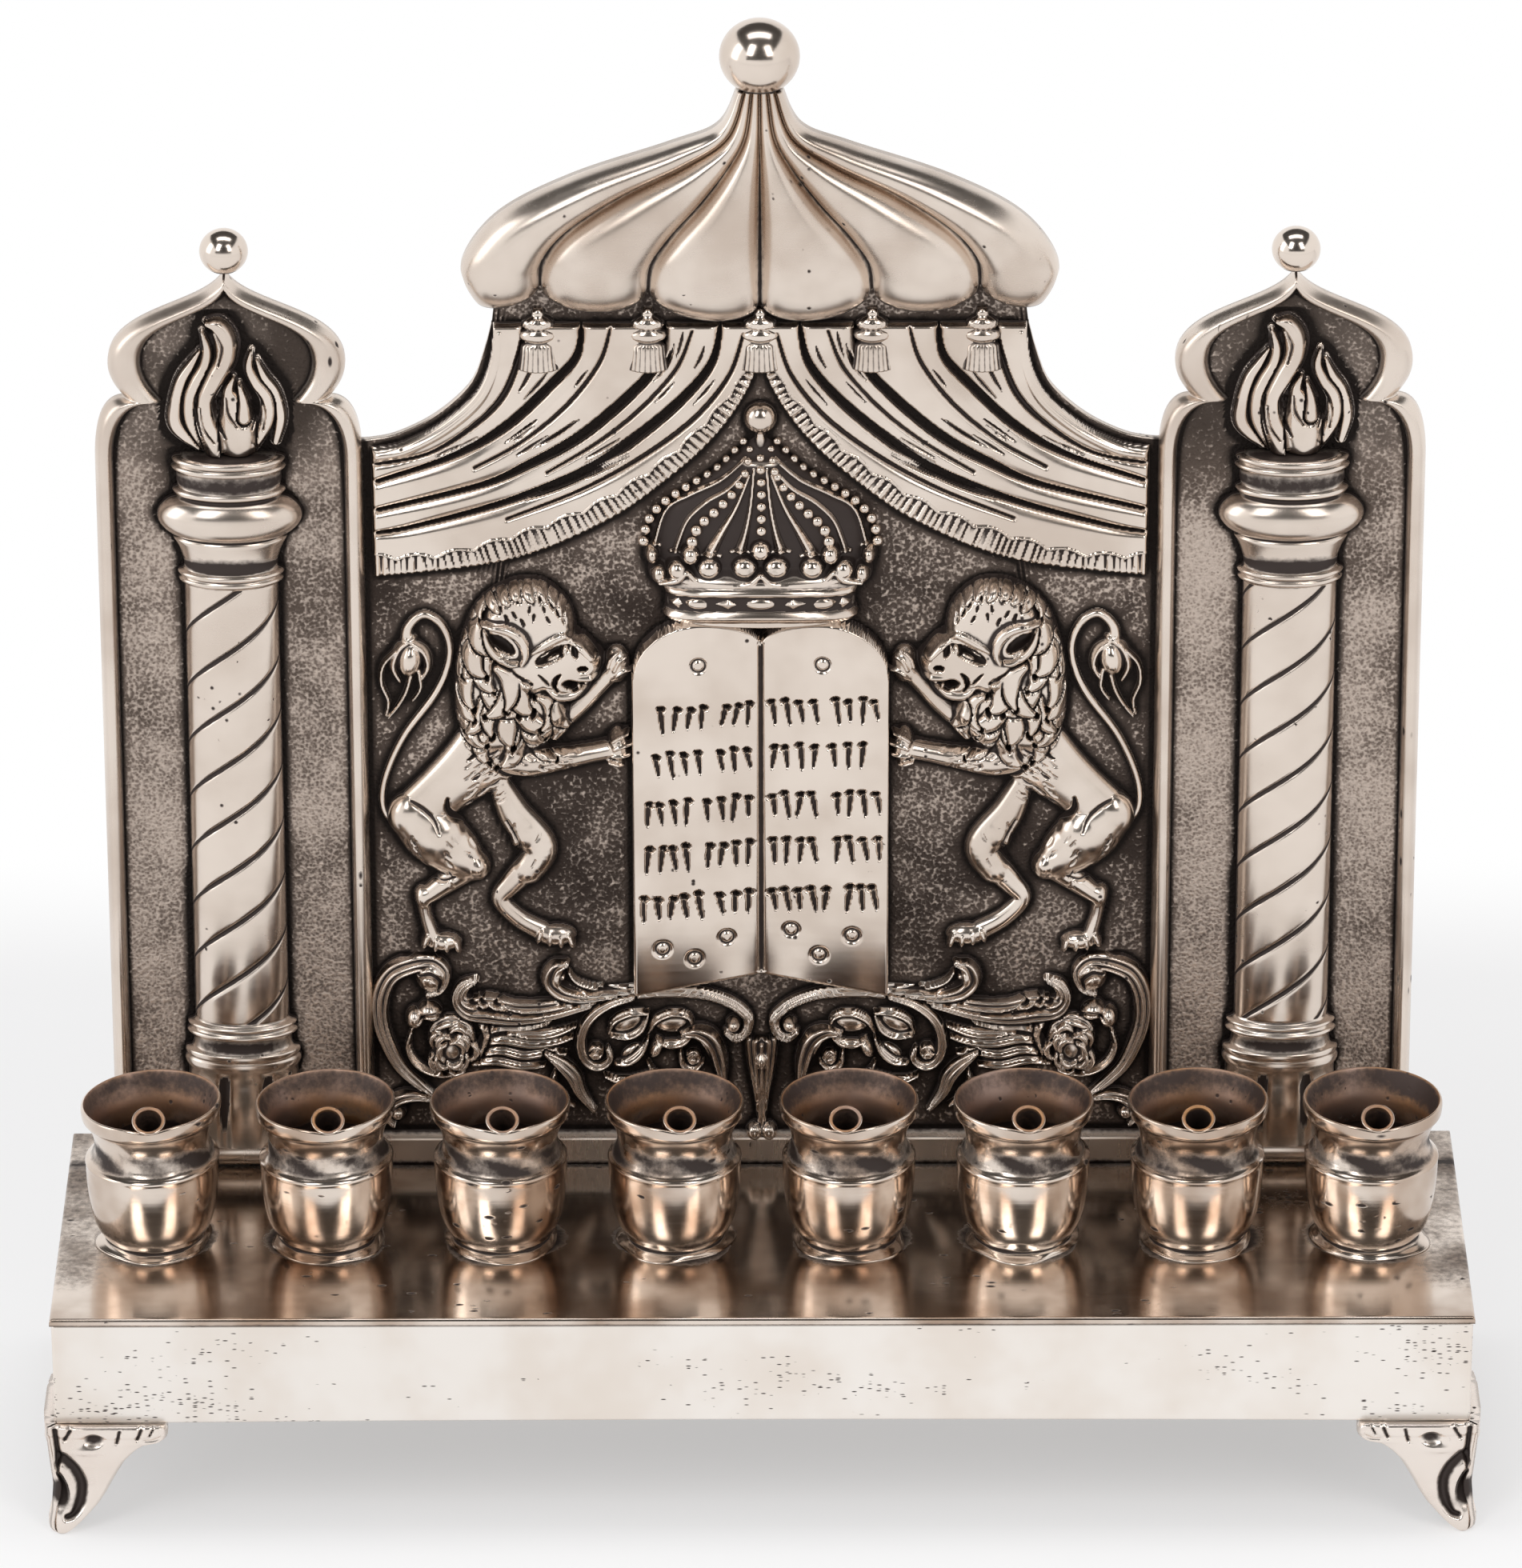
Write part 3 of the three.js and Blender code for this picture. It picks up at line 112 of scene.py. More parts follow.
def on_plate(column, row, middle=CARVING_MIDDLE):
    """Place on the plate of a picture column and row, in millimetres across and up."""
    return span(column - middle, row), height_of(row)


def in_picture(x, z, middle=CARVING_MIDDLE):
    """Picture column and row of places on the plate."""
    share = z / (PLATE_RISE * (1 + PERSPECTIVE) - PERSPECTIVE * z)
    column = middle + x / PLATE_HALF * (FOOT_HALF + (TOP_HALF - FOOT_HALF) * share)
    return column, FOOT_ROW - share * (FOOT_ROW - TOP_ROW)


def spline(values, steps):
    """A smooth curve through rows of values, with a number of steps between each two."""
    values = np.asarray(values, float)
    last = len(values) - 1
    place = np.linspace(0, last, last * steps + 1)
    index = np.minimum(place.astype(int), last - 1)
    t = (place - index)[:, None]
    before, here = values[np.maximum(index - 1, 0)], values[index]
    ahead, beyond = values[index + 1], values[np.minimum(index + 2, last)]
    leave, arrive = (ahead - before) / 2, (beyond - here) / 2
    return ((2 * here - 2 * ahead + leave + arrive) * t**3
            + (3 * ahead - 3 * here - 2 * leave - arrive) * t**2 + leave * t + here)


def smoothstep(low, high, value):
    """From 0 at low to 1 at high, soft at both ends."""
    t = np.clip((value - low) / (high - low), 0, 1)
    return t * t * (3 - 2 * t)


def blurred(field, cells):
    """Three passes of a running mean over a field."""
    width = max(1, int(round(cells)))
    for axis in (0, 1):
        for _ in range(3):
            pad = [(0, 0), (0, 0)]
            pad[axis] = (width + 1, width)
            total = np.cumsum(np.pad(field, pad, mode="edge"), axis=axis)
            high = np.take(total, range(2 * width + 1, total.shape[axis]), axis=axis)
            low = np.take(total, range(0, total.shape[axis] - 2 * width - 1), axis=axis)
            field = (high - low) / (2 * width + 1)
    return field


# Ways a strand is rounded across, where offset runs from -1 to 1

def round_form(offset):
    """A strand as round as a half ellipse."""
    return np.sqrt(np.clip(1 - offset**2, 0, 1))


def ridged_form(offset):
    """A strand with a sharp ridge."""
    return np.clip(1 - np.abs(offset), 0, 1) ** 0.8


def leaf_form(offset):
    """A leaf: steep on one side of its ridge, with a groove down the other."""
    ridge = np.clip(1 - np.abs(offset - 0.25) / np.where(offset > 0.25, 0.75, 1.25), 0, 1) ** 0.6
    return ridge - 0.3 * np.exp(-((offset + 0.35) / 0.16) ** 2)


def grooved_form(count, depth):
    """A rounded strand with grooves along it."""
    def form(offset):
        waves = np.cos(offset * math.pi * (count + 1)) * (-1) ** (count % 2)
        return round_form(offset) * (1 - depth * (0.5 - 0.5 * waves))
    return form


class Relief:
    """Heights in millimetres over a fine grid on the plate."""

    def __init__(self, columns, rows, middle=CARVING_MIDDLE, pitch=0.2, offset=0.0, rise=0.0):
        xs = [span(column - middle, row) for column in columns for row in rows]
        self.pitch = pitch
        self.middle = middle
        self.offset = offset
        self.lift = rise * PICTURE_LIFT
        self.xs = np.arange(min(xs), max(xs) + pitch, pitch)
        self.zs = np.arange(height_of(max(rows)), height_of(min(rows)) + pitch, pitch)
        self.x, self.z = np.meshgrid(self.xs, self.zs)
        self.column, self.row = in_picture(self.x, self.z, middle)
        self.height = np.full(self.x.shape, EMPTY)
        self.shade = np.zeros(self.x.shape)

    def near(self, points, steps=8):
        """Signed offset over half width, and half width, of a curve over the grid."""
        curve = spline([(column, row, width / 2) for column, row, width in points], steps)
        shape = self.x.shape
        best, side, half = np.full(shape, FAR), np.ones(shape), np.full(shape, NARROWEST)
        reach = curve[:, 2].max() * 1.5 + 6
        for (c0, r0, w0), (c1, r1, w1) in zip(curve, curve[1:]):
            low = on_plate(min(c0, c1) - reach, max(r0, r1) + reach, self.middle)
            high = on_plate(max(c0, c1) + reach, min(r0, r1) - reach, self.middle)
            rows = slice(*np.searchsorted(self.zs, (low[1], high[1])))
            columns = slice(*np.searchsorted(self.xs, (low[0], high[0])))
            x, z = self.column[rows, columns] - c0, self.row[rows, columns] - r0
            dx, dz = c1 - c0, r1 - r0
            t = np.clip((x * dx + z * dz) / max(dx * dx + dz * dz, 1e-9), 0, 1)
            away = np.hypot(x - t * dx, z - t * dz)
            closer = away < best[rows, columns]
            width = np.maximum(w0 + (w1 - w0) * t, NARROWEST)
            for field, value in ((best, away), (side, np.sign(dx * z - dz * x)), (half, width)):
                field[rows, columns][closer] = value[closer]
        return side * best / half, half

    def change(self, where, height):
        """Sets the relief to a height at some places only."""
        self.height = np.where(where, height, self.height)

    def merge(self, height, blend=0.0):
        """Raises the relief to a height where that is higher, with a soft join."""
        higher = np.maximum(self.height, height)
        if blend:
            gap = np.clip(blend - np.abs(self.height - height), 0, None)
            higher = higher + gap**2 / (4 * blend)
        self.height = higher

    def strand(self, points, rise, form=round_form, blend=0.0, steps=8, taper=0.5, foot=0.0):
        """Raises a strand of its own width along a curve."""
        offset, half = self.near(points, steps)
        widest = max(point[2] for point in points) / 2
        scale = np.clip(half / widest, 0.02, 1) ** taper
        body = foot + rise * scale * form(np.clip(offset, -1, 1))
        outside = np.clip(np.abs(offset) - 1, 0, None) * half * POINT
        self.merge(np.where(outside > 0, foot - WALL_SLOPE * outside, body), blend)

    def boss(self, place, rise, blend=0.0, power=0.5, foot=0.0):
        """A domed oval from picture column, row, half width, half height and turn in degrees."""
        column, row, half_width, half_height, *turn = place
        angle = math.radians(turn[0] if turn else 0)
        x, z = self.column - column, row - self.row
        across = x * math.cos(angle) + z * math.sin(angle)
        up = z * math.cos(angle) - x * math.sin(angle)
        away = np.hypot(across / half_width, up / half_height)
        dome = foot + rise * np.clip(1 - away**2, 0, 1) ** power
        outside = foot - WALL_SLOPE * (away - 1) * min(half_width, half_height) * POINT
        self.merge(np.where(away > 1, outside, dome), blend)

    def carve(self, points, depth, steps=8, sharp=1.0):
        """Cuts a groove of its own width along a curve."""
        offset, _ = self.near(points, steps)
        self.height = self.height - depth * np.clip(1 - offset**2, 0, 1) ** sharp

    def dent(self, place, depth, power=1.0):
        """Sinks an oval."""
        keep = self.height
        self.height = np.full(keep.shape, EMPTY)
        self.boss(place, depth, power=power)
        self.height = keep - np.clip(self.height, 0, None)

    def pile(self, strands, rise, form=round_form, steps=6, taper=0.7):
        """Lays strands on top of what is there, the highest of them at each place."""
        keep = self.height
        self.height = np.full(keep.shape, EMPTY)
        for points in strands:
            self.strand(points, rise, form, steps=steps, taper=taper)
        laid = np.clip(self.height, 0, None)
        self.height = np.where(keep > 0, keep + laid, keep)

    def inside(self, outline, reach=24):
        """Distance in picture points within a closed outline, less than 0 outside it."""
        closed = [(column, row, reach * 4 / 3) for column, row in outline + outline[:1]]
        offset, half = self.near(closed, 4)
        away = np.minimum(np.abs(offset) * half, reach)
        curve = spline(closed, 4)
        odd = np.zeros(self.x.shape, bool)
        for (c0, r0, _), (c1, r1, _) in zip(curve, curve[1:]):
            if r0 != r1:
                crosses = (r0 > self.row) != (r1 > self.row)
                odd ^= crosses & (self.column < c0 + (self.row - r0) / (r1 - r0) * (c1 - c0))
        return np.where(odd, away, -away)

    def dome(self, outline, rise, round_over, blend=0.0, foot=0.0, reach=24):
        """A form of its own outline, rounded over some picture points along its edge."""
        depth = self.inside(outline, reach)
        share = np.clip(depth / round_over, 0, 1)
        body = foot + (rise - foot) * np.sqrt(1 - (1 - share) ** 2)
        self.merge(np.where(depth < 0, foot + WALL_SLOPE * depth * POINT, body), blend)

    def shingle(self, ground, points, rise, moat=2.2, form=round_form, steps=4):
        """A lock laid over its neighbours: it covers them, and a moat parts it from them."""
        offset, half = self.near(points, steps)
        beyond = (np.abs(offset) - 1) * half
        base = np.clip(ground, 0, None)
        body = base + rise * form(np.clip(offset, -1, 1))
        moated = np.minimum(self.height, base - 0.35)
        self.change(beyond < moat, np.where(beyond <= 0, body, moated))

    def hollows(self):
        """How far each place lies below what is around it, over two widths."""
        ground = np.clip(self.height, 0, None)
        fine = blurred(ground, 0.35 / self.pitch) - ground
        broad = blurred(ground, 1.3 / self.pitch) - ground
        return fine / 0.3 + broad / 1.6

    def footprint(self, x, z, spread, mirrored=False):
        """How near places on the plate are to what is raised here, 1 within it: the reach of
        painted shade round it.
        """
        soft = blurred((self.height > 0).astype(float), spread / self.pitch)
        across = (-x if mirrored else x) - self.offset
        z = z - self.lift
        i = np.clip(np.searchsorted(self.zs, z), 0, len(self.zs) - 1)
        j = np.clip(np.searchsorted(self.xs, across), 0, len(self.xs) - 1)
        inside = (z > self.zs[0]) & (z < self.zs[-1])
        inside &= (across > self.xs[0]) & (across < self.xs[-1])
        return np.where(inside, soft[i, j], 0)

    def bodies(self, front):
        """Points, faces and hollow marks of one closed casting with a flat sunk back."""
        height = np.maximum(self.height, -SINK)
        before, after = slice(None, -1), slice(1, None)
        corners = [(before, before), (before, after), (after, after), (after, before)]
        full = np.pad(sum((self.height > 0)[corner] for corner in corners) > 0, 1)
        # The cells with a raised corner, and the ones next to them
        cells = (full[1:-1, 1:-1] | full[2:, 1:-1] | full[:-2, 1:-1] | full[1:-1, 2:]
                 | full[1:-1, :-2])
        count = np.zeros(height.shape, int)
        for corner in corners:
            count[corner] += cells
        used, inner = count > 0, count == 4
        height = np.where(inner, height, -SINK)
        index = np.full(height.shape, -1)
        index[used] = np.arange(used.sum())
        x = (self.x + self.offset) * MM
        z = BENCH_TOP + (self.z + self.lift) * MM
        points = np.stack([x[used], front - height[used] * MM, z[used]], -1)
        faces = np.stack([index[corner][cells] for corner in corners], -1).tolist()
        # The back is one strip for each run of cells, through the points of the rim
        for row, line in enumerate(cells):
            run = np.flatnonzero(line)
            for run in np.split(run, np.flatnonzero(np.diff(run) > 1) + 1):
                if len(run):
                    ends = slice(run[0], run[-1] + 2)
                    low, high = [index[k, ends][~inner[k, ends]] for k in (row, row + 1)]
                    faces.append([*high.tolist(), *low[::-1].tolist()])
        return points, faces, (self.hollows() + self.shade)[used]

    def cast(self, name, node, front, finish, mirrored=False):
        """One casting, smooth but for its flat back."""
        points, faces, marks = self.bodies(front)
        if mirrored:
            points = points * (-1, 1, 1)
            faces = [face[::-1] for face in faces]
        obj = piece(name, node, points, faces, finish, marks)
        for polygon in obj.data.polygons:
            polygon.use_smooth = polygon.normal.y < 0.9999

    def cast_pair(self, name, node, finish):
        """One casting on the left of the plate, and its mirror image on the right."""
        for side in ("left", "right"):
            self.cast(f"{name}_{side}", f"{node}_{side}", PLATE_FRONT, finish, side == "right")


# Pieces: objects of the scene that stand for nodes of the frame

def put(name, data):
    """A new object in the scene."""
    obj = bpy.data.objects.new(name, data)
    bpy.context.scene.collection.objects.link(obj)
    return obj


def mark_points(mesh, name, values):
    """Stores one number for each point of a mesh."""
    attribute = mesh.attributes.new(name, "FLOAT", "POINT")
    attribute.data.foreach_set("value", np.asarray(values, np.float32))


def piece(name, node, points, faces, finish, hollow=None):
    """A smooth piece with its finish, and with a mark at each point of how hollow it is, which on
    some pieces also holds painted shade.
    """
    mesh = bpy.data.meshes.new(name)
    mesh.from_pydata(np.asarray(points, float).tolist(), [], [list(face) for face in faces])
    if hollow is not None:
        mark_points(mesh, "hollow", hollow)
    mesh.validate()
    mesh.shade_smooth()
    obj = put(name, mesh)
    mesh.materials.append(finish)
    seat(obj, node)
    return obj


def seat(obj, *names):
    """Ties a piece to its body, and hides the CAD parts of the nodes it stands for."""
    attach(obj, "root")
    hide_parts(*names)


def second_finish(obj, finish, chosen):
    """Gives a second finish to the chosen faces of a piece."""
    obj.data.materials.append(finish)
    obj.data.polygons.foreach_set("material_index", np.asarray(chosen, np.int32))


# Finishes: node helpers, shared effects and the silver itself

def add(tree, kind, values=None, **settings):
    """A shader node with its settings, and its inputs set or linked."""
    made = tree.nodes.new("ShaderNode" + kind)
    for name, value in settings.items():
        setattr(made, name, value)
    for name, value in (values or {}).items():
        if isinstance(value, bpy.types.NodeSocket):
            tree.links.new(value, made.inputs[name])
        else:
            made.inputs[name].default_value = value
    return made


def effect(name, inputs, outputs, family="Shader"):
    """An empty node group with named inputs and outputs."""
    tree = bpy.data.node_groups.new(name, family + "NodeTree")
    for label, kind, value in inputs:
        socket = tree.interface.new_socket(label, in_out="INPUT", socket_type="NodeSocket" + kind)
        if value is not None:
            socket.default_value = value
    for label, kind in outputs:
        tree.interface.new_socket(label, in_out="OUTPUT", socket_type="NodeSocket" + kind)
    return tree, tree.nodes.new("NodeGroupInput").outputs, tree.nodes.new("NodeGroupOutput").inputs


def use(tree, group, values):
    """The outputs of a node group, with its inputs set or linked."""
    return add(tree, "Group", values, node_tree=group).outputs


def noise(tree, place, scale, detail, rough=0.55):
    """Soft noise from 0 to 1."""
    made = add(tree, "TexNoise", {"Vector": place, "Scale": scale, "Detail": detail,
                                  "Roughness": rough})
    return made.outputs["Fac"]


def math_of(tree, operation, first, second, third=0.0):
    """The result of a sum of two or three values."""
    return add(tree, "Math", {0: first, 1: second, 2: third}, operation=operation).outputs[0]


def ramp(tree, value, low, high, to_low=0.0, to_high=1.0):
    """A value carried smoothly from one range to another."""
    made = add(tree, "MapRange", {"Value": value, "From Min": low, "From Max": high,
                                  "To Min": to_low, "To Max": to_high},
               interpolation_type="SMOOTHSTEP")
    return made.outputs["Result"]


def stretched(tree, place, scale):
    """A place with each of its axes scaled."""
    return add(tree, "VectorMath", {0: place, 1: scale}, operation="MULTIPLY").outputs[0]


def blend_colour(tree, factor, first, second):
    return add(tree, "Mix", {0: factor, 6: first, 7: second}, data_type="RGBA").outputs[2]


def blend_value(tree, factor, first, second):
    return add(tree, "Mix", {0: factor, 2: first, 3: second}).outputs[0]


def bump(tree, shader, height, strength, distance):
    """Roughens a shader by a height, at a strength and over a distance in metres."""
    made = add(tree, "Bump", {"Height": height, "Strength": strength, "Distance": distance})
    tree.links.new(made.outputs["Normal"], shader.inputs["Normal"])


def new_material(name):
    """A material, with its nodes, its shader and the place on the object."""
    material = bpy.data.materials.new(name)
    material.use_nodes = True
    tree = material.node_tree
    return material, tree, tree.nodes["Principled BSDF"], add(tree, "TexCoord").outputs["Object"]


def make_tarnish_and_shade():
    """Brown-black oxide that fills the hollows and creeps out of them in patches, and painted
    shade wherever a piece's marks hold it.
    """
    tree, given, out = effect("tarnish_and_shade", [
        ("Place", "Vector", None), ("Hollow and shade", "Float", 0.0), ("Level", "Float", 0.0),
        ("Patches", "Float", 0.3)], [("Mask", "Float"), ("Cloud", "Float")])
    broad = noise(tree, given["Place"], 55, 3)
    fine = noise(tree, given["Place"], 900, 3, 0.6)
    cloud = math_of(tree, "SUBTRACT", broad, 0.5)
    grain = math_of(tree, "SUBTRACT", fine, 0.5)
    level = math_of(tree, "ADD", given["Hollow and shade"], given["Level"])
    level = math_of(tree, "MULTIPLY_ADD", cloud, given["Patches"], level)
    level = math_of(tree, "MULTIPLY_ADD", grain, 0.55, level)
    tree.links.new(ramp(tree, level, 0.12, 0.75), out["Mask"])
    tree.links.new(broad, out["Cloud"])
    return tree


SWARM_SCALE = 60


def make_pits():
    """Small dark pits in loose swarms, drawn out along the rolling of the sheet."""
    tree, given, out = effect("pits", [
        ("Place", "Vector", None), ("Stretch", "Vector", (1, 1, 1)), ("Size", "Float", 900.0),
        ("Amount", "Float", 0.5)], [("Mask", "Float")])
    drawn = stretched(tree, given["Place"], given["Stretch"])
    cells = add(tree, "TexVoronoi", {"Vector": drawn, "Scale": given["Size"]})
    swarm = noise(tree, drawn, SWARM_SCALE, 4, 0.7)
    chance = add(tree, "SeparateColor", {"Color": cells.outputs["Color"]}).outputs[0]
    limit = math_of(tree, "MULTIPLY", ramp(tree, swarm, 0.5, 0.75), given["Amount"])
    here = math_of(tree, "LESS_THAN", chance, limit)
    dot = ramp(tree, cells.outputs["Distance"], 0.18, 0.42, 1.0, 0.0)
    tree.links.new(math_of(tree, "MULTIPLY", here, dot), out["Mask"])
    return tree


def make_scratches():
    """Fine polishing lines along one direction."""
    tree, given, out = effect("polishing lines", [
        ("Place", "Vector", None), ("Stretch", "Vector", (40, 900, 900))], [("Height", "Float")])
    drawn = stretched(tree, given["Place"], given["Stretch"])
    tree.links.new(noise(tree, drawn, 1.0, 3, 0.6), out["Height"])
    return tree


TARNISH_AND_SHADE = make_tarnish_and_shade()
PITS = make_pits()
LINES = make_scratches()

BRIGHT = (0.79, 0.695, 0.615, 1)
WARM = (0.52, 0.415, 0.34, 1)
OXIDE_AND_SHADE = (0.045, 0.032, 0.028, 1)
OXIDE_ROUGHNESS = 0.5
OXIDE_METALLIC = 0.5


def silver(name, bright=BRIGHT, warm=WARM, oxide_and_shade=OXIDE_AND_SHADE, level=0.0, patches=0.3, smooth=0.2,
           pits=0.3, pit_size=900.0, stretch=(1, 1, 1), lines=(40, 900, 900), line_depth=0.03,
           warmth=0.5):
    """Worn silver: bright where rubbed, warm where cloudy, brown-black in the hollows and in
    painted shade.
    """
    material, tree, shader, place = new_material(name)
    hollow = add(tree, "Attribute", attribute_name="hollow").outputs["Fac"]
    stain_and_shade = use(tree, TARNISH_AND_SHADE, {"Place": place, "Hollow and shade": hollow, "Level": level,
                                "Patches": patches})
    pit = use(tree, PITS, {"Place": place, "Stretch": stretch, "Size": pit_size,
                           "Amount": pits})["Mask"]
    line = use(tree, LINES, {"Place": place, "Stretch": lines})["Height"]
    cloud = ramp(tree, stain_and_shade["Cloud"], 0.35, 0.72, 0.0, warmth)
    colour = blend_colour(tree, cloud, bright, warm)
    # Brown-black: oxide in the hollows, and painted shade where the marks hold it
    colour = blend_colour(tree, stain_and_shade["Mask"], colour, oxide_and_shade)
    colour = blend_colour(tree, pit, colour, oxide_and_shade)
    tree.links.new(colour, shader.inputs["Base Color"])
    dark = math_of(tree, "MAXIMUM", stain_and_shade["Mask"], pit)
    rough = blend_value(tree, dark, smooth, OXIDE_ROUGHNESS)
    rough = math_of(tree, "MULTIPLY_ADD", stain_and_shade["Cloud"], 0.16, rough)
    rough = math_of(tree, "MULTIPLY_ADD", line, 0.12, math_of(tree, "SUBTRACT", rough, 0.12))
    tree.links.new(rough, shader.inputs["Roughness"])
    tree.links.new(ramp(tree, dark, 0.0, 1.0, 1.0, OXIDE_METALLIC), shader.inputs["Metallic"])
    rise = math_of(tree, "MULTIPLY", line, line_depth)
    rise = math_of(tree, "MULTIPLY_ADD", pit, -0.6, rise)
    rise = math_of(tree, "MULTIPLY_ADD", stain_and_shade["Cloud"], 0.35, rise)
    bump(tree, shader, rise, 0.5, 0.12 * MM)
    return material


def stippled(name, deep, light, first=1.18, last=1.55):
    """Matt punched ground, oxidised brown-black, with rubbed silver grains, and near black in its
    hollows and in painted shade round what stands on it.
    """
    material, tree, shader, place = new_material(name)
    hollow = add(tree, "Attribute", attribute_name="hollow").outputs["Fac"]
    punched = add(tree, "TexVoronoi", {"Vector": place, "Scale": 1900.0, "Randomness": 1.0},
                  feature="SMOOTH_F1")
    grains = noise(tree, place, 1500, 4, 0.7)
    broad = noise(tree, place, 45, 4, 0.6)
    rise = math_of(tree, "MULTIPLY_ADD", punched.outputs["Distance"], 0.7, grains)
    worn = math_of(tree, "MULTIPLY_ADD", broad, 0.9, rise)
    # The marks, oxide in the hollows and painted shade round the castings, hide the grains and
    # turn the ground near black
    worn = math_of(tree, "SUBTRACT", worn, math_of(tree, "MULTIPLY", hollow, 0.55))
    speck = ramp(tree, worn, first, last)
    tone = ramp(tree, broad, 0.35, 0.7)
    ground = blend_colour(tree, tone, deep, light)
    ground = blend_colour(tree, ramp(tree, hollow, 0.1, 0.8), ground, (0.02, 0.015, 0.013, 1))
    colour = blend_colour(tree, speck, ground, (0.62, 0.52, 0.45, 1))
    tree.links.new(colour, shader.inputs["Base Color"])
    tree.links.new(ramp(tree, speck, 0.0, 1.0, 0.62, 0.34), shader.inputs["Roughness"])
    shader.inputs["Metallic"].default_value = 0.85
    bump(tree, shader, rise, 0.9, 0.3 * MM)
    return material


POLISHED = silver("polished silver", smooth=0.16, level=-0.12, patches=0.25, pits=0.12)
RELIEF = silver("chased silver", smooth=0.2, level=-0.05, patches=0.3, pits=0.15)
BAND = silver("rubbed band", smooth=0.26, level=-0.15, patches=0.4, pits=0.25,
              stretch=(1, 1, 0.4), lines=(900, 900, 30))
CUP = silver("spun cup", warm=(0.42, 0.3, 0.22, 1), smooth=0.15, level=0.0, patches=0.6, pits=0.5,
             stretch=(0.4, 0.4, 1), lines=(25, 25, 1600), line_depth=0.12, warmth=0.9)
CUP_INSIDE = silver("burnt cup inside", bright=(0.42, 0.3, 0.25, 1), warm=(0.5, 0.27, 0.13, 1),
                    oxide_and_shade=(0.07, 0.047, 0.04, 1), level=0.3, patches=1.5, smooth=0.42,
                    warmth=1.0, pits=0.6)
BENCH_SHEET = silver("bench sheet", warm=(0.4, 0.29, 0.215, 1), smooth=0.15, level=-0.02,
                     patches=0.75, pits=0.45, stretch=(0.45, 1, 1), lines=(30, 1200, 1200),
                     warmth=0.95)
BENCH_WALL = silver("bench wall", bright=(0.93, 0.88, 0.83, 1), warm=(0.8, 0.7, 0.61, 1),
                    smooth=0.36, level=-0.34, patches=0.42, pits=0.6, pit_size=3000.0,
                    stretch=(0.25, 1, 1), lines=(25, 700, 1300), warmth=0.55)
FOOT = silver("cast foot", bright=(0.88, 0.8, 0.735, 1), warm=(0.72, 0.6, 0.52, 1), smooth=0.24,
              level=-0.2, patches=0.25, pits=0.15)
CANOPY_METAL = silver("gored silver", smooth=0.24, level=-0.1, patches=0.25, pits=0.12, warmth=0.6)
CURTAIN_METAL = silver("draped silver", smooth=0.2, level=-0.06, patches=0.25, pits=0.12)
HARDWARE = silver("dull fixing", smooth=0.4, level=0.1, patches=0.5, pits=0.3)
COLUMN_METAL = silver("turned silver", smooth=0.22, level=-0.14, patches=0.25, pits=0.3,
                      warmth=0.35)
GROUND = stippled("stippled ground", (0.06, 0.044, 0.037, 1), (0.2, 0.155, 0.13, 1))
RUBBED_GROUND = stippled("rubbed ground", (0.15, 0.115, 0.095, 1), (0.42, 0.34, 0.29, 1), 1.0, 1.5)


# Bodies from grids and rings, in millimetres

def quads_of(index):
    """The four-sided faces between the points of a grid."""
    return np.stack([index[:-1, :-1], index[:-1, 1:], index[1:, 1:], index[1:, :-1]],
                    -1).reshape(-1, 4)


def shell(front, back):
    """Points and faces of a closed body between two grids of as many points each."""
    rows, columns = front.shape[:2]
    index = np.arange(rows * columns).reshape(rows, columns)
    behind = index + rows * columns
    faces = [quads_of(index), quads_of(behind)[:, ::-1]]
    for edge, far in ((index[0], behind[0]), (index[:, -1], behind[:, -1]),
                      (index[-1, ::-1], behind[-1, ::-1]), (index[::-1, 0], behind[::-1, 0])):
        faces.append(np.stack([edge[:-1], far[:-1], far[1:], edge[1:]], -1))
    points = np.concatenate([front.reshape(-1, 3), back.reshape(-1, 3)])
    return points, np.concatenate(faces)


def marked(hollow, behind=0.5):
    """Marks for a shell: those of its front grid, and one value for all of its back."""
    return np.concatenate([hollow.ravel(), np.full(hollow.size, behind)])


def slab(name, node, front, hollow, place, finish, behind=0.5, back=SINK):
    """A piece from a grid in millimetres to a flat back, moved to a place in metres."""
    rear = front.copy()
    rear[..., 1] = back
    points, faces = shell(front * MM, rear * MM)
    return piece(name, node, points + place, faces, finish, marked(hollow, behind))


def turned(profile, segments, wobble=None):
    """Points and faces of a turned body, from radius and height pairs between two on the axis."""
    angles = np.arange(segments) / segments * 2 * math.pi
    points, rings = [], []
    for radius, height in profile:
        if radius == 0:
            rings.append([len(points)] * segments)
            points.append((0, 0, height))
            continue
        rings.append(list(range(len(points), len(points) + segments)))
        for angle in angles:
            reach = radius + (wobble(radius, height, angle) if wobble else 0)
            points.append((reach * math.cos(angle), reach * math.sin(angle), height))
    faces = []
    for low, high in zip(rings, rings[1:]):
        for step in range(segments):
            ahead = (step + 1) % segments
            faces.append(list(dict.fromkeys((low[step], low[ahead], high[ahead], high[step]))))
    return np.array(points, float), faces


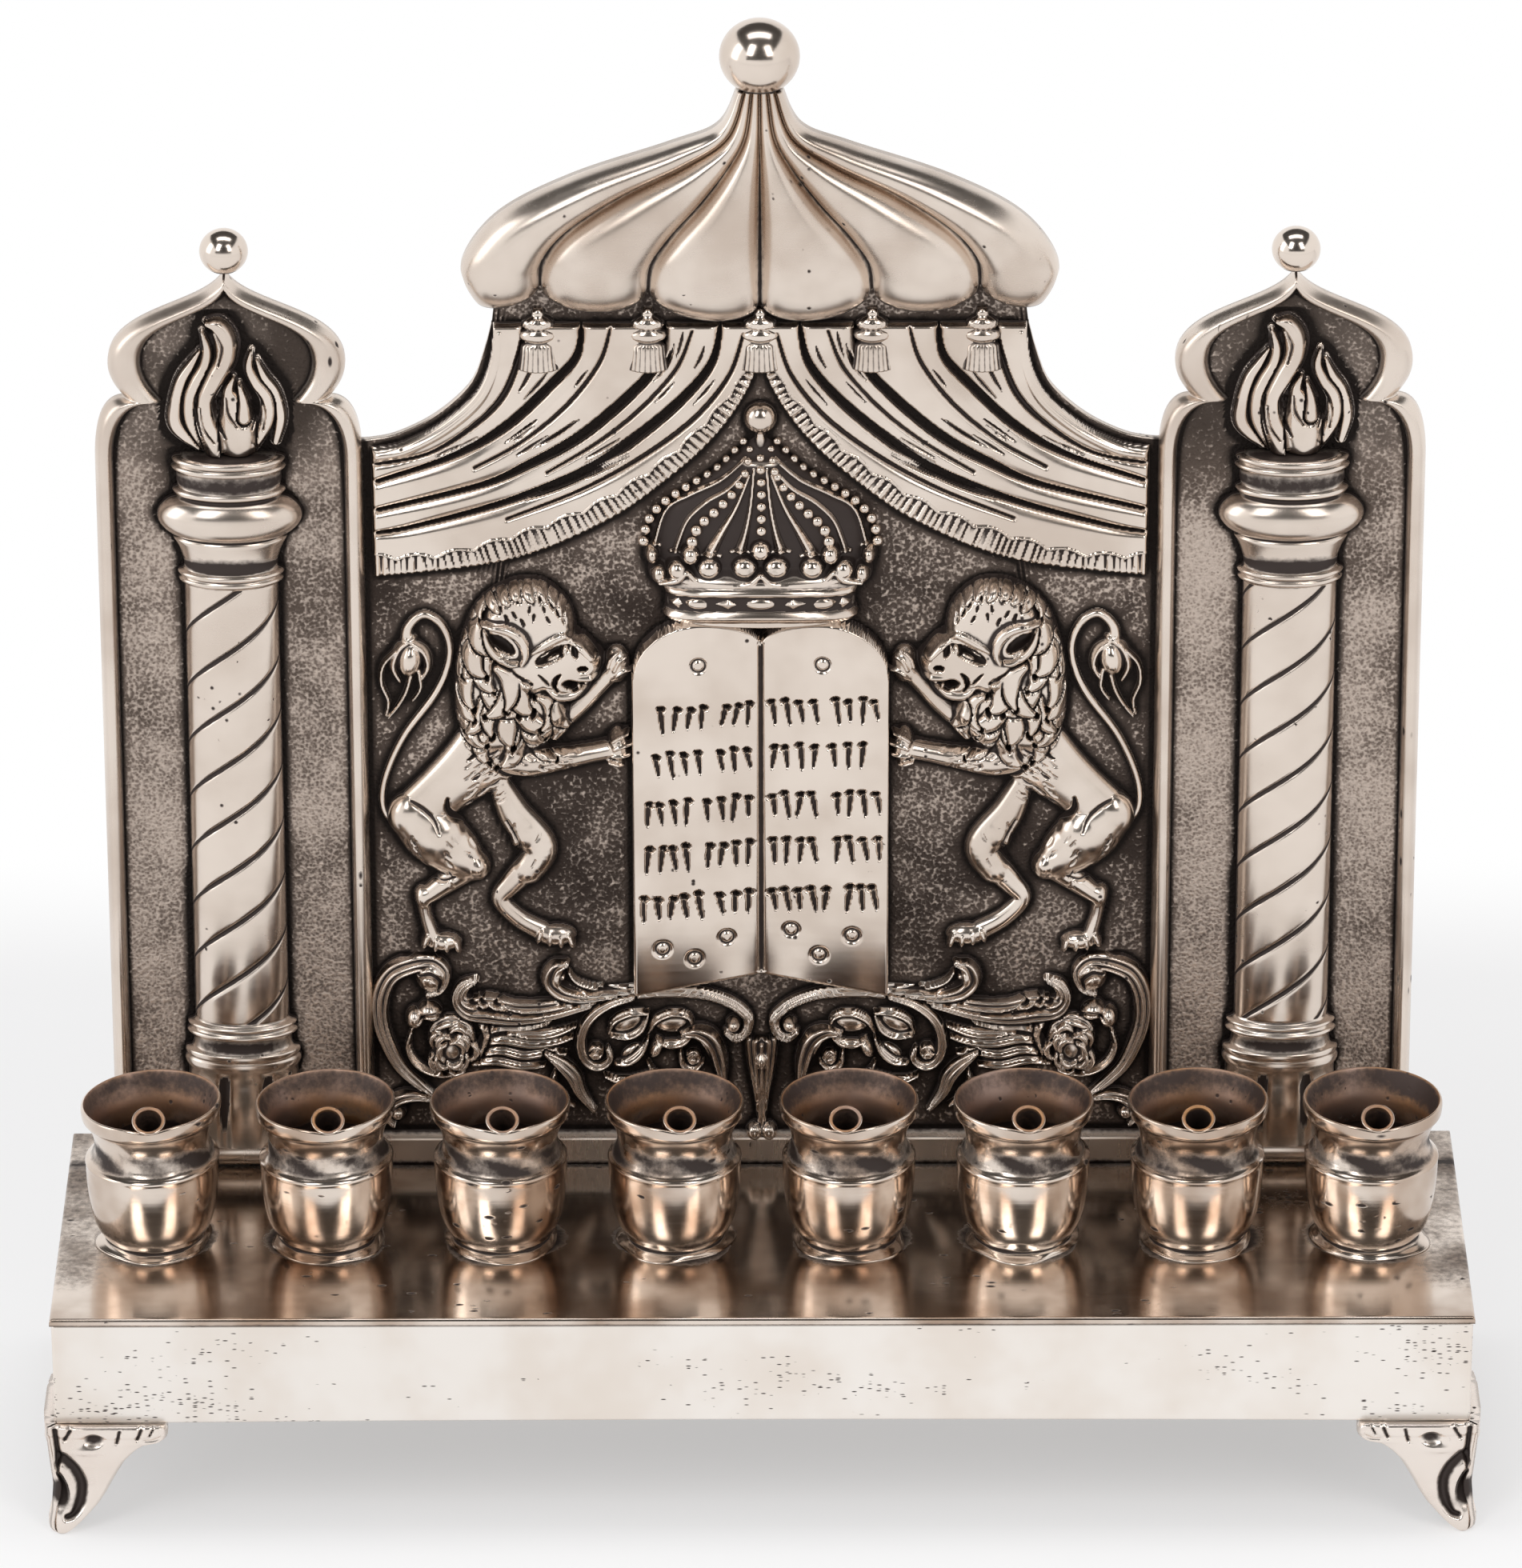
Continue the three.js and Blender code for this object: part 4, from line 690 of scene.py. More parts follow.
def mark_hollows(obj, rounds, scale, darkening):
    """Stores how far each point lies below the average of what is round it, along its normal."""
    mesh = obj.data
    count = len(mesh.vertices)
    co, normals = np.zeros(count * 3), np.zeros(count * 3)
    edges = np.zeros(len(mesh.edges) * 2, int)
    mesh.vertices.foreach_get("co", co)
    mesh.vertices.foreach_get("normal", normals)
    mesh.edges.foreach_get("vertices", edges)
    co, normals = co.reshape(-1, 3), normals.reshape(-1, 3)
    first, second = edges.reshape(-1, 2).T
    ends, others = np.concatenate([first, second]), np.concatenate([second, first])
    links = np.maximum(np.bincount(ends, minlength=count), 1)
    average = co.copy()
    for _ in range(rounds):
        average = np.stack([np.bincount(ends, average[others, axis], count) / links
                            for axis in range(3)], -1)
    hollow = ((average - co) * normals).sum(1) / (scale * MM) + darkening
    mark_points(mesh, "hollow", np.clip(hollow, -2, 2))


def worn_piece(name, node, points, faces, finish, rounds, scale, darkening=0.0):
    """A piece whose hollows are found from its own shape."""
    obj = piece(name, node, points, faces, finish)
    mark_hollows(obj, rounds, scale, darkening)
    return obj


# Bench

CUP_COUNT = 8
SHEET_ROLL = 0.55
CUP_PLACES = []
for number in range(1, CUP_COUNT + 1):
    low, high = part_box(f"oil_cup_{number}")
    CUP_PLACES.append(((low.x + high.x) / 2 / MM, (low.y + high.y) / 2 / MM))


def even(low, high, pitch):
    """Even steps from low to high, about a pitch apart."""
    return np.linspace(low, high, max(2, int(round((high - low) / pitch)) + 1))


def rolled_steps(low, high, pitch, radius):
    """Places from one edge to the other, close together where the edge is rolled."""
    edge = radius * np.array([0, 0.08, 0.25, 0.5, 0.8, 1.2])
    return np.concatenate([low + edge, even(low + 2 * radius, high - 2 * radius, pitch),
                           high - edge[::-1]])


def make_bench_top():
    """The top sheet: rolled edges, slight waves, and darkening round cups and plate."""
    low, high = [np.array(corner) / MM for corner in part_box("bench_top")]
    xs, ys = [rolled_steps(low[axis], high[axis], 0.9, SHEET_ROLL) for axis in (0, 1)]
    x, y = np.meshgrid(xs, ys)
    edge = np.minimum(np.minimum(x - low[0], high[0] - x), np.minimum(y - low[1], high[1] - y))
    rolled = np.clip(SHEET_ROLL - edge, 0, None)
    drop = SHEET_ROLL - np.sqrt(np.clip(SHEET_ROLL**2 - rolled**2, 0, None))
    wave = 0.05 * np.sin(x / 17) * np.sin(y / 9 + 1) * smoothstep(0, 12, edge)
    top = high[2] - drop + wave - 0.05
    # Darker round the cups, along the foot of the plate, towards the back and at the back corners
    darkening = np.zeros(x.shape)
    for cup_x, cup_y in CUP_PLACES:
        away = np.hypot(x - cup_x, y - cup_y)
        ragged = 1.6 + 0.9 * np.sin(3 * np.arctan2(y - cup_y, x - cup_x) + cup_x)
        darkening = np.maximum(darkening, 0.85 * np.exp(-(np.clip(away - 8.6, 0, None) / ragged) ** 2))
    front = PLATE_FRONT / MM
    darkening = np.maximum(darkening, 0.9 * np.exp(-np.abs(y - front + 1) / 2.2))
    darkening = np.maximum(darkening, 0.25 * smoothstep(-14, 8, y))
    darkening = np.maximum(darkening, 0.5 * smoothstep(96, 112, np.abs(x)) * smoothstep(-32, -18, y))
    front_grid = np.stack([x, y, top], -1) * MM
    back_grid = np.stack([x, y, np.full(x.shape, low[2])], -1) * MM
    points, faces = shell(front_grid, back_grid)
    piece("bench_sheet", "bench_top", points, faces, BENCH_SHEET, marked(darkening - 0.1, 0.4))


# Steps along the bench's long and short walls
WALL_STEPS = (56, 16)


def rounded_ring(half_x, half_y, radius):
    """Points round a rectangle with rounded corners, anticlockwise from above."""
    ring = []
    middles = [(sx * (half_x - radius), sy * (half_y - radius))
               for sx, sy in ((1, 1), (-1, 1), (-1, -1), (1, -1))]
    for corner, (x, y) in enumerate(middles):
        arc = [(corner + step / 6) * math.pi / 2 for step in range(7)]
        ring += [(x + radius * math.cos(angle), y + radius * math.sin(angle)) for angle in arc]
        count = WALL_STEPS[corner % 2]
        x, y = middles[(corner + 1) % 4]
        start = ring[-1]
        end = (x + radius * math.cos(arc[-1]), y + radius * math.sin(arc[-1]))
        ring += [(start[0] + (end[0] - start[0]) * k / count,
                  start[1] + (end[1] - start[1]) * k / count) for k in range(1, count)]
    return ring


def ring_body(rings):
    """Points and faces through closed rings of as many points each, closed on the first ring."""
    around = len(rings[0])
    points = np.array([point for ring in rings for point in ring], float)
    index = np.arange(len(points)).reshape(len(rings), around)
    index = np.concatenate([index, index[:1]], 0)
    index = np.concatenate([index, index[:, :1]], 1)
    return points, quads_of(index)


def make_apron():
    """The wall band: a hemmed foot, a slight belly and a bow along each side."""
    low, high = [np.array(corner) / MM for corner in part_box("bench_apron")]
    half_x, half_y = high[0], high[1]
    height = high[2] - low[2]
    profile = [(0.5, 0), (0.2, -0.06), (0.04, -0.2), (0, -0.45)]
    profile += [(0.06 * math.sin(math.pi * k / 12), -0.45 - (height - 0.9) * k / 12)
                for k in range(1, 12)]
    profile += [(0, 0.45 - height), (0.05, 0.2 - height), (0.25, -height), (0.95, -height),
                (1.2, 0.25 - height), (1.2, -1.0), (1.1, 0)]
    rings = []
    for inset, down in reversed(profile):
        ring = rounded_ring(half_x - inset, half_y - inset, max(0.15, 0.7 - inset * 0.4))
        bow = [0.5 * (1 - (x / half_x) ** 2) * smoothstep(0.6, 1.0, -down / height)
               for x, y in ring]
        rings.append([(x, y, high[2] + down + lift) for (x, y), lift in zip(ring, bow)])
    points, faces = ring_body(rings)
    worn_piece("bench_wall", "bench_apron", points * MM, faces, BENCH_WALL, 4, 0.6)


# Oil cups and wick tubes, in millimetres

CUP_OUTSIDE = [(0, 0.02), (8.0, 0.02), (8.3, 0.06), (8.42, 0.25), (8.38, 0.55), (8.1, 0.75),
               (7.85, 0.95), (8.0, 1.2), (8.7, 2.1), (9.55, 3.8), (10.15, 5.9), (10.52, 8.4),
               (10.75, 11.0), (10.85, 13.2), (10.88, 14.5), (10.95, 14.9), (10.94, 15.2),
               (10.7, 15.5), (10.2, 15.85), (9.75, 16.4), (9.5, 17.2), (9.36, 18.3),
               (9.45, 19.4), (9.8, 20.7), (10.3, 21.8), (10.72, 22.5), (11.0, 22.8),
               (11.22, 23.1), (11.34, 23.6), (11.4, 24.3), (11.38, 24.9), (11.24, 25.22)]
CUP_INSIDE_LINE = [(11.02, 25.28), (10.86, 25.18), (10.6, 24.7), (10.1, 23.6), (9.5, 22.2),
                   (9.0, 20.8), (8.78, 19.4), (8.72, 17.8), (9.1, 16.6), (9.9, 15.4),
                   (10.15, 13.6), (10.15, 11.6), (9.9, 9.4), (9.3, 6.6), (8.4, 4.0), (7.2, 2.4),
                   (5.0, 1.75), (2.5, 1.5), (0, 1.42)]
CUP_TURNS_DEGREES = [1, 5, 4, 6, -4, 4, -2, 2]
CUP_TILTS = [0.055, 0.03, 0.0, -0.01, 0.01, 0.0, 0.012, -0.008]
CUP_SIDES = 96
TUBE_SIDES = 40
TUBE_LEAN = math.radians(30)
TUBE_MOUTH_OUT = 9.1
TUBE_MOUTH_HEIGHT = 26.15
TUBE_LENGTH = 24.5
TUBE_RADIUS = 2.75
TUBE_BORE = 2.05


def refined(profile, steps):
    """A smooth profile that starts and ends on the axis."""
    smooth = spline(profile, steps)
    smooth[:, 0] = np.clip(smooth[:, 0], 0, None)
    smooth[0, 0] = smooth[-1, 0] = 0
    return [(float(radius), float(height)) for radius, height in smooth]


def on_bench(points, number):
    """Moves points in millimetres to the place of a cup, and turns them as that cup is turned."""
    turn = math.radians(CUP_TURNS_DEGREES[number - 1])
    c, s = math.cos(turn), math.sin(turn)
    moved = np.stack([points[:, 0] * c - points[:, 1] * s, points[:, 0] * s + points[:, 1] * c,
                      points[:, 2]], -1)
    x, y = CUP_PLACES[number - 1]
    return moved * MM + (x * MM, y * MM, BENCH_TOP)


def make_cup(number):
    """A spun cup with solder at its foot, a lip dented by its tube, and a tilt."""
    rng = np.random.default_rng(40 + number)
    phases = rng.uniform(0, 2 * math.pi, 6)
    profile = refined(CUP_OUTSIDE + CUP_INSIDE_LINE, 2)
    rim = max(range(len(profile)), key=lambda k: profile[k][1])

    def wobble(radius, height, angle):
        pool = sum(math.sin((k + 2) * angle + phases[k]) / (k + 2) for k in range(5))
        solder = (0.9 + 0.8 * pool) * max(0, 1 - height / 0.5) if radius > 8.2 else 0
        dent = 0.05 * math.sin(2 * angle + phases[5]) * smoothstep(16, 25, height)
        return float(solder + dent)

    points, faces = turned(profile, CUP_SIDES, wobble)
    x, y, z = points.T
    # The lip dips where the tube leans on it, and the hand-made cups don't stand quite upright
    turn = np.arctan2(x, -y)
    on_lip = np.clip((z - 22.5) / 2.5, 0, 1) * (np.hypot(x, y) > 9)
    dip = 0.55 * np.exp(-(turn / 0.24) ** 2) * on_lip
    points[:, 2] = z - dip + CUP_TILTS[number - 1] * x * z / 25
    neck = np.exp(-((z - 17.6) / 1.7) ** 2) + 1.2 * np.exp(-((z - 1.0) / 0.35) ** 2)
    darkening = neck * (0.45 + 0.45 * np.sin(turn * 2 + phases[0]) * np.sin(turn * 5 + phases[1] + z))
    obj = worn_piece(f"spun_cup_{number}", f"oil_cup_{number}", on_bench(points, number), faces,
                     CUP, 10, 0.22, darkening)
    second_finish(obj, CUP_INSIDE, [face // CUP_SIDES >= rim for face in range(len(faces))])


def make_tube(number):
    """A thin leaning tube with a rounded mouth."""
    rings = []
    lengths = [0.8] + [2 + 2.5 * k for k in range(9)] + [TUBE_LENGTH]
    outer = [(TUBE_RADIUS - 0.18, 0), (TUBE_RADIUS - 0.04, 0.1), (TUBE_RADIUS, 0.3)]
    outer += [(TUBE_RADIUS, down) for down in lengths]
    inner = [(TUBE_BORE, down) for down in reversed(lengths)]
    inner += [(TUBE_BORE, 0.3), (TUBE_BORE + 0.05, 0.1), (TUBE_BORE + 0.18, 0)]
    lean = Matrix.Rotation(TUBE_LEAN, 4, "X")
    for radius, down in outer + inner:
        ring = []
        for step in range(TUBE_SIDES):
            angle = -step / TUBE_SIDES * 2 * math.pi
            spot = lean @ Matrix.Translation((0, 0, -down)) @ Matrix.Translation(
                (radius * math.cos(angle), radius * math.sin(angle), 0))
            ring.append(tuple(spot.translation))
        rings.append(ring)
    points, faces = ring_body(rings)
    points = points + (0, -TUBE_MOUTH_OUT, TUBE_MOUTH_HEIGHT)
    obj = worn_piece(f"soldered_tube_{number}", f"wick_tube_{number}", on_bench(points, number),
                     faces, CUP, 8, 0.3)
    second_finish(obj, CUP_INSIDE, [face // TUBE_SIDES > len(outer) for face in range(len(faces))])


# Lions, in picture points of column, row and width

LION_RISE = 4.6
LION_LIMBS = {
    "tail": (0.3, [(512, 1046, 12), (487, 1022, 9), (487, 984, 9), (511, 929, 9), (553, 872, 10),
                   (569, 826, 10), (560, 792, 11), (536, 777, 11), (516, 795, 14),
                   (518, 822, 22)]),
    "far_thigh": (0.6, [(632, 990, 30), (650, 1026, 42), (680, 1066, 46), (668, 1094, 38)]),
    "far_shin": (0.45, [(672, 1086, 38), (646, 1112, 30), (632, 1132, 24), (654, 1156, 24),
                        (684, 1172, 26)]),
    "raised_leg": (0.45, [(690, 922, 30), (728, 892, 26), (750, 870, 24), (768, 850, 26)]),
    "torso": (0.75, [(632, 930, 96), (600, 962, 84), (562, 994, 68), (528, 1028, 70)]),
    "thigh": (0.9, [(520, 1026, 60), (548, 1050, 76), (582, 1076, 60), (602, 1090, 36)]),
    "shin": (0.6, [(600, 1086, 36), (568, 1107, 31), (536, 1129, 24)]),
    "hock": (0.45, [(535, 1124, 23), (538, 1150, 17), (546, 1176, 20)]),
    "foreleg": (0.8, [(632, 946, 50), (664, 958, 42), (706, 955, 31), (745, 948, 26),
                      (770, 943, 27)]),
}
LION_BOSSES = [
    (0.75, (779, 938, 14, 23)), (0.55, (777, 838, 17, 24)), (0.5, (560, 1184, 24, 12)),
    (0.5, (700, 1176, 27, 14)),
]
MANE = [(658, 728), (630, 738), (604, 758), (588, 788), (578, 824), (575, 866), (577, 905),
        (592, 936), (618, 948), (650, 944), (680, 936), (704, 918), (718, 892), (710, 868),
        (722, 780), (700, 740)]
HEAD = [(614, 762), (627, 742), (645, 733), (664, 729), (684, 731), (699, 740), (712, 751),
        (721, 765), (725, 781), (728, 794), (738, 798), (748, 808), (755, 820), (753, 832),
        (747, 843), (741, 851), (735, 862), (721, 872), (706, 874), (692, 868), (676, 872),
        (656, 864), (642, 846), (626, 824), (612, 796), (606, 778)]
FOREHEAD_TICKS = [(633, 757, 20), (650, 764, -30), (669, 757, 10), (674, 767, 10), (687, 757, -20),
                  (697, 755, -30), (682, 746, 0), (655, 746, 30), (640, 768, -20), (704, 763, -30),
                  (660, 773, -25), (692, 770, -30), (712, 772, -20)]
CROWN_TUFTS = [(708, 764, -100), (700, 752, -120), (688, 746, -132), (672, 746, -145),
               (656, 746, -152), (642, 750, -160), (630, 760, -170)]
LION_CREASES = [
    ([(566, 1000, 4), (566, 1014, 9), (574, 1024, 9), (588, 1029, 7), (600, 1026, 4)], 1.3),
    ([(520, 1004, 4), (536, 1012, 6), (550, 1026, 5), (556, 1040, 3)], 0.5),
    ([(620, 950, 4), (626, 962, 7), (642, 974, 7), (668, 976, 4)], 0.9),
    ([(640, 1030, 4), (654, 1056, 6), (652, 1068, 9), (648, 1078, 4)], 0.7),
    ([(524, 1084, 3), (540, 1098, 6), (560, 1104, 5), (576, 1098, 3)], 0.6),
]
CLAW_ROOTS = [(540, 1180, -24), (552, 1184, -8), (564, 1186, 6), (576, 1186, 20),
              (682, 1174, -20), (694, 1178, -6), (706, 1180, 8), (718, 1180, 22)]
# Short ticks of hair: how many, between which columns and rows, and two steps along each
HAIR_PATCHES = [
    (46, (596, 640), (930, 1004), (-5, 5), (-11, 8)),
    (24, (506, 532), (1040, 1096), (1, 7), (5, 13)),
    (26, (640, 730), (938, 968), (4, 3), (9, 3)),
    (12, (544, 600), (1028, 1104), (3, 6), (7, 10)),
    (8, (640, 690), (1000, 1100), (-2, 6), (-5, 10)),
]
PAW_FINGERS = [
    [(772, 928, 8), (782, 922, 8), (791, 920, 5)], [(774, 937, 9), (786, 934, 8), (795, 933, 5)],
    [(772, 946, 8), (784, 946, 8), (793, 946, 5)], [(768, 954, 7), (778, 957, 7), (786, 958, 4)],
    [(766, 838, 8), (770, 828, 7), (778, 821, 5)], [(774, 842, 8), (780, 831, 8), (789, 826, 5)],
    [(777, 848, 8), (786, 843, 7), (795, 842, 5)],
]


def lock(column, row, way_degrees, length, width, bend):
    """One curl of a mane: a tapered strand that leaves one way and bends over."""
    points = []
    angle = math.radians(way_degrees)
    for part in (0.5, 0.9, 1.0, 0.75, 0.15):
        points.append((column, row, width * part))
        angle += math.radians(bend) / 4
        column += math.cos(angle) * length / 4
        row += math.sin(angle) * length / 4
    return points


def mane_locks(rng):
    """Curls from the chest up to the crown of the head, each lying on the ones below it."""
    locks = []
    for index, row in enumerate(np.arange(926, 742, -19)):
        low = np.interp(row, [738, 770, 820, 880, 928], [622, 596, 580, 578, 594])
        high = np.interp(row, [738, 758, 778, 812, 846, 866, 880, 900, 928],
                         [640, 622, 608, 618, 640, 668, 704, 706, 684])
        for column in np.arange(low + 4 + 12 * (index % 2), high, 24):
            column, line = column + rng.uniform(-4, 4), row + rng.uniform(-4, 4)
            back = np.clip((628 - column) / 50, 0, 1)
            way = 84 + 20 * back + 60 * smoothstep(800, 745, line) + rng.uniform(-34, 34)
            bend = (-1 if (index + round(column / 24)) % 3 else 1) * rng.uniform(70, 150)
            size = 1.1 - 0.25 * smoothstep(800, 760, line)
            locks.append(lock(column, line - 18, way - bend * 0.45, rng.uniform(40, 56) * size,
                              rng.uniform(15, 24) * size, bend))
    return locks


def make_lions():
    """A rampant lion, the left one of the pair."""
    rng = np.random.default_rng(7)
    relief = Relief((462, 806), (714, 1206), pitch=0.2, rise=LION_RISE)
    for name, (share, points) in LION_LIMBS.items():
        blend = 0.0 if name in ("tail", "far_thigh", "raised_leg", "thigh", "foreleg") else 0.9
        relief.strand(points, LION_RISE * share, blend=blend, taper=0.4)
    for share, place in LION_BOSSES:
        relief.boss(place, LION_RISE * share, blend=0.8)
    relief.boss((662, 1050, 22, 16, 60), LION_RISE * 0.62, blend=0.8)
    relief.boss((556, 1050, 34, 30, 30), LION_RISE * 0.98, blend=0.8)
    relief.boss((604, 1086, 14, 14), LION_RISE * 0.8, blend=0.8)
    # Tail tuft: a bud with side petals and trailing strands
    for points in ([(523, 806, 12), (506, 818, 16), (498, 840, 14), (506, 860, 6)],
                   [(514, 806, 12), (536, 822, 16), (541, 842, 13), (530, 862, 5)],
                   [(500, 822, 9), (486, 838, 9), (483, 860, 8), (492, 884, 6), (489, 902, 4)],
                   [(520, 852, 9), (514, 872, 8), (504, 890, 6), (492, 905, 4)],
                   [(530, 846, 8), (532, 868, 6), (522, 884, 4)]):
        relief.strand(points, LION_RISE * 0.42, ridged_form, taper=0.5)
    relief.boss((519, 832, 15, 22, -8), LION_RISE * 0.62, blend=0.3)
    # Mane and head
    relief.dome(MANE, LION_RISE * 0.98, 26, blend=0.8, reach=30)
    ground = relief.height.copy()
    face = relief.inside(HEAD)
    skull = LION_RISE * 1.14 * np.sqrt(1 - (1 - np.clip(face / 19, 0, 1)) ** 2)
    moated = np.minimum(relief.height, ground - 0.5)
    relief.change(face > -2.5, np.where(face > 0, skull, moated))
    ground = np.maximum(ground, np.where(face > 0, skull, 0))
    bare = relief.height.copy()
    for points in mane_locks(rng):
        relief.shingle(ground, points, rng.uniform(0.9, 1.3), 1.7)
        column, row, _ = points[-1]
        relief.dent((column, row + 2, rng.uniform(2.2, 4), rng.uniform(4, 7),
                     rng.uniform(-50, 50)), 2.0, power=0.5)
    for column, row, way in CROWN_TUFTS:
        relief.shingle(ground - 0.3, lock(column, row, way, 24, 13, 70), 0.7, 1.4)
    outside = np.maximum(relief.inside(MANE), relief.inside(HEAD)) < 0
    astray = outside & ((relief.column < 596) | (relief.row < 770))
    relief.change(astray, bare)
    # Brow, bridge of the nose, nostril, cheek and short ticks of hair over the forehead
    relief.pile([[(667, 813, 4), (688, 801, 9), (709, 790, 10), (720, 793, 6)],
                 [(723, 798, 8), (737, 806, 13), (749, 819, 12)]], 0.8)
    relief.boss((736, 832, 14, 12), 0.8, foot=LION_RISE * 0.96, blend=0.4)
    relief.dent((735, 832, 7, 4.5), 2.2, power=0.5)
    relief.boss((672, 842, 26, 15, 15), 0.5, foot=LION_RISE * 1.04, blend=0.6)
    for column, row, turn in FOREHEAD_TICKS:
        relief.dent((column, row, 2.2, 6, -turn), 0.7, power=0.5)
    # Eye and its lower lid in a dark slanting socket
    relief.dent((698, 814, 25, 8.5, 27), 2.6, power=0.5)
    relief.dent((725, 811, 4.5, 8, 20), 1.6, power=0.5)
    relief.boss((713, 809, 4.5, 8, -8), 1.6, foot=LION_RISE * 0.8)
    relief.boss((698, 820, 10, 2.6, 24), 0.9, foot=LION_RISE * 0.78)
    relief.boss((686, 818, 9, 1.8, 27), 0.8, foot=LION_RISE * 0.72)
    # Open mouth between a curled lip and the jaw, with teeth
    relief.dent((722, 852, 14, 7.5, -14), 3.2, power=0.35)
    relief.dent((737, 856, 8, 6, 40), 2.8, power=0.4)
    relief.strand([(706, 858, 3), (708, 848, 6), (717, 842, 8), (730, 844, 8), (744, 844, 8)], 0.9,
                  foot=LION_RISE * 0.95, taper=0.3)
    relief.strand([(690, 857, 5), (704, 867, 11), (722, 866, 11), (733, 859, 6)], 1.0,
                  foot=LION_RISE * 0.9, taper=0.3)
    relief.boss((730, 855, 2.6, 3.6), 1.2, foot=3.0)
    relief.boss((739, 851, 2.4, 3.4), 1.2, foot=3.2)
    relief.carve([(707, 838, 3), (701, 846, 7), (700, 854, 6), (704, 860, 3)], 1.8, sharp=0.6)
    relief.carve([(680, 838, 2), (688, 846, 5), (693, 852, 3)], 0.9)
    relief.carve([(652, 838, 3), (664, 846, 6), (672, 850, 3)], 0.9)
    # Ear: an upper and a lower rim round a wide dark hollow
    relief.shingle(ground + 0.3, [(612, 784, 4), (617, 801, 9), (627, 815, 10), (642, 823, 9),
                                  (656, 822, 5)], 1.0, 2.0)
    relief.shingle(ground + 0.5, [(610, 776, 4), (628, 777, 10), (647, 783, 13), (660, 795, 13),
                                  (664, 811, 9), (659, 823, 4)], 1.2, 2.6)
    relief.dent((635, 801, 19, 8.5, -37), 2.8, power=0.4)
    # Paws and claws
    for finger in PAW_FINGERS:
        relief.strand(finger, LION_RISE * (0.82 if finger[0][1] > 900 else 0.62), taper=0.4)
    for column, row, way in CLAW_ROOTS:
        drop = math.radians(90 - way)
        relief.strand([(column, row - 4, 9), (column + 7 * math.cos(drop), row + 4, 10),
                       (column + 14 * math.cos(drop), row + 12, 3)], LION_RISE * 0.58, taper=0.5)
    # Creases, belly edge and short ticks of hair
    for points, depth in LION_CREASES:
        relief.carve(points, depth)
    ticks = []
    for count, columns, rows, (c1, r1), (c2, r2) in HAIR_PATCHES:
        for _ in range(count):
            column, row = rng.uniform(*columns), rng.uniform(*rows)
            ticks.append([(column, row, 2), (column + c1, row + r1, 5),
                          (column + c2, row + r2, 2)])
    for points in ticks:
        relief.carve(points, 0.26, steps=3)
    relief.cast_pair("chased_lion", "lion", RELIEF)
    return relief


# Scrollwork under the lions

SCROLL_RISE = 2.6
SCROLLS = [
    # The C-scroll, the long S-scroll with its leaf, the hook and the lower C
    (1.0, 2, [(541, 1243, 8), (556, 1234, 16), (560, 1216, 20), (545, 1203, 22), (520, 1206, 25),
              (495, 1218, 26), (482, 1243, 25), (481, 1274, 23), (489, 1302, 20), (506, 1333, 17),
              (532, 1357, 12), (550, 1370, 7)]),
    (1.0, 3, [(600, 1226, 10), (585, 1234, 18), (580, 1250, 22), (592, 1261, 32), (616, 1262, 40),
              (650, 1267, 34), (690, 1264, 28), (732, 1254, 23), (770, 1245, 19), (810, 1241, 16),
              (850, 1240, 15), (890, 1244, 14), (922, 1256, 14), (940, 1273, 14), (938, 1290, 13),
              (925, 1298, 12), (913, 1290, 9)]),
    (1.1, 1, [(714, 1204, 8), (699, 1210, 20), (694, 1226, 26), (707, 1240, 23), (732, 1246, 16),
              (762, 1244, 10), (800, 1240, 5)]),
    (0.9, 1, [(796, 1247, 8), (766, 1256, 13), (744, 1272, 15), (733, 1292, 15), (732, 1312, 15),
              (740, 1328, 14), (754, 1333, 13), (767, 1325, 10), (765, 1312, 6)]),
    (0.9, 1, [(548, 1374, 6), (522, 1370, 15), (500, 1376, 18), (488, 1392, 14), (498, 1406, 6)]),
    (1.15, 1, [(858, 1292, 6), (876, 1290, 18), (893, 1300, 27), (903, 1321, 24), (908, 1346, 14),
               (909, 1366, 6)]),
    (0.9, 2, [(688, 1318, 6), (706, 1330, 18), (722, 1346, 22), (731, 1366, 16), (748, 1388, 7)]),
]
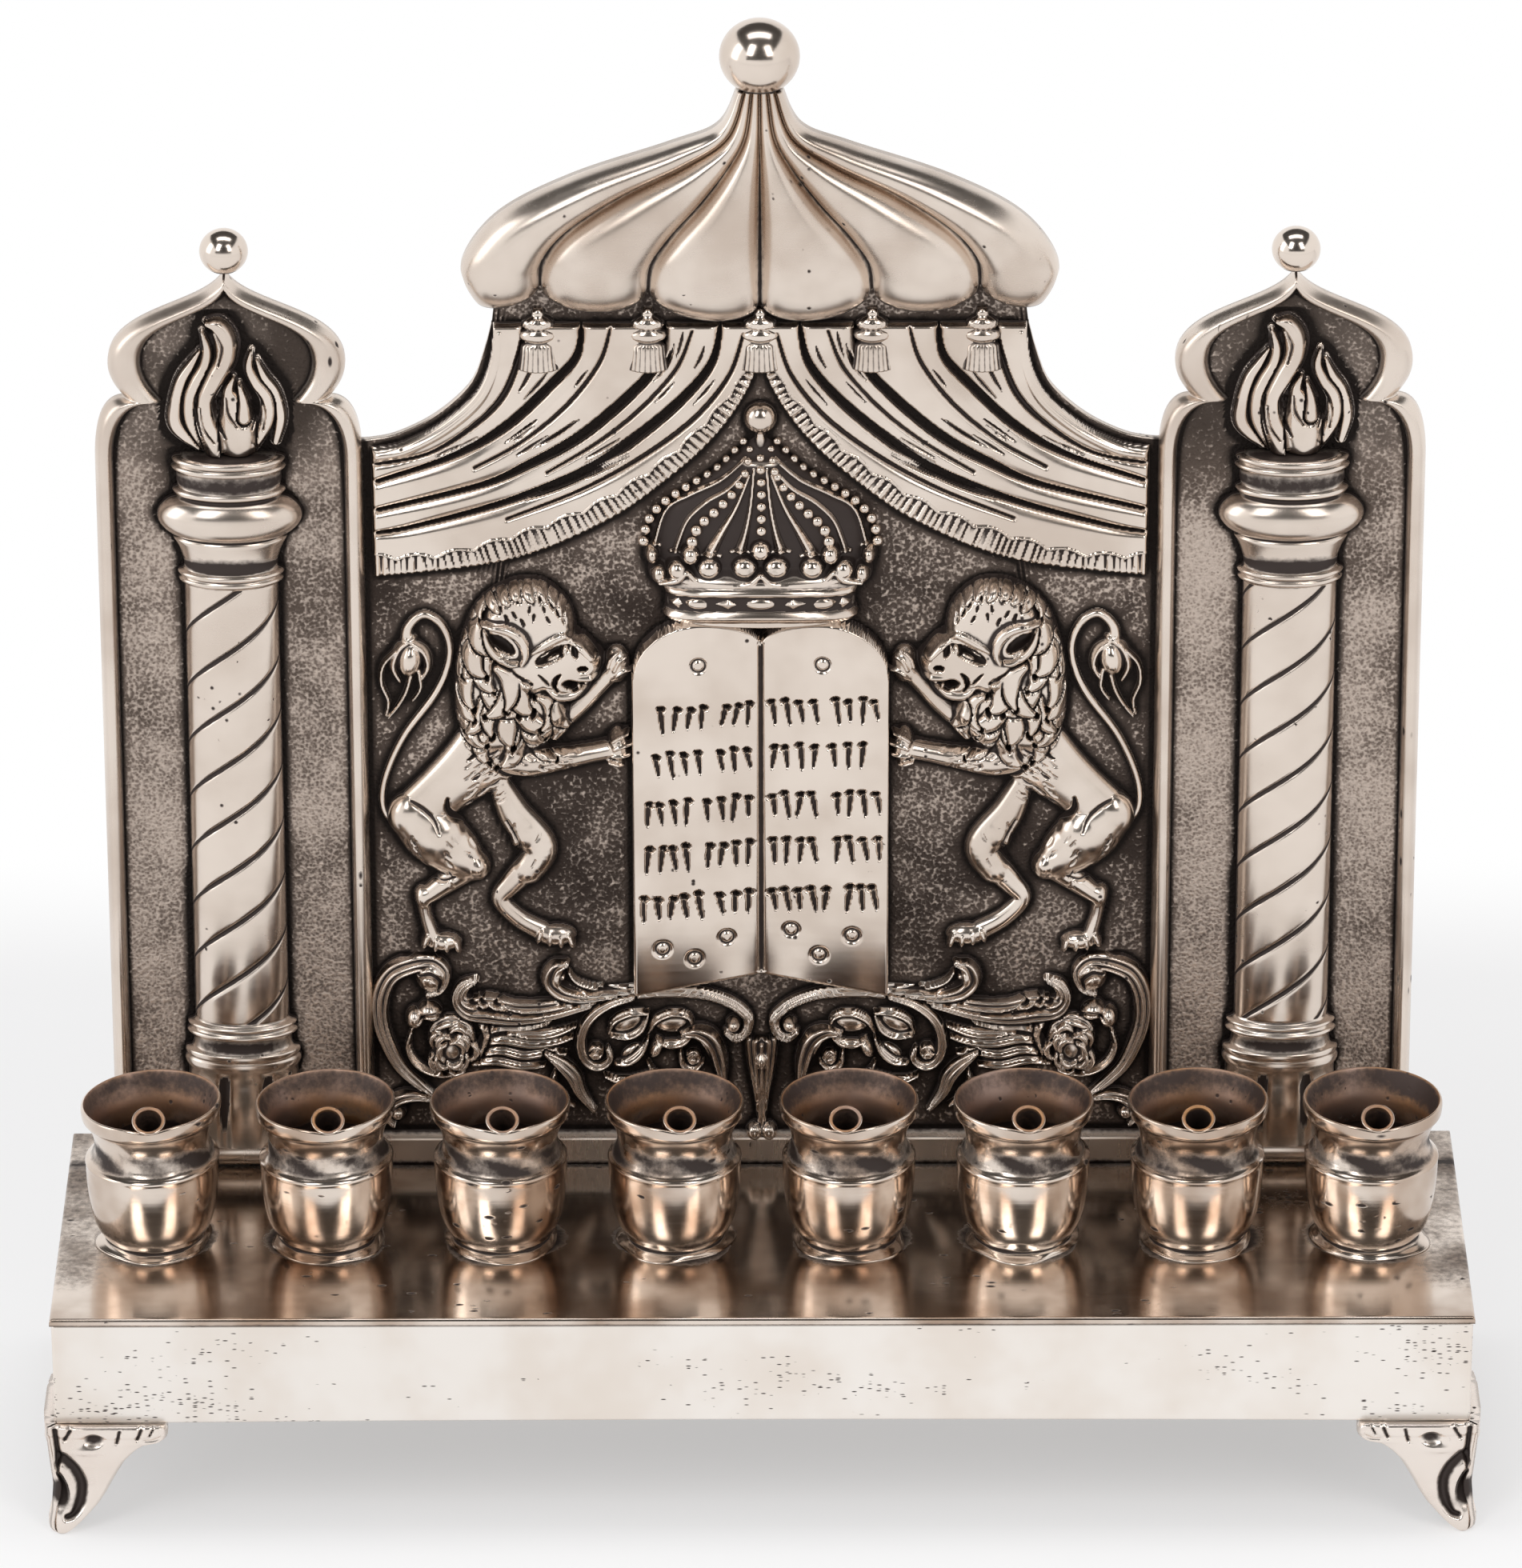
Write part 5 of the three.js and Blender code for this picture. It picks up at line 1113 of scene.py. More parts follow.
SCROLL_LEAVES = [
    [(612, 1292, 4), (634, 1284, 13), (662, 1284, 13), (692, 1279, 4)],
    [(640, 1292, 4), (664, 1296, 14), (694, 1294, 13), (727, 1282, 3)],
    [(610, 1304, 4), (636, 1301, 12), (668, 1306, 13), (700, 1303, 10), (723, 1296, 3)],
    [(606, 1318, 4), (632, 1314, 12), (660, 1320, 13), (690, 1316, 10), (713, 1317, 3)],
    [(596, 1330, 4), (626, 1327, 12), (656, 1333, 12), (686, 1332, 4)],
    [(700, 1340, 4), (697, 1356, 10), (707, 1372, 10), (723, 1382, 4)],
    [(766, 1292, 3), (773, 1277, 9), (792, 1268, 9), (815, 1267, 4)],
    [(768, 1295, 3), (790, 1297, 8), (807, 1288, 9), (815, 1271, 3)],
    [(816, 1291, 3), (826, 1276, 9), (846, 1268, 9), (866, 1272, 8), (873, 1287, 3)],
    [(774, 1330, 3), (792, 1328, 11), (807, 1316, 11), (815, 1299, 4)],
    [(826, 1299, 3), (840, 1307, 10), (858, 1305, 10), (870, 1295, 4)],
    [(716, 1214, 4), (726, 1227, 7), (748, 1235, 7), (778, 1237, 4)],
    [(586, 1270, 5), (605, 1278, 10), (613, 1296, 10), (607, 1318, 5)],
    [(543, 1302, 5), (551, 1285, 15), (570, 1278, 18), (588, 1285, 14), (598, 1300, 5)],
    [(856, 1316, 4), (859, 1332, 9), (872, 1338, 9), (884, 1328, 4)],
    [(520, 1290, 4), (516, 1310, 9), (526, 1330, 10), (548, 1342, 9), (574, 1344, 4)],
    [(816, 1330, 4), (826, 1346, 10), (846, 1352, 10), (868, 1350, 4)],
    [(762, 1345, 4), (780, 1352, 10), (800, 1350, 10), (822, 1340, 4)],
]
SCROLL_BUDS = [
    (1.45, (545, 1221, 20, 20)), (1.25, (922, 1281, 10, 10)), (1.25, (750, 1315, 11, 11)),
    (1.2, (872, 1322, 10, 10)), (1.2, (524, 1273, 12, 15)), (1.3, (543, 1264, 16, 13, -20)),
    (1.1, (826, 1311, 8, 14, -30)), (1.0, (503, 1392, 10, 9)), (1.15, (702, 1224, 10, 14)),
]
SCROLL_SWELLS = [
    (0.7, (790, 1283, 20, 12, 25)), (0.7, (845, 1283, 22, 12)), (0.8, (796, 1318, 16, 9, 30)),
    (0.75, (650, 1308, 48, 26)),
]
SCROLL_CUTS = [
    [(604, 1228, 3), (592, 1242, 7), (602, 1257, 7), (624, 1265, 3)],
    [(616, 1236, 3), (607, 1247, 6), (618, 1259, 6), (644, 1268, 3)],
    [(632, 1246, 3), (625, 1253, 5), (642, 1263, 5), (684, 1268, 3)],
    [(718, 1212, 3), (707, 1222, 6), (714, 1235, 6), (738, 1243, 3)],
    [(530, 1218, 3), (544, 1214, 7), (556, 1224, 7), (553, 1238, 3)],
    [(528, 1276, 3), (538, 1266, 5), (552, 1266, 5), (558, 1272, 3)],
    [(864, 1322, 3), (872, 1317, 4), (878, 1323, 4), (873, 1328, 3)],
    [(742, 1316, 3), (750, 1310, 4), (757, 1317, 4), (750, 1322, 3)],
    [(878, 1300, 3), (891, 1312, 5), (896, 1334, 5), (898, 1352, 3)],
]


def carve_rose(relief, column, row, size):
    """A rose: petals laid in a spiral round a small heart."""
    relief.boss((column, row, size, size * 0.92), SCROLL_RISE)
    for ring, count in ((0.76, 5), (0.48, 4), (0.24, 3)):
        for index in range(count):
            angle = 2 * math.pi * index / count + ring * 5
            middle = (column + math.cos(angle) * size * ring, row + math.sin(angle) * size * ring)
            arc = [(middle[0] + math.cos(angle + turn) * size * 0.4,
                    middle[1] + math.sin(angle + turn) * size * 0.4, 7.5 * (1.1 - abs(turn) / 2))
                   for turn in (-1.3, -0.65, 0, 0.65, 1.3)]
            ground = np.full(relief.height.shape, SCROLL_RISE * (1.35 - ring * 0.7))
            relief.shingle(ground, arc, 0.7, 1.2)


def make_scrollwork():
    """Leaf scrolls with a rose, the left ones of the pair."""
    relief = Relief((460, 952), (1196, 1412), pitch=0.2, rise=SCROLL_RISE)
    for share, place in SCROLL_SWELLS:
        relief.boss(place, SCROLL_RISE * share * 0.6)
    for points in SCROLL_LEAVES:
        relief.shingle(np.full(relief.height.shape, 0.7), points, SCROLL_RISE * 0.62, 1.8,
                       leaf_form, 6)
    for share, grooves, points in SCROLLS:
        relief.shingle(np.full(relief.height.shape, 0.35), points, SCROLL_RISE * share, 2.0,
                       grooved_form(grooves, 0.45), 8)
    for share, place in SCROLL_BUDS:
        relief.boss(place, SCROLL_RISE * share, blend=0.2)
    carve_rose(relief, 571, 1312, 26)
    for points in SCROLL_CUTS:
        relief.carve(points, 1.1, sharp=0.7)
    relief.cast_pair("chased_scrolls", "scrollwork", RELIEF)
    return relief


def make_drop():
    """The drop between the scrolls."""
    drop = Relief((930, 984), (1300, 1434), pitch=0.2, rise=SCROLL_RISE)
    drop.strand([(957, 1306, 44), (957, 1335, 36), (957, 1372, 20), (957, 1400, 12),
                 (957, 1420, 10)], SCROLL_RISE, grooved_form(4, 0.4), taper=0.3)
    for side in (-1, 1):
        drop.boss((957 + side * 9, 1416, 11, 12), SCROLL_RISE, blend=0.2)
    drop.boss((957, 1326, 9, 14), SCROLL_RISE * 1.2, blend=0.3)
    drop.cast("chased_drop", "scrollwork_drop", PLATE_FRONT, RELIEF)
    return drop


# How far the tablets stand out, which is also where the crown's ground lies

TABLET_RISE = 5.0

# Crown: picture rows, and its half width at each

CROWN_ROWS = [(779, 117), (772, 122), (762, 118), (747, 118), (738, 123), (731, 122), (716, 140),
              (693, 148), (668, 145), (645, 128), (622, 97), (598, 62), (576, 32), (556, 13)]
CROWN_RISE = 5.4
# Each string of pearls: their radius in picture points at the top and the foot, and the path
PEARL_STRINGS = [
    (4.8, 6.0, [(961, 577), (962, 610), (962, 640), (962, 664)]),
    (4.3, 7.2, [(948, 570), (941, 596), (925, 620), (904, 642), (884, 661), (876, 680)]),
    (4.8, 6.4, [(940, 562), (906, 596), (864, 621), (836, 641), (820, 662), (815, 686)]),
]
PEARL_SPACING = 2.03
CROWN_RIBS = [
    [(953, 588, 3), (949, 630, 6), (943, 662, 9), (936, 687, 15)],
    [(947, 596, 3), (931, 634, 7), (912, 667, 12), (898, 693, 17)],
    [(943, 590, 2), (921, 613, 4), (893, 631, 5), (869, 655, 6), (855, 691, 8)],
    [(942, 578, 2), (912, 604, 4), (874, 625, 5), (843, 646, 5), (829, 686, 8)],
]
# The shelf's scallops, and the rims of the band with their widths and rises
SCALLOP_COLUMNS = (961, 869, 1053)
CROWN_RIMS = ((739, 5.5, 0.8), (768, 7.5, 0.85))
BAND_HALF = 118
TREFOILS = [(961, 687, 12, 12), (942, 708, 15, 13), (981, 708, 15, 13), (874, 695, 11, 12),
            (897, 710, 15, 13), (858, 715, 13, 13), (826, 700, 8, 11), (835, 722, 10, 12)]


def crown_dome(relief):
    """The bulb of the crown: a rounded cap over each picture row's half width."""
    heights = [height_of(row) for row, half in CROWN_ROWS]
    halves = [span(half, row) for row, half in CROWN_ROWS]
    half = np.interp(relief.z, heights, halves, left=0.01, right=0.01)
    inside = np.clip(1 - (relief.x / half) ** 2, 0, 1)
    depth = np.minimum(CROWN_RISE, half)
    dome = 0.5 + depth * np.sqrt(inside)
    outside = np.where((relief.z < heights[0]) | (relief.z > heights[-1]), 2.0,
                       (np.abs(relief.x) - half) * 3)
    return dome, outside


def both_sides(points):
    """A line of picture points, and its mirror image in the crown."""
    return [[(CROWN_MIDDLE + side * (point[0] - CROWN_MIDDLE), *point[1:]) for point in points]
            for side in (1, -1)]


def pearl_string_tree():
    """Pearls strung at even steps along every line of a mesh, as large as its size attribute."""
    tree, given, out = effect("pearl string", [
        ("Lines", "Geometry", None), ("Spacing", "Float", 0.002), ("Scale", "Float", 1.12),
        ("Finish", "Material", None)], [("Pearls", "Geometry")], "Geometry")
    made = {}
    for kind in ("MeshToCurve", "ResampleCurve", "InputNamedAttribute", "MeshIcoSphere",
                 "InstanceOnPoints", "RealizeInstances", "SetShadeSmooth", "SetMaterial"):
        made[kind] = tree.nodes.new("GeometryNode" + kind)
    made["ResampleCurve"].mode = "LENGTH"
    made["InputNamedAttribute"].inputs["Name"].default_value = "size"
    made["MeshIcoSphere"].inputs["Radius"].default_value = 1.0
    made["MeshIcoSphere"].inputs["Subdivisions"].default_value = 4
    scale = math_of(tree, "MULTIPLY", made["InputNamedAttribute"].outputs[0], given["Scale"])
    for source, target in (
            (given["Lines"], made["MeshToCurve"].inputs["Mesh"]),
            (made["MeshToCurve"].outputs[0], made["ResampleCurve"].inputs["Curve"]),
            (given["Spacing"], made["ResampleCurve"].inputs["Length"]),
            (made["ResampleCurve"].outputs[0], made["InstanceOnPoints"].inputs["Points"]),
            (made["MeshIcoSphere"].outputs["Mesh"], made["InstanceOnPoints"].inputs["Instance"]),
            (scale, made["InstanceOnPoints"].inputs["Scale"]),
            (made["InstanceOnPoints"].outputs[0], made["RealizeInstances"].inputs[0]),
            (made["RealizeInstances"].outputs[0], made["SetShadeSmooth"].inputs[0]),
            (made["SetShadeSmooth"].outputs[0], made["SetMaterial"].inputs["Geometry"]),
            (given["Finish"], made["SetMaterial"].inputs["Material"]),
            (made["SetMaterial"].outputs[0], out["Pearls"])):
        tree.links.new(source, target)
    return tree


def string_pearls(relief):
    """The crown's five strings of pearls, seated on its ground."""
    points, edges, sizes = [], [], []
    for first, last, path in PEARL_STRINGS:
        for line in both_sides(path)[:1 if path[0][0] == CROWN_MIDDLE else 2]:
            curve = spline(line, 8)
            for step, (column, row) in enumerate(curve):
                x, z = on_plate(column, row, CROWN_MIDDLE)
                share = step / (len(curve) - 1)
                radius = span(first + (last - first) * share, row)
                i = min(int(np.searchsorted(relief.zs, z)), relief.height.shape[0] - 1)
                j = min(int(np.searchsorted(relief.xs, x)), relief.height.shape[1] - 1)
                height = max(relief.height[i, j], 0.3) + 0.35 * radius
                if step:
                    edges.append((len(points) - 1, len(points)))
                points.append((x * MM, PLATE_FRONT - height * MM,
                               BENCH_TOP + (z + relief.lift) * MM))
                sizes.append(radius * MM)
    mesh = bpy.data.meshes.new("strung_pearls")
    mesh.from_pydata(points, edges, [])
    mark_points(mesh, "size", sizes)
    obj = put("strung_pearls", mesh)
    tree = pearl_string_tree()
    modifier = obj.modifiers.new("pearls", "NODES")
    modifier.node_group = tree
    for socket in tree.interface.items_tree:
        if socket.name == "Spacing":
            modifier[socket.identifier] = PEARL_SPACING * MM
        elif socket.name == "Finish":
            modifier[socket.identifier] = POLISHED
    evaluated = obj.evaluated_get(bpy.context.evaluated_depsgraph_get())
    obj.data = bpy.data.meshes.new_from_object(evaluated)
    obj.modifiers.remove(modifier)
    seat(obj, "crown")


def make_crown():
    """An arched crown over a band, with trefoils of pearls between them."""
    relief = Relief((800, 1122), (508, 786), CROWN_MIDDLE, pitch=0.17, rise=TABLET_RISE)
    dome, outside = crown_dome(relief)
    above_band = smoothstep(height_of(728), height_of(708), relief.z)
    ground = np.where(outside > 0, -outside, dome - 2.3 * above_band)
    relief.height = ground.copy()
    for points in CROWN_RIBS:
        relief.pile(both_sides(points), 1.5, ridged_form, taper=0.3)
    for points in CROWN_RIBS:
        column, row, width = points[-1]
        for end in both_sides([(column - width * 0.75, row + 3, 5), (column, row, 6),
                               (column + width * 0.75, row + 3, 5)]):
            relief.pile([end], 0.7, round_form, taper=0.3)
    raised = relief.height - ground
    relief.shade = 1.3 * above_band * np.clip(1 - raised / 0.5, 0, 1) * (ground > 0)
    # Trefoils of larger pearls, and the scalloped shelf they stand on
    for column, row, half_width, half_height in TREFOILS:
        x = span(column - CROWN_MIDDLE, 700)
        share = np.sqrt(max(0.02, 1 - (x / span(153, 700)) ** 2))
        for place in both_sides([(column, row)]):
            relief.boss((place[0][0], row, half_width, half_height), 2.1,
                        foot=CROWN_RISE * share - 1.3)
    for column in SCALLOP_COLUMNS:
        foot = CROWN_RISE * math.sqrt(1 - ((column - 961) / 140) ** 2) - 0.6
        relief.strand([(column - 34, 729, 4), (column - 12, 725, 9), (column, 716, 8),
                       (column + 12, 725, 9), (column + 34, 729, 4)], 1.2, foot=foot, taper=0.2)
    # The band between two rims that arch in the middle, with its ovals and lozenges
    sag = (np.abs(relief.column - CROWN_MIDDLE) / BAND_HALF) ** 2 * 8
    for row, width, rise in CROWN_RIMS:
        near = np.clip(1 - np.abs((relief.row - row - sag + 3) / width), 0, 1) ** 0.6
        relief.change(outside <= 0, relief.height + rise * near)
    between = ((relief.row - sag + 3 > 742) & (relief.row - sag + 3 < 761) & (outside < 0))
    relief.shade = np.where(between, 1.1, relief.shade)
    for index in range(-3, 4):
        turn = index / 3.6 * 1.25
        share = math.cos(turn)
        place = (CROWN_MIDDLE + BAND_HALF * math.sin(turn), 749 + 8 * math.sin(turn) ** 2)
        foot = 0.5 + CROWN_RISE * share - 0.3
        if index % 2 == 0:
            relief.boss((*place, 18 * (0.3 + 0.75 * share), 7.5), 0.9, foot=foot)
        else:
            away = np.abs((relief.column - place[0]) / (16 * (0.25 + 0.8 * share)))
            away = away + np.abs((relief.row - place[1]) / 8.5)
            body = foot + 1.0 * np.clip(1 - away, 0, 1) ** 0.6
            relief.merge(np.where(away > 1, foot - 9 * (away - 1), body))
    bright = relief.height - np.where(outside > 0, 0, dome)
    relief.shade = np.where(between & (bright > 0.15), 0, relief.shade)
    relief.boss((961, 533, 21, 20), 2.9, power=0.5)
    relief.strand([(961, 552, 12), (961, 566, 16)], 1.6)
    relief.cast("chased_crown", "crown", PLATE_FRONT, POLISHED)
    string_pearls(relief)
    return relief


# Tablets like an open book, with ruled strokes and small ring marks

TABLET_SPINE = 3.2
TABLET_HALF = 160
NOTCH_ROW = 809
HEAD_ROW = 781
SHOULDER_ROW = 845
RING_MARKS = [(883, 832), (1038, 831), (918, 1171), (878, 1196), (838, 1183), (998, 1162),
              (1074, 1167), (1033, 1192)]
# Rows of chisel marks, and how far from the middle they start and end
RULED_ROWS = [893, 949, 1009, 1066, 1127]
RULED_FIRST = 16
RULED_LAST = 149


def tablet_head(x):
    """Height of the round heads over the plate's middle, by distance from it."""
    half, peak = span(159, SHOULDER_ROW), span(77, 783)
    notch, top, shoulder = height_of(NOTCH_ROW), height_of(HEAD_ROW), height_of(SHOULDER_ROW)
    away = np.abs(x)
    inner = notch + (top - notch) * np.sqrt(np.clip(1 - ((peak - away) / peak) ** 2, 0, 1))
    outer = shoulder + (top - shoulder) * np.sqrt(
        np.clip(1 - ((away - peak) / (half - peak)) ** 2, 0, 1))
    return np.where(away < peak, inner, outer)


def make_tablets():
    """Two round-headed tablets that slope up from a crease in their middle."""
    relief = Relief((790, 1132), (770, 1254), CROWN_MIDDLE, pitch=0.25, rise=TABLET_RISE)
    x, z = relief.x, relief.z
    half = span(TABLET_HALF, 1000)
    foot = height_of(1219) + (height_of(1242) - height_of(1219)) * np.abs(x) / half
    inside = np.minimum(np.minimum(half - np.abs(x), z - foot), (tablet_head(x) - z) * 0.8)
    face = TABLET_SPINE + (TABLET_RISE - TABLET_SPINE) * (np.abs(x) / half) ** 0.8
    edge = 0.5 - np.sqrt(np.clip(0.25 - np.clip(0.5 - inside, 0, None) ** 2, 0, None))
    relief.height = np.where(inside > 0, face - edge, inside * 9)
    crease = np.exp(-(x / 0.42) ** 2)
    relief.change(inside > 0.5, relief.height - 0.9 * crease)
    rng = np.random.default_rng(11)
    for row in RULED_ROWS:
        for side in (-1, 1):
            place = RULED_FIRST
            for word in ((4, 5, 4), (3, 4, 3))[:: side]:
                for _ in range(rng.choice(word)):
                    middle = row - 0.05 * place * side
                    column = CROWN_MIDDLE + side * place
                    tall, lean = rng.uniform(10, 15), rng.uniform(-3, 3)
                    relief.carve([(column - lean, middle + tall, 4), (column, middle, 7),
                                  (column + lean, middle - tall, 7.5)], 0.9, steps=3, sharp=0.5)
                    relief.dent((column + lean - side * 2, middle - tall, 6.5, 4, 20 * side), 0.9,
                                power=0.4)
                    place += rng.uniform(15, 18.5)
                    if place > RULED_LAST:
                        break
                place += rng.uniform(9, 13)
    for column, row in RING_MARKS:
        x0, z0 = on_plate(column, row, CROWN_MIDDLE)
        away = np.hypot(x - x0, z - z0)
        radius = span(8.5, row)
        ring = np.exp(-((away - radius) / 0.27) ** 2)
        relief.height = relief.height - 0.55 * ring
    relief.cast("polished_tablets", "tablets", PLATE_FRONT, POLISHED)
    return relief


# Canopy: the edges of its left three gores, from the neck to the hem

CANOPY_RISE = 7.0
GORE_EDGES = [
    [(932, 106), (908, 151), (847, 175), (725, 215), (633, 262), (588, 322), (604, 366)],
    [(942, 106), (921, 162), (870, 196), (790, 234), (722, 277), (690, 315), (686, 350)],
    [(951, 106), (943, 162), (922, 201), (889, 244), (850, 286), (826, 320), (821, 355)],
    [(961, 106), (961, 162), (961, 201), (961, 244), (961, 286), (961, 329), (961, 371)],
]
GORE_DROPS = [20, 34, 34]


def rim_curve(points, middle, steps):
    """A smooth line on the plate through picture points."""
    return spline([on_plate(column, row, middle) for column, row in points], steps)


def make_canopy():
    """Six swelling gores with deep valleys between them, rounded off over a dark hem."""
    steps, across = 26, 30
    edges = [rim_curve(points, CROWN_MIDDLE, steps) for points in GORE_EDGES]
    down = np.linspace(0, 1, len(edges[0]))
    columns, hollows = [], []
    for side in (-1, 1):
        gores = range(3) if side < 0 else range(2, -1, -1)
        for gore in gores:
            outer, inner = edges[gore], edges[gore + 1]
            for step in range(across + (gore == 0 and side > 0)):
                within = step / across if side < 0 else 1 - step / across
                arc = np.sqrt(max(0.0, 1 - (2 * within - 1) ** 2))
                past = np.clip((down - 0.7) / 0.3, 0, 1)
                round_off = np.sqrt(np.clip(1 - (past * 0.985) ** 2.4, 0, 1))
                swell = 0.3 + 0.7 * smoothstep(-0.1, 0.68, down)
                height = 0.6 + 1.1 * round_off
                height = height + (CANOPY_RISE - 1.7) * arc**0.95 * swell * round_off
                x = outer[:, 0] + (inner[:, 0] - outer[:, 0]) * within
                drop = span(GORE_DROPS[gore], 22) * arc * down**5
                z = outer[:, 1] + (inner[:, 1] - outer[:, 1]) * within - drop
                columns.append(np.stack([-side * x if side > 0 else x, -height, z], -1))
                edge = (1 - smoothstep(0.06, 0.26, arc)) * smoothstep(0.0, 0.3, down)
                if gore == 0 and within < 0.5:
                    edge = 0
                hem = smoothstep(0.97, 0.998, down) * 1.2
                hollows.append(np.maximum(edge * 1.2, hem))
    front = np.stack(columns, 1)[::-1]
    hollow = np.stack(hollows, 1)[::-1]
    slab("gored_canopy", "canopy", front, hollow, (0, PLATE_FRONT, BENCH_TOP), CANOPY_METAL, 0.15)


# Balls on the canopy and on the two arches, each cut flat at this height over its radius

BALL_CUT = -0.86
BALL_SIDES = 64


def make_ball(name, node):
    """A ball that fills the box of its node."""
    low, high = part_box(node)
    middle = (low + high) / 2
    reach = (high.x - low.x) / 2
    tall = high.z - low.z
    profile = [(0, 0)]
    start = math.asin(BALL_CUT)
    for step in range(25):
        angle = start + (math.pi / 2 - start) * step / 24
        profile.append((max(0.0, reach * math.cos(angle)),
                        tall * (math.sin(angle) - BALL_CUT) / (1 - BALL_CUT)))
    profile[-1] = (0, tall)
    points, faces = turned(profile, BALL_SIDES)
    points = points + (middle.x, middle.y, low.z)
    # Darker towards its foot, where it sits
    darkening = 1.1 * (1 - smoothstep(0.0, 0.12, (points[:, 2] - low.z) / tall))
    piece(name, node, points, faces, POLISHED, darkening)


# Curtains: folds swept down and out from the canopy, with a fringe on the inner edge

CURTAIN_OUTER = [(624, 404), (619, 447), (600, 487), (557, 524), (508, 549), (472, 556)]
CURTAIN_FRINGE = [(955, 408), (948, 470), (904, 539), (838, 599), (758, 652), (639, 698),
                  (474, 718)]
CURTAIN_HEM = [(948, 404), (937, 462), (868, 544), (785, 606), (705, 645), (573, 685),
               (474, 690)]
CURTAIN_PLEATS = [
    (1.0, [(664, 396, 4), (656, 440, 8), (634, 492, 9), (592, 532, 7), (540, 562, 5),
           (476, 574, 3)]),
    (1.5, [(734, 400, 4), (728, 440, 10), (696, 476, 13), (642, 526, 13), (576, 564, 9),
           (478, 596, 4)]),
    (0.7, [(770, 404, 2), (756, 448, 5), (716, 500, 6), (660, 546, 5), (600, 578, 3)]),
    (1.6, [(838, 398, 4), (830, 446, 11), (800, 484, 14), (734, 540, 15), (668, 576, 12),
           (606, 602, 8), (478, 632, 4)]),
    (0.7, [(872, 408, 2), (852, 456, 5), (806, 508, 6), (752, 550, 5), (690, 586, 3)]),
    (1.5, [(908, 398, 4), (898, 446, 10), (866, 488, 13), (812, 535, 15), (746, 580, 13),
           (640, 622, 9), (526, 652, 5), (478, 660, 3)]),
    (0.8, [(936, 412, 2), (918, 464, 5), (874, 518, 7), (806, 568, 6), (730, 608, 4),
           (640, 642, 2)]),
]

# Millimetres along the hem from scallop to scallop, and from strand to strand
FRINGE_SCALLOP = 6.3
FRINGE_STRAND = 1.15


def make_curtains():
    """A curtain with carved pleats, a rolled edge and a fringe, and its mirror image."""
    relief = Relief((466, 961), (392, 722), pitch=0.21)
    outer = rim_curve(CURTAIN_OUTER, CARVING_MIDDLE, 12)
    fringe = rim_curve(CURTAIN_FRINGE, CARVING_MIDDLE, 12)
    hem = rim_curve(CURTAIN_HEM, CARVING_MIDDLE, 12)

    def reach_of(curve):
        """Signed height of each grid place over a curve that runs from the right to the left."""
        order = np.argsort(curve[:, 0])
        return relief.z - np.interp(relief.x, curve[order, 0], curve[order, 1])

    curve = rim_curve(CURTAIN_HEM, CARVING_MIDDLE, 40)
    lengths = np.concatenate([[0], np.cumsum(np.hypot(*np.diff(curve, axis=0).T))])
    distance = np.full(relief.x.shape, 99.0)
    course = np.zeros(relief.x.shape)
    for (x, z), length in zip(curve, lengths):
        away = np.hypot(relief.x - x, relief.z - z)
        closer = away < distance
        distance = np.where(closer, away, distance)
        course = np.where(closer, length, course)
    under = reach_of(outer)
    above_fringe = reach_of(fringe)
    above_hem = reach_of(hem) + 0.4 - 0.95 * np.abs(np.sin(course / FRINGE_SCALLOP * math.pi))
    cloth = np.minimum(above_fringe, height_of(400) - relief.z)
    body = np.where(relief.x > on_plate(624, 404)[0], cloth, np.minimum(cloth, -under))
    body = np.minimum(body, relief.x + span(CARVING_MIDDLE - 472, 600))
    relief.height = np.where(body > 0, 0.9 + 1.1 * np.sqrt(np.clip(body / 0.5, 0, 1)), body * 6)
    inside = body > 0
    # Soft folds between the carved pleats
    for depth, points in CURTAIN_PLEATS:
        offset, _ = relief.near([(c, r, w * 3.2) for c, r, w in points])
        fall = 0.6 * depth * np.exp(-offset**2 * 1.6)
        relief.change(inside, relief.height - fall)
    for depth, points in CURTAIN_PLEATS:
        relief.carve(points, depth, sharp=0.7)
    rng = np.random.default_rng(21)
    lines = [spline([(c, r) for c, r, w in points], 12) for depth, points in CURTAIN_PLEATS]
    lines = [line[np.linspace(0, len(line) - 1, 40).astype(int)] for line in lines]
    for first, second in zip(lines, lines[1:]):
        for _ in range(4):
            share, start = rng.uniform(0.25, 0.75), rng.integers(1, 30)
            stroke = (first + (second - first) * share)[start:start + rng.integers(5, 10)][::2]
            widths = rng.uniform(3.5, 6) * np.sin(np.linspace(0.25, 2.9, len(stroke)))
            relief.carve([(*place, width) for place, width in zip(stroke, widths)], 0.7, sharp=0.6)
    # Rolled outer edge
    edge = [(column + 7, row + 7, 15) for column, row in CURTAIN_OUTER]
    relief.strand(edge, 2.25, foot=0.1, blend=0.2, taper=0)
    # Fringe: a lower step with strands across it
    step = np.where(above_hem < 0, 0.75, 0)
    relief.change(inside, relief.height - step)
    lip = inside & (above_hem < 0.35) & (above_hem > -0.1)
    relief.change(lip, relief.height + 0.45)
    band = inside & (above_hem < 0.05)
    ripple = 0.5 + 0.5 * np.cos(course / FRINGE_STRAND * 2 * math.pi + np.sin(course) * 1.2)
    relief.change(band, relief.height - 0.6 * ripple**1.5)
    relief.cast_pair("draped_curtain", "curtain", CURTAIN_METAL)
    return relief


# Tassels: a hatched cap, a bead and a ribbed skirt, about their own axes. The profile gives shares
# of a tassel's half width and of its height, from the foot up.

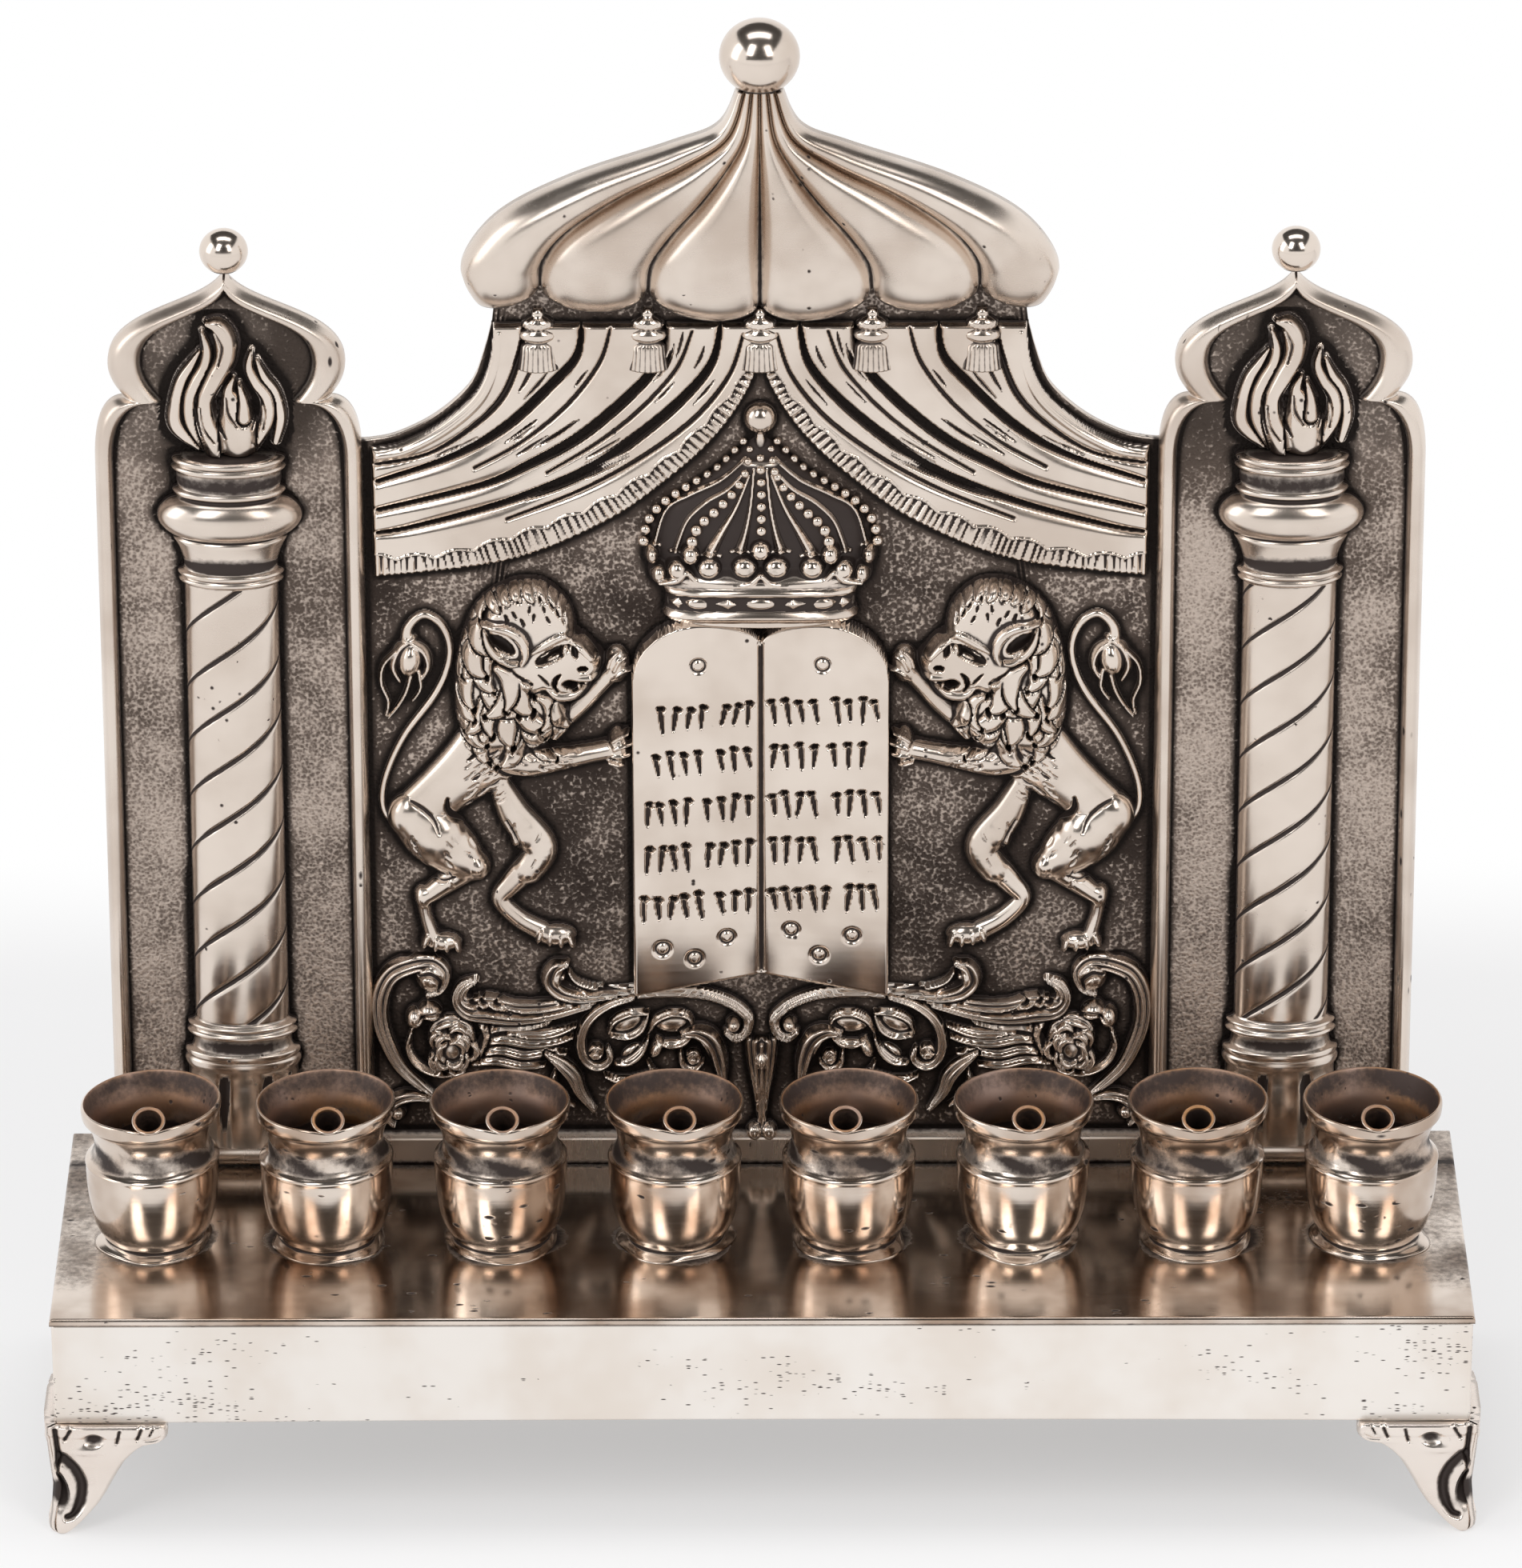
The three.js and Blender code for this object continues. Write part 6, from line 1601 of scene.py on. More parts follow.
TASSEL_PROFILE = [
    (1.0, 0.0), (1.0, 0.03), (0.95, 0.12), (0.9, 0.25), (0.85, 0.4), (0.7, 0.44), (0.62, 0.46),
    (0.66, 0.475), (0.86, 0.52), (0.93, 0.575), (0.86, 0.63), (0.66, 0.67), (0.6, 0.685),
    (0.72, 0.7), (0.78, 0.75), (0.74, 0.81), (0.5, 0.86), (0.32, 0.88), (0.3, 0.93), (0.26, 1.0),
]
SKIRT_TOP = 0.42
SKIRT_RIBS = 11
CAP_FOOT = 0.68
CAP_TOP = 0.83


def make_tassel(number, node):
    """A half-round tassel that fills the box of its node."""
    low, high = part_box(node)
    middle = (low.x + high.x) / 2
    tall = (high.z - low.z) / MM
    reach = (high.x - low.x) / 2 / MM
    deep = (high.y - low.y) / MM
    across = 72
    phase = np.random.default_rng(number).uniform(0, 6)
    front, hollow = [], []
    for share, up in TASSEL_PROFILE:
        row, marks = [], []
        for step in range(across + 1):
            angle = math.pi * (step / across - 0.5)
            rib = 0.0
            if up < SKIRT_TOP:
                rib = 0.06 * (abs(math.sin(angle * SKIRT_RIBS + phase)) - 1)
            elif CAP_FOOT < up < CAP_TOP:
                rib = 0.04 * math.sin(angle * 16 + up * 60)
            radius = reach * (share + rib * share)
            row.append((radius * math.sin(angle), -(deep - reach * 0.6) * 0.6
                        - (0.6 * radius + 0.35) * math.cos(angle), up * tall))
            # Painted shade down both sides, where the half round turns away
            edge = 1.2 * abs(math.sin(angle)) ** 8
            waist = math.exp(-((up - 0.455) / 0.02) ** 2)
            waist = waist + math.exp(-((up - CAP_FOOT) / 0.015) ** 2)
            marks.append(edge + 0.9 * waist - rib * 12)
        front.append(row)
        hollow.append(marks)
    front = np.array(front)
    front[..., 1] = np.maximum(front[..., 1], -deep)
    slab(f"chased_tassel_{number}", node, front, np.array(hollow), (middle, high.y, low.z),
         POLISHED)


# Flames over the columns

FLAME_RISE = 3.2
SHAFT_HALF = 58.5
PANEL_RISE = PANEL_SHEET + 0.6 * span(SHAFT_HALF, 730)
FLAME_TONGUES = [
    (0.7, [(360, 557, 10), (367, 527, 15), (361, 497, 14), (348, 477, 12), (339, 456, 4)]),
    (0.7, [(264, 563, 12), (237, 538, 20), (236, 510, 18), (244, 481, 16), (256, 462, 12),
           (267, 445, 4)]),
    (0.8, [(332, 562, 14), (350, 532, 18), (351, 504, 17), (337, 483, 15), (329, 464, 12),
           (332, 445, 4)]),
    (0.85, [(274, 564, 14), (256, 533, 19), (254, 504, 18), (262, 483, 18), (273, 463, 16),
            (277, 442, 13), (271, 420, 4)]),
    (1.0, [(288, 566, 34), (276, 534, 31), (273, 506, 25), (286, 478, 27), (299, 454, 28),
           (300, 430, 30), (291, 413, 22), (277, 409, 6)]),
    (1.0, [(313, 562, 46), (312, 536, 48), (308, 511, 34), (303, 493, 17), (309, 477, 4)]),
    (0.95, [(322, 526, 20), (321, 504, 14), (316, 485, 4)]),
]
FLAME_CUTS = [
    [(298, 550, 3), (286, 530, 7), (283, 506, 6), (293, 486, 3)],
    [(288, 420, 3), (296, 438, 6), (291, 460, 3)], [(268, 548, 3), (262, 520, 5), (264, 500, 3)],
    [(313, 536, 3), (302, 520, 6), (300, 500, 3)], [(331, 540, 3), (335, 524, 5), (330, 508, 3)],
    [(284, 556, 2), (270, 536, 5), (267, 512, 3)], [(345, 540, 3), (347, 516, 5), (338, 494, 3)],
]


def make_flame(side, sign):
    """Tongues of flame, each laid over the ones behind it."""
    relief = Relief((216, 380), (400, 573), PANEL_MIDDLE_COLUMN, pitch=0.16,
                    offset=sign * PANEL_MIDDLE, rise=PANEL_RISE)
    for share, points in FLAME_TONGUES:
        relief.strand([(column, row, width + 6) for column, row, width in points],
                      FLAME_RISE * 0.45 * share, taper=0.4)
    ground = relief.height.copy()
    for share, points in FLAME_TONGUES:
        relief.shingle(ground, points, FLAME_RISE * share * 0.55, 1.2, grooved_form(1, 0.16), 8)
    for points in FLAME_CUTS:
        relief.carve(points, 0.7, sharp=0.7)
    relief.change(relief.z < height_of(572), EMPTY)
    relief.cast(f"chased_flame_{side}", f"flame_{side}", PANEL_FRONT, RELIEF)
    return relief


# Side panels: an ogee arch with a rolled band, a stippled ground, and a turned column

STRIP_HEIGHT = 5.5
ARCHES = {
    "outer": (21.5, 0.76, 0.885, 565, 489, 447, 332, 0.0),
    "inner": (18.4, 0.55, 0.73, 565, 492, 443, 356, STRIP_HEIGHT),
}


def bezier(points, steps):
    """Points of a curve from two ends and one or two controls, without its start."""
    points = np.asarray(points, float)
    made = []
    for step in range(1, steps + 1):
        t, level = step / steps, points
        while len(level) > 1:
            level = level[:-1] + (level[1:] - level[:-1]) * t
        made.append(level[0])
    return made


def arch_outline(kind, steps=16):
    """The loop of an arch about its own middle, anticlockwise seen from the front."""
    half, cusp_share, lobe_share, shoulder, cusp, lobe, peak, foot = ARCHES[kind]
    shoulder, cusp, lobe, peak = [height_of(row) for row in (shoulder, cusp, lobe, peak)]
    lobe_half, cusp_half, throat = half * lobe_share, half * cusp_share, half * 0.12
    swept = lobe + (peak - lobe) * 0.6
    loop = [np.array((0.0, foot))]
    for count, controls in (
            (1, [(0, foot), (half, foot)]),
            (5, [(half, foot), (half, shoulder)]),
            (1, [(half, shoulder), (half, cusp), (cusp_half, cusp)]),
            (1, [(cusp_half, cusp), (lobe_half, (cusp + lobe) / 2), (lobe_half, lobe)]),
            (2, [(lobe_half, lobe), (lobe_half, swept), (throat, swept), (0, peak)])):
        loop += bezier(controls, steps * count)
    right = np.array(loop)
    left = right[1:-1][::-1] * (-1, 1)
    return np.concatenate([right, left])


BAND_PROFILE = [(0.0, -SINK), (0.0, 0.4), (0.0, 1.0), (0.005, 1.35), (0.04, 1.8), (0.12, 2.5),
                (0.22, 3.1), (0.34, 3.5), (0.46, 3.68), (0.56, 3.7), (0.68, 3.58), (0.79, 3.2),
                (0.87, 2.6), (0.92, 2.0), (0.96, 1.5), (1.0, 1.0), (1.0, 0.2)]
BAND_HOLLOWS = [0.2, 0.3, 0.25, 0.15, 0.1, -0.05, -0.2, -0.3, -0.3, -0.3, -0.25, -0.05, 0.25, 0.6,
                1.1, 0.2, 0.2]


def make_panel(side, sign, shadows):
    """An arched sheet with a rolled band, with painted shade round what stands on it."""
    outer, inner = arch_outline("outer"), arch_outline("inner")
    rings, marks = [], []
    for (share, height), hollow in zip(BAND_PROFILE, BAND_HOLLOWS):
        loop = outer + (inner - outer) * share
        rings.append([(x, -height, z) for x, z in loop])
        marks += [hollow] * len(loop)
    points, faces = ring_body(rings)
    # The ground fills the band, its edge hidden under it
    steps = np.linspace(-1, 1, 78)
    loop = outer + (inner - outer) * 0.75
    side_line = loop[:len(loop) // 2 + 1]
    side_line = side_line[np.argsort(side_line[:, 1])].T
    rows = []
    for height in np.linspace(1.2, loop[:, 1].max() - 0.15, 250):
        reach = max(0.15, np.interp(height, side_line[1], side_line[0]))
        if height < STRIP_HEIGHT + 3:
            reach = ARCHES["outer"][0] - 1.2
        rows.append(np.stack([steps * reach, np.full(len(steps), height)], -1))
    grid = np.array(rows)
    x, z = grid[..., 0], grid[..., 1]
    rng = np.random.default_rng(3 + (sign > 0))
    ground = PANEL_SHEET + blurred(rng.normal(0, 1, x.shape), 1) * 0.09
    ground = ground + smoothstep(STRIP_HEIGHT + 0.4, STRIP_HEIGHT - 0.1, z) * 1.1
    # Painted shade on the ground along the band, and round the flame and the column that stand on
    # it
    from_band = np.interp(z, side_line[1], side_line[0]) - np.abs(x)
    hollow = 1.1 * np.exp(-(np.clip(from_band - 0.35, 0, None) / 0.8) ** 2)
    for relief in shadows:
        near = relief.footprint(x + sign * PANEL_MIDDLE, z, 0.9)
        hollow = np.maximum(hollow, 1.15 * np.clip(near * 2.2, 0, 1))
    # Darker over the ground from the head of the column up
    hollow = hollow + 0.45 * smoothstep(118, 134, z)
    front_grid = np.stack([x, -ground, z], -1)
    back_grid = np.stack([x, np.full(x.shape, SINK), z], -1)
    more_points, more_faces = shell(front_grid, back_grid)
    band_faces = len(faces)
    faces = np.concatenate([faces, more_faces + len(points)])
    points = np.concatenate([points, more_points])
    points = points * MM + (sign * PANEL_MIDDLE * MM, PLATE_FRONT, BENCH_TOP)
    obj = piece(f"arched_panel_{side}", f"column_panel_{side}", points, faces, BAND,
                np.concatenate([marks, marked(hollow)]))
    in_ground = np.zeros(len(faces), bool)
    in_ground[band_faces:band_faces + quad_count(front_grid)] = True
    second_finish(obj, RUBBED_GROUND, in_ground)


def quad_count(grid):
    """How many faces the front of a grid has."""
    return (grid.shape[0] - 1) * (grid.shape[1] - 1)


def bead(first, last, half, swell, steps=7):
    """Rows and half widths over a rounded ring between two picture rows."""
    return [(first + (last - first) * k / steps,
             half + swell * math.sin(math.pi * k / steps) ** 0.6) for k in range(steps + 1)]


COLUMN_PROFILE = (
    [(1425, 66), (1424, 68), (1350, 68), (1333, 68), (1331, 70.5)] + bead(1329, 1320, 71, 1.5)
    + [(1319, 70)] + bead(1318, 1310, 70, 2) + [(1309, 64), (1306, 62), (1300, 61), (1295, 62)]
    + bead(1293, 1285, 63, 6) + [(1284, 63)] + bead(1283, 1276, 62, 6) + [(1274, 59)])
COLUMN_HEAD_PROFILE = (
    [(731, 59)] + bead(730, 723, 61, 4.5) + bead(722, 714, 61, 5.5)
    + [(712, 58.5), (706, 58.5), (700, 60), (690, 63.5), (680, 68.5), (676, 71), (674, 71),
       (673, 66)]
    + bead(671, 624, 66, 25, 22) + [(622.5, 64)] + bead(621, 612, 65, 6) + [(611, 64), (606, 65.5),
                                                                      (598, 66), (592, 65)]
    + bead(591, 583, 67, 5) + bead(582, 574, 66, 5) + [(573, 60)])
SHAFT_ROWS = (1273, 732)
SLOT_COLUMNS = (277, 331)
SLOT_ROWS = (1394, 1340)
COLUMN_STEPS = 61
COLUMN_DEPTH_SHARE = 0.6
FLUTES = 8
FLUTE_CLIMB = 1.78


def make_column(side, sign):
    """A half column with spiral flutes, turned rings and a slotted plinth."""
    shaft = [(row, SHAFT_HALF) for row in np.linspace(*SHAFT_ROWS, 320)]
    profile = COLUMN_PROFILE + shaft + COLUMN_HEAD_PROFILE
    rows = np.array([row for row, half in profile])[:, None]
    halves = np.array([span(half, row) for row, half in profile])[:, None]
    angle = (np.linspace(0, 1, COLUMN_STEPS)[None] - 0.5) * math.pi
    z = np.repeat([[height_of(row)] for row in rows[:, 0]], COLUMN_STEPS, 1)
    radius = halves * np.ones_like(angle)
    pitch = (height_of(SHAFT_ROWS[1]) - height_of(SHAFT_ROWS[0])) / FLUTES
    lift = FLUTE_CLIMB * (angle / math.pi + 0.5)
    turn = (z - height_of(SHAFT_ROWS[0])) / pitch - lift + 0.35 * (sign > 0)
    gap = np.abs(turn - np.round(turn)) * pitch
    on_shaft = (rows > SHAFT_ROWS[1] + 1) & (rows < SHAFT_ROWS[0] - 1)
    slope = np.clip(np.cos(angle), 0.25, 1)
    line = np.where(on_shaft, np.exp(-(gap / (0.26 + 0.2 * slope)) ** 2), 0)
    depth = 0.5 + COLUMN_DEPTH_SHARE * radius * np.cos(angle) - 0.5 * line * slope
    depth = depth + np.where(
        on_shaft, 0.12 * np.sin(np.clip(gap / pitch * 2, 0, 1) * math.pi / 2), 0)
    x = radius * np.sin(angle)
    # Two sunk slots in the plinth
    for column in SLOT_COLUMNS:
        near = np.clip(1.4 - np.abs(x - span(column - PANEL_MIDDLE_COLUMN, 1366)) / 0.75, 0, 1)
        depth = depth - 0.9 * near * ((rows < SLOT_ROWS[0]) & (rows > SLOT_ROWS[1]))
    curvature = blurred(depth, 2) - depth
    hollow = curvature / 0.22 + line * 1.5 + 0.75 * np.clip(1 - np.cos(angle) * 6, 0, 1)
    hollow = hollow + 0.8 * ((rows < 611) & (rows > 592)) + 0.9 * ((rows < 712) & (rows > 704))
    slab(f"fluted_column_{side}", f"column_{side}", np.stack([x, -depth, z], -1), hollow,
         (sign * PANEL_MIDDLE * MM, PANEL_FRONT, BENCH_TOP + PANEL_RISE * PICTURE_LIFT * MM),
         COLUMN_METAL)


def column_shadow(sign):
    """The ground a column covers, as a relief of no more than its outline."""
    relief = Relief((200, 400), (570, 1415), PANEL_MIDDLE_COLUMN, pitch=0.4,
                    offset=sign * PANEL_MIDDLE, rise=PANEL_RISE)
    profile = COLUMN_PROFILE + [(SHAFT_ROWS[0], SHAFT_HALF), (SHAFT_ROWS[1], SHAFT_HALF)]
    profile += COLUMN_HEAD_PROFILE
    heights = [height_of(row) for row, half in profile]
    halves = [span(half, row) for row, half in profile]
    relief.height = np.interp(relief.z, heights, halves) - np.abs(relief.x)
    return relief


# Centre panel: a stippled sheet with hollow shoulders and a plain foot strip

SHOULDERS = [(630, 372), (622, 400), (611, 441), (594, 480), (551, 518), (502, 542), (466, 549)]
PANEL_HEAD = [(961, 130), (940, 135), (905, 165), (850, 190), (735, 232), (650, 280), (634, 330),
              (630, 372)]
CENTRE_SHEET = 1.75
# Half the width that is seen between the column panels
SEEN_HALF = 64
STRIP_RISE = 1.4


def make_centre(shadows):
    """The stippled sheet, with painted shade round the castings on it."""
    low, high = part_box("centre_panel")
    outline = np.concatenate([rim_curve(PANEL_HEAD, CROWN_MIDDLE, 10),
                              rim_curve(SHOULDERS, CARVING_MIDDLE, 10)])
    outline = outline[np.argsort(outline[:, 0])]
    xs = np.linspace(low.x / MM, high.x / MM, 168)
    tops = np.interp(-np.abs(xs), outline[:, 0], outline[:, 1])
    up = np.linspace(0, 1, 205)[:, None]
    strip_rows = 9
    z = np.concatenate([np.linspace(0, STRIP_HEIGHT + 0.3, strip_rows)[:, None] * np.ones(len(xs)),
                        STRIP_HEIGHT + 0.5 + (tops - STRIP_HEIGHT - 0.5) * up])
    x = xs * np.ones(z.shape)
    rng = np.random.default_rng(5)
    height = blurred(rng.normal(0, 1, z.shape), 1) * 0.12
    strip = smoothstep(STRIP_HEIGHT + 0.35, STRIP_HEIGHT - 0.1, z)
    inner = smoothstep(SEEN_HALF + 0.2, SEEN_HALF - 0.3, np.abs(x))
    height = height * (1 - strip) + STRIP_RISE * strip * inner
    hollow = np.zeros(z.shape)
    # Painted shade round the castings, along the edges of the column panels and along the top of
    # the foot strip
    for relief, sides in shadows:
        for mirrored in sides:
            near = relief.footprint(x, z, 0.8, mirrored)
            hollow = np.maximum(hollow, 1.15 * np.clip(near * 2.0, 0, 1))
    hollow = np.maximum(hollow, 1.2 * np.exp(-(np.abs(x) - SEEN_HALF) ** 2))
    hollow = np.maximum(hollow, 1.2 * np.exp(-((z - STRIP_HEIGHT - 0.6) / 0.7) ** 2))
    # The foot strip is darker towards its foot
    hollow = hollow * (1 - strip) + strip * (0.1 + 0.9 * smoothstep(1.2, 0.1, z))
    front = np.stack([x, -height, z], -1)
    obj = slab("stippled_plate", "centre_panel", front, hollow, (0, PLATE_FRONT, BENCH_TOP),
               GROUND, 0.35, CENTRE_SHEET)
    in_band = np.ones(len(obj.data.polygons), bool)
    in_band[(strip_rows - 1) * (len(xs) - 1):quad_count(front)] = False
    second_finish(obj, BAND, in_band)


# Feet: two scrolled wings that meet in a leaf on the corner

FOOT_THICK = 3.4
FOOT_TALL = 19.8
WING_EDGE = [(19.8, 20.0), (19.2, 20.35), (18.2, 20.38), (17.4, 20.1), (16.9, 19.5), (16.65, 18.8),
             (16.5, 17.6), (16.3, 17.0), (15.7, 16.0), (14.8, 14.95), (13.0, 13.3), (11.1, 12.2),
             (9.0, 11.1), (6.9, 10.0), (5.0, 8.8), (3.4, 7.4), (1.9, 6.0), (0.9, 5.0), (0.3, 4.3),
             (0.0, 4.0)]
FOOT_SCROLL = [(3.2, 13.9), (5.0, 12.0), (6.1, 9.3), (5.9, 6.2), (4.8, 3.7), (3.6, 3.0)]
FOOT_GAP = [(2.1, 19.2), (2.3, 16.4), (2.5, 13.6), (1.9, 11.6)]
FOOT_CURL = [(16.6, 17.3), (18.2, 17.4), (19.2, 18.2), (18.9, 19.2)]
FOOT_WEDGES = [((12.6, 19.2), (12.1, 17.0), 0.3), ((16.1, 19.4), (15.4, 17.6), 0.3),
               ((18.0, 19.4), (17.4, 18.2), 0.2), ((4.6, 19.3), (3.6, 17.4), 0.3)]
HEEL_EDGE = [(19.8, 0.0), (17.5, 0.0), (14.0, 0.35), (8.7, 0.85), (4.0, 0.5), (2.2, 0.2),
             (1.0, 0.25), (0.3, 0.6), (0.0, 0.9)]


def trail(u, z, points, width):
    """How near places are to a line through points, 1 on it."""
    curve = spline(points, 6)
    away = np.full(u.shape, 99.0)
    for (u0, z0), (u1, z1) in zip(curve, curve[1:]):
        du, dz = u1 - u0, z1 - z0
        t = np.clip(((u - u0) * du + (z - z0) * dz) / max(du * du + dz * dz, 1e-9), 0, 1)
        away = np.minimum(away, np.hypot(u - u0 - t * du, z - z0 - t * dz))
    return np.exp(-(away / width) ** 2)


def folded(wing):
    """A wing and its mirror image along the other wall, joined where they meet."""
    other = wing[:, ::-1, [1, 0, 2]]
    meet = (wing[:, :1] + other[:, -1:]) / 2
    return np.concatenate([other[:, :-1], meet, wing[:, 1:]], 1)


def make_foot(name, node, right, back):
    """A cast foot: the same wing along both walls of a corner."""
    rows, columns = 96, 70
    heights = np.linspace(0, 1, rows) ** 0.9 * FOOT_TALL
    edge = np.array(WING_EDGE)[::-1]
    heel = np.array(HEEL_EDGE)[::-1]
    outer = np.interp(heights, edge[:, 0], edge[:, 1])[:, None]
    inner = np.interp(heights, heel[:, 0], heel[:, 1])[:, None]
    z = heights[:, None] * np.ones((1, columns))
    share = np.linspace(0, 1, columns)[None]
    corner = 1.6
    u = inner + 0.29 * corner + (outer - inner - 0.29 * corner) * share
    near_corner = np.clip(corner - (u - inner), 0, None)
    d = inner + corner - np.sqrt(np.clip(corner**2 - near_corner**2, 0, None))
    # A swelling leaf, cut by a broad C-scroll, a drop-shaped pit and small wedges along its top
    from_edge = np.clip((outer - u) / 1.0, 0, None)
    round_off = 1.1 * np.clip(1 - from_edge / 0.9, 0, 1) ** 2
    swell = 0.75 * np.sin(np.clip((u - 1.5) / np.maximum(outer - 1.5, 2), 0, 1) * math.pi) ** 0.7
    scroll = trail(u, z, FOOT_SCROLL, 0.72 * smoothstep(1.5, 6.0, z) + 0.25)
    pit = np.exp(-(((u - 2.4 + (z - 8) * 0.08) / (1.5 - (z - 8) * 0.13)) ** 2
                   + ((z - 7.8) / 3.3) ** 2) ** 2)
    gap = trail(u, z, FOOT_GAP, 0.42)
    bowl = np.exp(-(((u - 8.4) / 1.7) ** 2 + ((z - 17.6) / 1.15) ** 2) ** 2)
    lip = np.exp(-(((u - 6.9) / 2.6) ** 2 + ((z - 15.5) / 0.8) ** 2))
    wedges = np.zeros(u.shape)
    for start, end, width in FOOT_WEDGES:
        middle = ((start[0] + end[0]) / 2, (start[1] + end[1]) / 2)
        wedges = np.maximum(wedges, trail(u, z, [start, middle, end], width))
    facets = smoothstep(17.6, 18.5, z) * 0.35
    curl = trail(u, z, FOOT_CURL, 0.25)
    raised = swell + lip * 0.5 + facets - scroll * 1.25 - pit * 1.2 - gap * 1.1 - bowl * 0.9
    raised = raised - wedges * 0.8 - curl * 0.35 - round_off
    straight = smoothstep(0.0, 1.2, u - inner)
    d = np.clip(d + 1.0 - raised * straight, 0.02, FOOT_THICK - 0.45)
    hollow = scroll * 1.5 + pit * 1.5 + gap * 1.5 + bowl + wedges * 1.3 + curl * 0.4
    hollow = hollow + 0.5 * smoothstep(0.6, 0.0, z)
    thick = np.minimum(FOOT_THICK, outer * 0.8)
    inside_u = thick + (np.maximum(outer, thick + 0.3) - thick) * share
    inside_u = np.minimum(inside_u, np.maximum(u, thick * 0.98 + 0.5 * share))
    marks = np.concatenate([hollow[:, ::-1], hollow[:, 1:]], 1)
    points, faces = shell(folded(np.stack([u, d, z], -1)),
                          folded(np.stack([inside_u, thick * np.ones_like(u), z], -1)))
    box_low, box_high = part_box(node)
    start_x = box_low.x if right > 0 else box_high.x
    start_y = box_low.y if back > 0 else box_high.y
    points = points * MM * (right, back, 1) + (start_x, start_y, 0)
    if right * back < 0:
        faces = faces[:, ::-1]
    piece(name, node, points, faces, FOOT, marked(marks, 0.6))


# Rear brackets with a slotted screw and a nut each

BRACKET_SHEET = 1.5
BRACKET_BEND = 1.9
SCREW_HEAD = 1.3
SCREW_TURNS = 12
SCREW_SIDES = 48
NUT_RADIUS = 2.9
NUT_BORE = 1.35


def make_bracket(side):
    """A bent strip between the plate and the bench."""
    low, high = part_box(f"bracket_{side}")
    middle = (low.x + high.x) / 2 / MM
    tall, out = (high.z - low.z) / MM, (high.y - low.y) / MM
    half = (high.x - low.x) / 2 / MM
    xs = np.array([-1, -0.96, -0.85, -0.5, 0, 0.5, 0.85, 0.96, 1]) * half
    grids = []
    for inset in (BRACKET_SHEET, 0):
        radius = BRACKET_BEND - inset
        path = [(inset, tall), (inset, tall * 0.6), (inset, BRACKET_BEND)]
        path += [(BRACKET_BEND - radius * math.cos(a), BRACKET_BEND - radius * math.sin(a))
                 for a in np.linspace(0, math.pi / 2, 7)[1:]]
        path += [(out * 0.7, inset), (out, inset)]
        grid = []
        for index, (y, z) in enumerate(path):
            narrow = 0.12 if index in (0, len(path) - 1) else 0
            grid.append([(x * (1 - narrow * abs(x / half) ** 3), y, z) for x in xs])
        grids.append(np.array(grid))
    points, faces = shell(*grids)
    points = (points + (middle, 0, 0)) * MM + (0, low.y, low.z)
    worn_piece(f"bent_bracket_{side}", f"bracket_{side}", points, faces, HARDWARE, 3, 0.5)


def make_screw(side):
    """A screw with a slotted dome and rolled thread."""
    low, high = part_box(f"bracket_screw_{side}")
    x, y = (low.x + high.x) / 2, (low.y + high.y) / 2
    radius = (high.x - low.x) / 2 / MM
    tall = (high.z - low.z) / MM
    head = tall - SCREW_HEAD
    profile = [(0, 0), (0.9, 0), (1.2, 0.25)]
    for turn in range(SCREW_TURNS):
        level = 0.4 + (head - 0.6) * turn / SCREW_TURNS
        profile += [(1.25, level), (1.05, level + 0.5 * (head - 0.6) / SCREW_TURNS)]
    profile += [(1.25, head), (radius - 0.1, head), (radius, head + 0.15)]
    profile += [(radius * math.cos(a), head + 0.2 + 1.1 * math.sin(a))
                for a in np.linspace(0.15, math.pi / 2 - 0.06, 9)] + [(0, tall)]
    points, faces = turned(profile, SCREW_SIDES)
    slot = (np.abs(points[:, 1]) < 0.42) & (points[:, 2] > head + 0.6)
    points[slot, 2] -= 0.5
    points = points * MM + (x, y, low.z)
    worn_piece(f"slotted_screw_{side}", f"bracket_screw_{side}", points, faces, HARDWARE, 3, 0.4)


def make_nut(side):
    """A hexagon nut with worn edges, bored through."""
    low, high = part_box(f"bracket_nut_{side}")
    x, y = (low.x + high.x) / 2, (low.y + high.y) / 2
    tall = (high.z - low.z) / MM
    turns = [k * math.pi / 18 for k in range(36)]
    sixth = math.pi / 3
    rings = []
    for share, level in ((0.9, 0), (1.0, 0.25), (1.0, tall - 0.25), (0.9, tall)):
        reaches = [NUT_RADIUS * share * math.cos(sixth / 2)
                   / math.cos((turn + sixth / 2) % sixth - sixth / 2) for turn in turns]
        rings.append([(reach * math.cos(turn), reach * math.sin(turn), level)
                      for reach, turn in zip(reaches, turns)])
    for level in (tall - 0.2, 0.2):
        rings.append([(NUT_BORE * math.cos(turn), NUT_BORE * math.sin(turn), level)
                      for turn in turns])
    points, faces = ring_body(rings)
    points = points * MM + (x, y, low.z)
    worn_piece(f"hexagon_nut_{side}", f"bracket_nut_{side}", points, faces, HARDWARE, 2, 0.4)


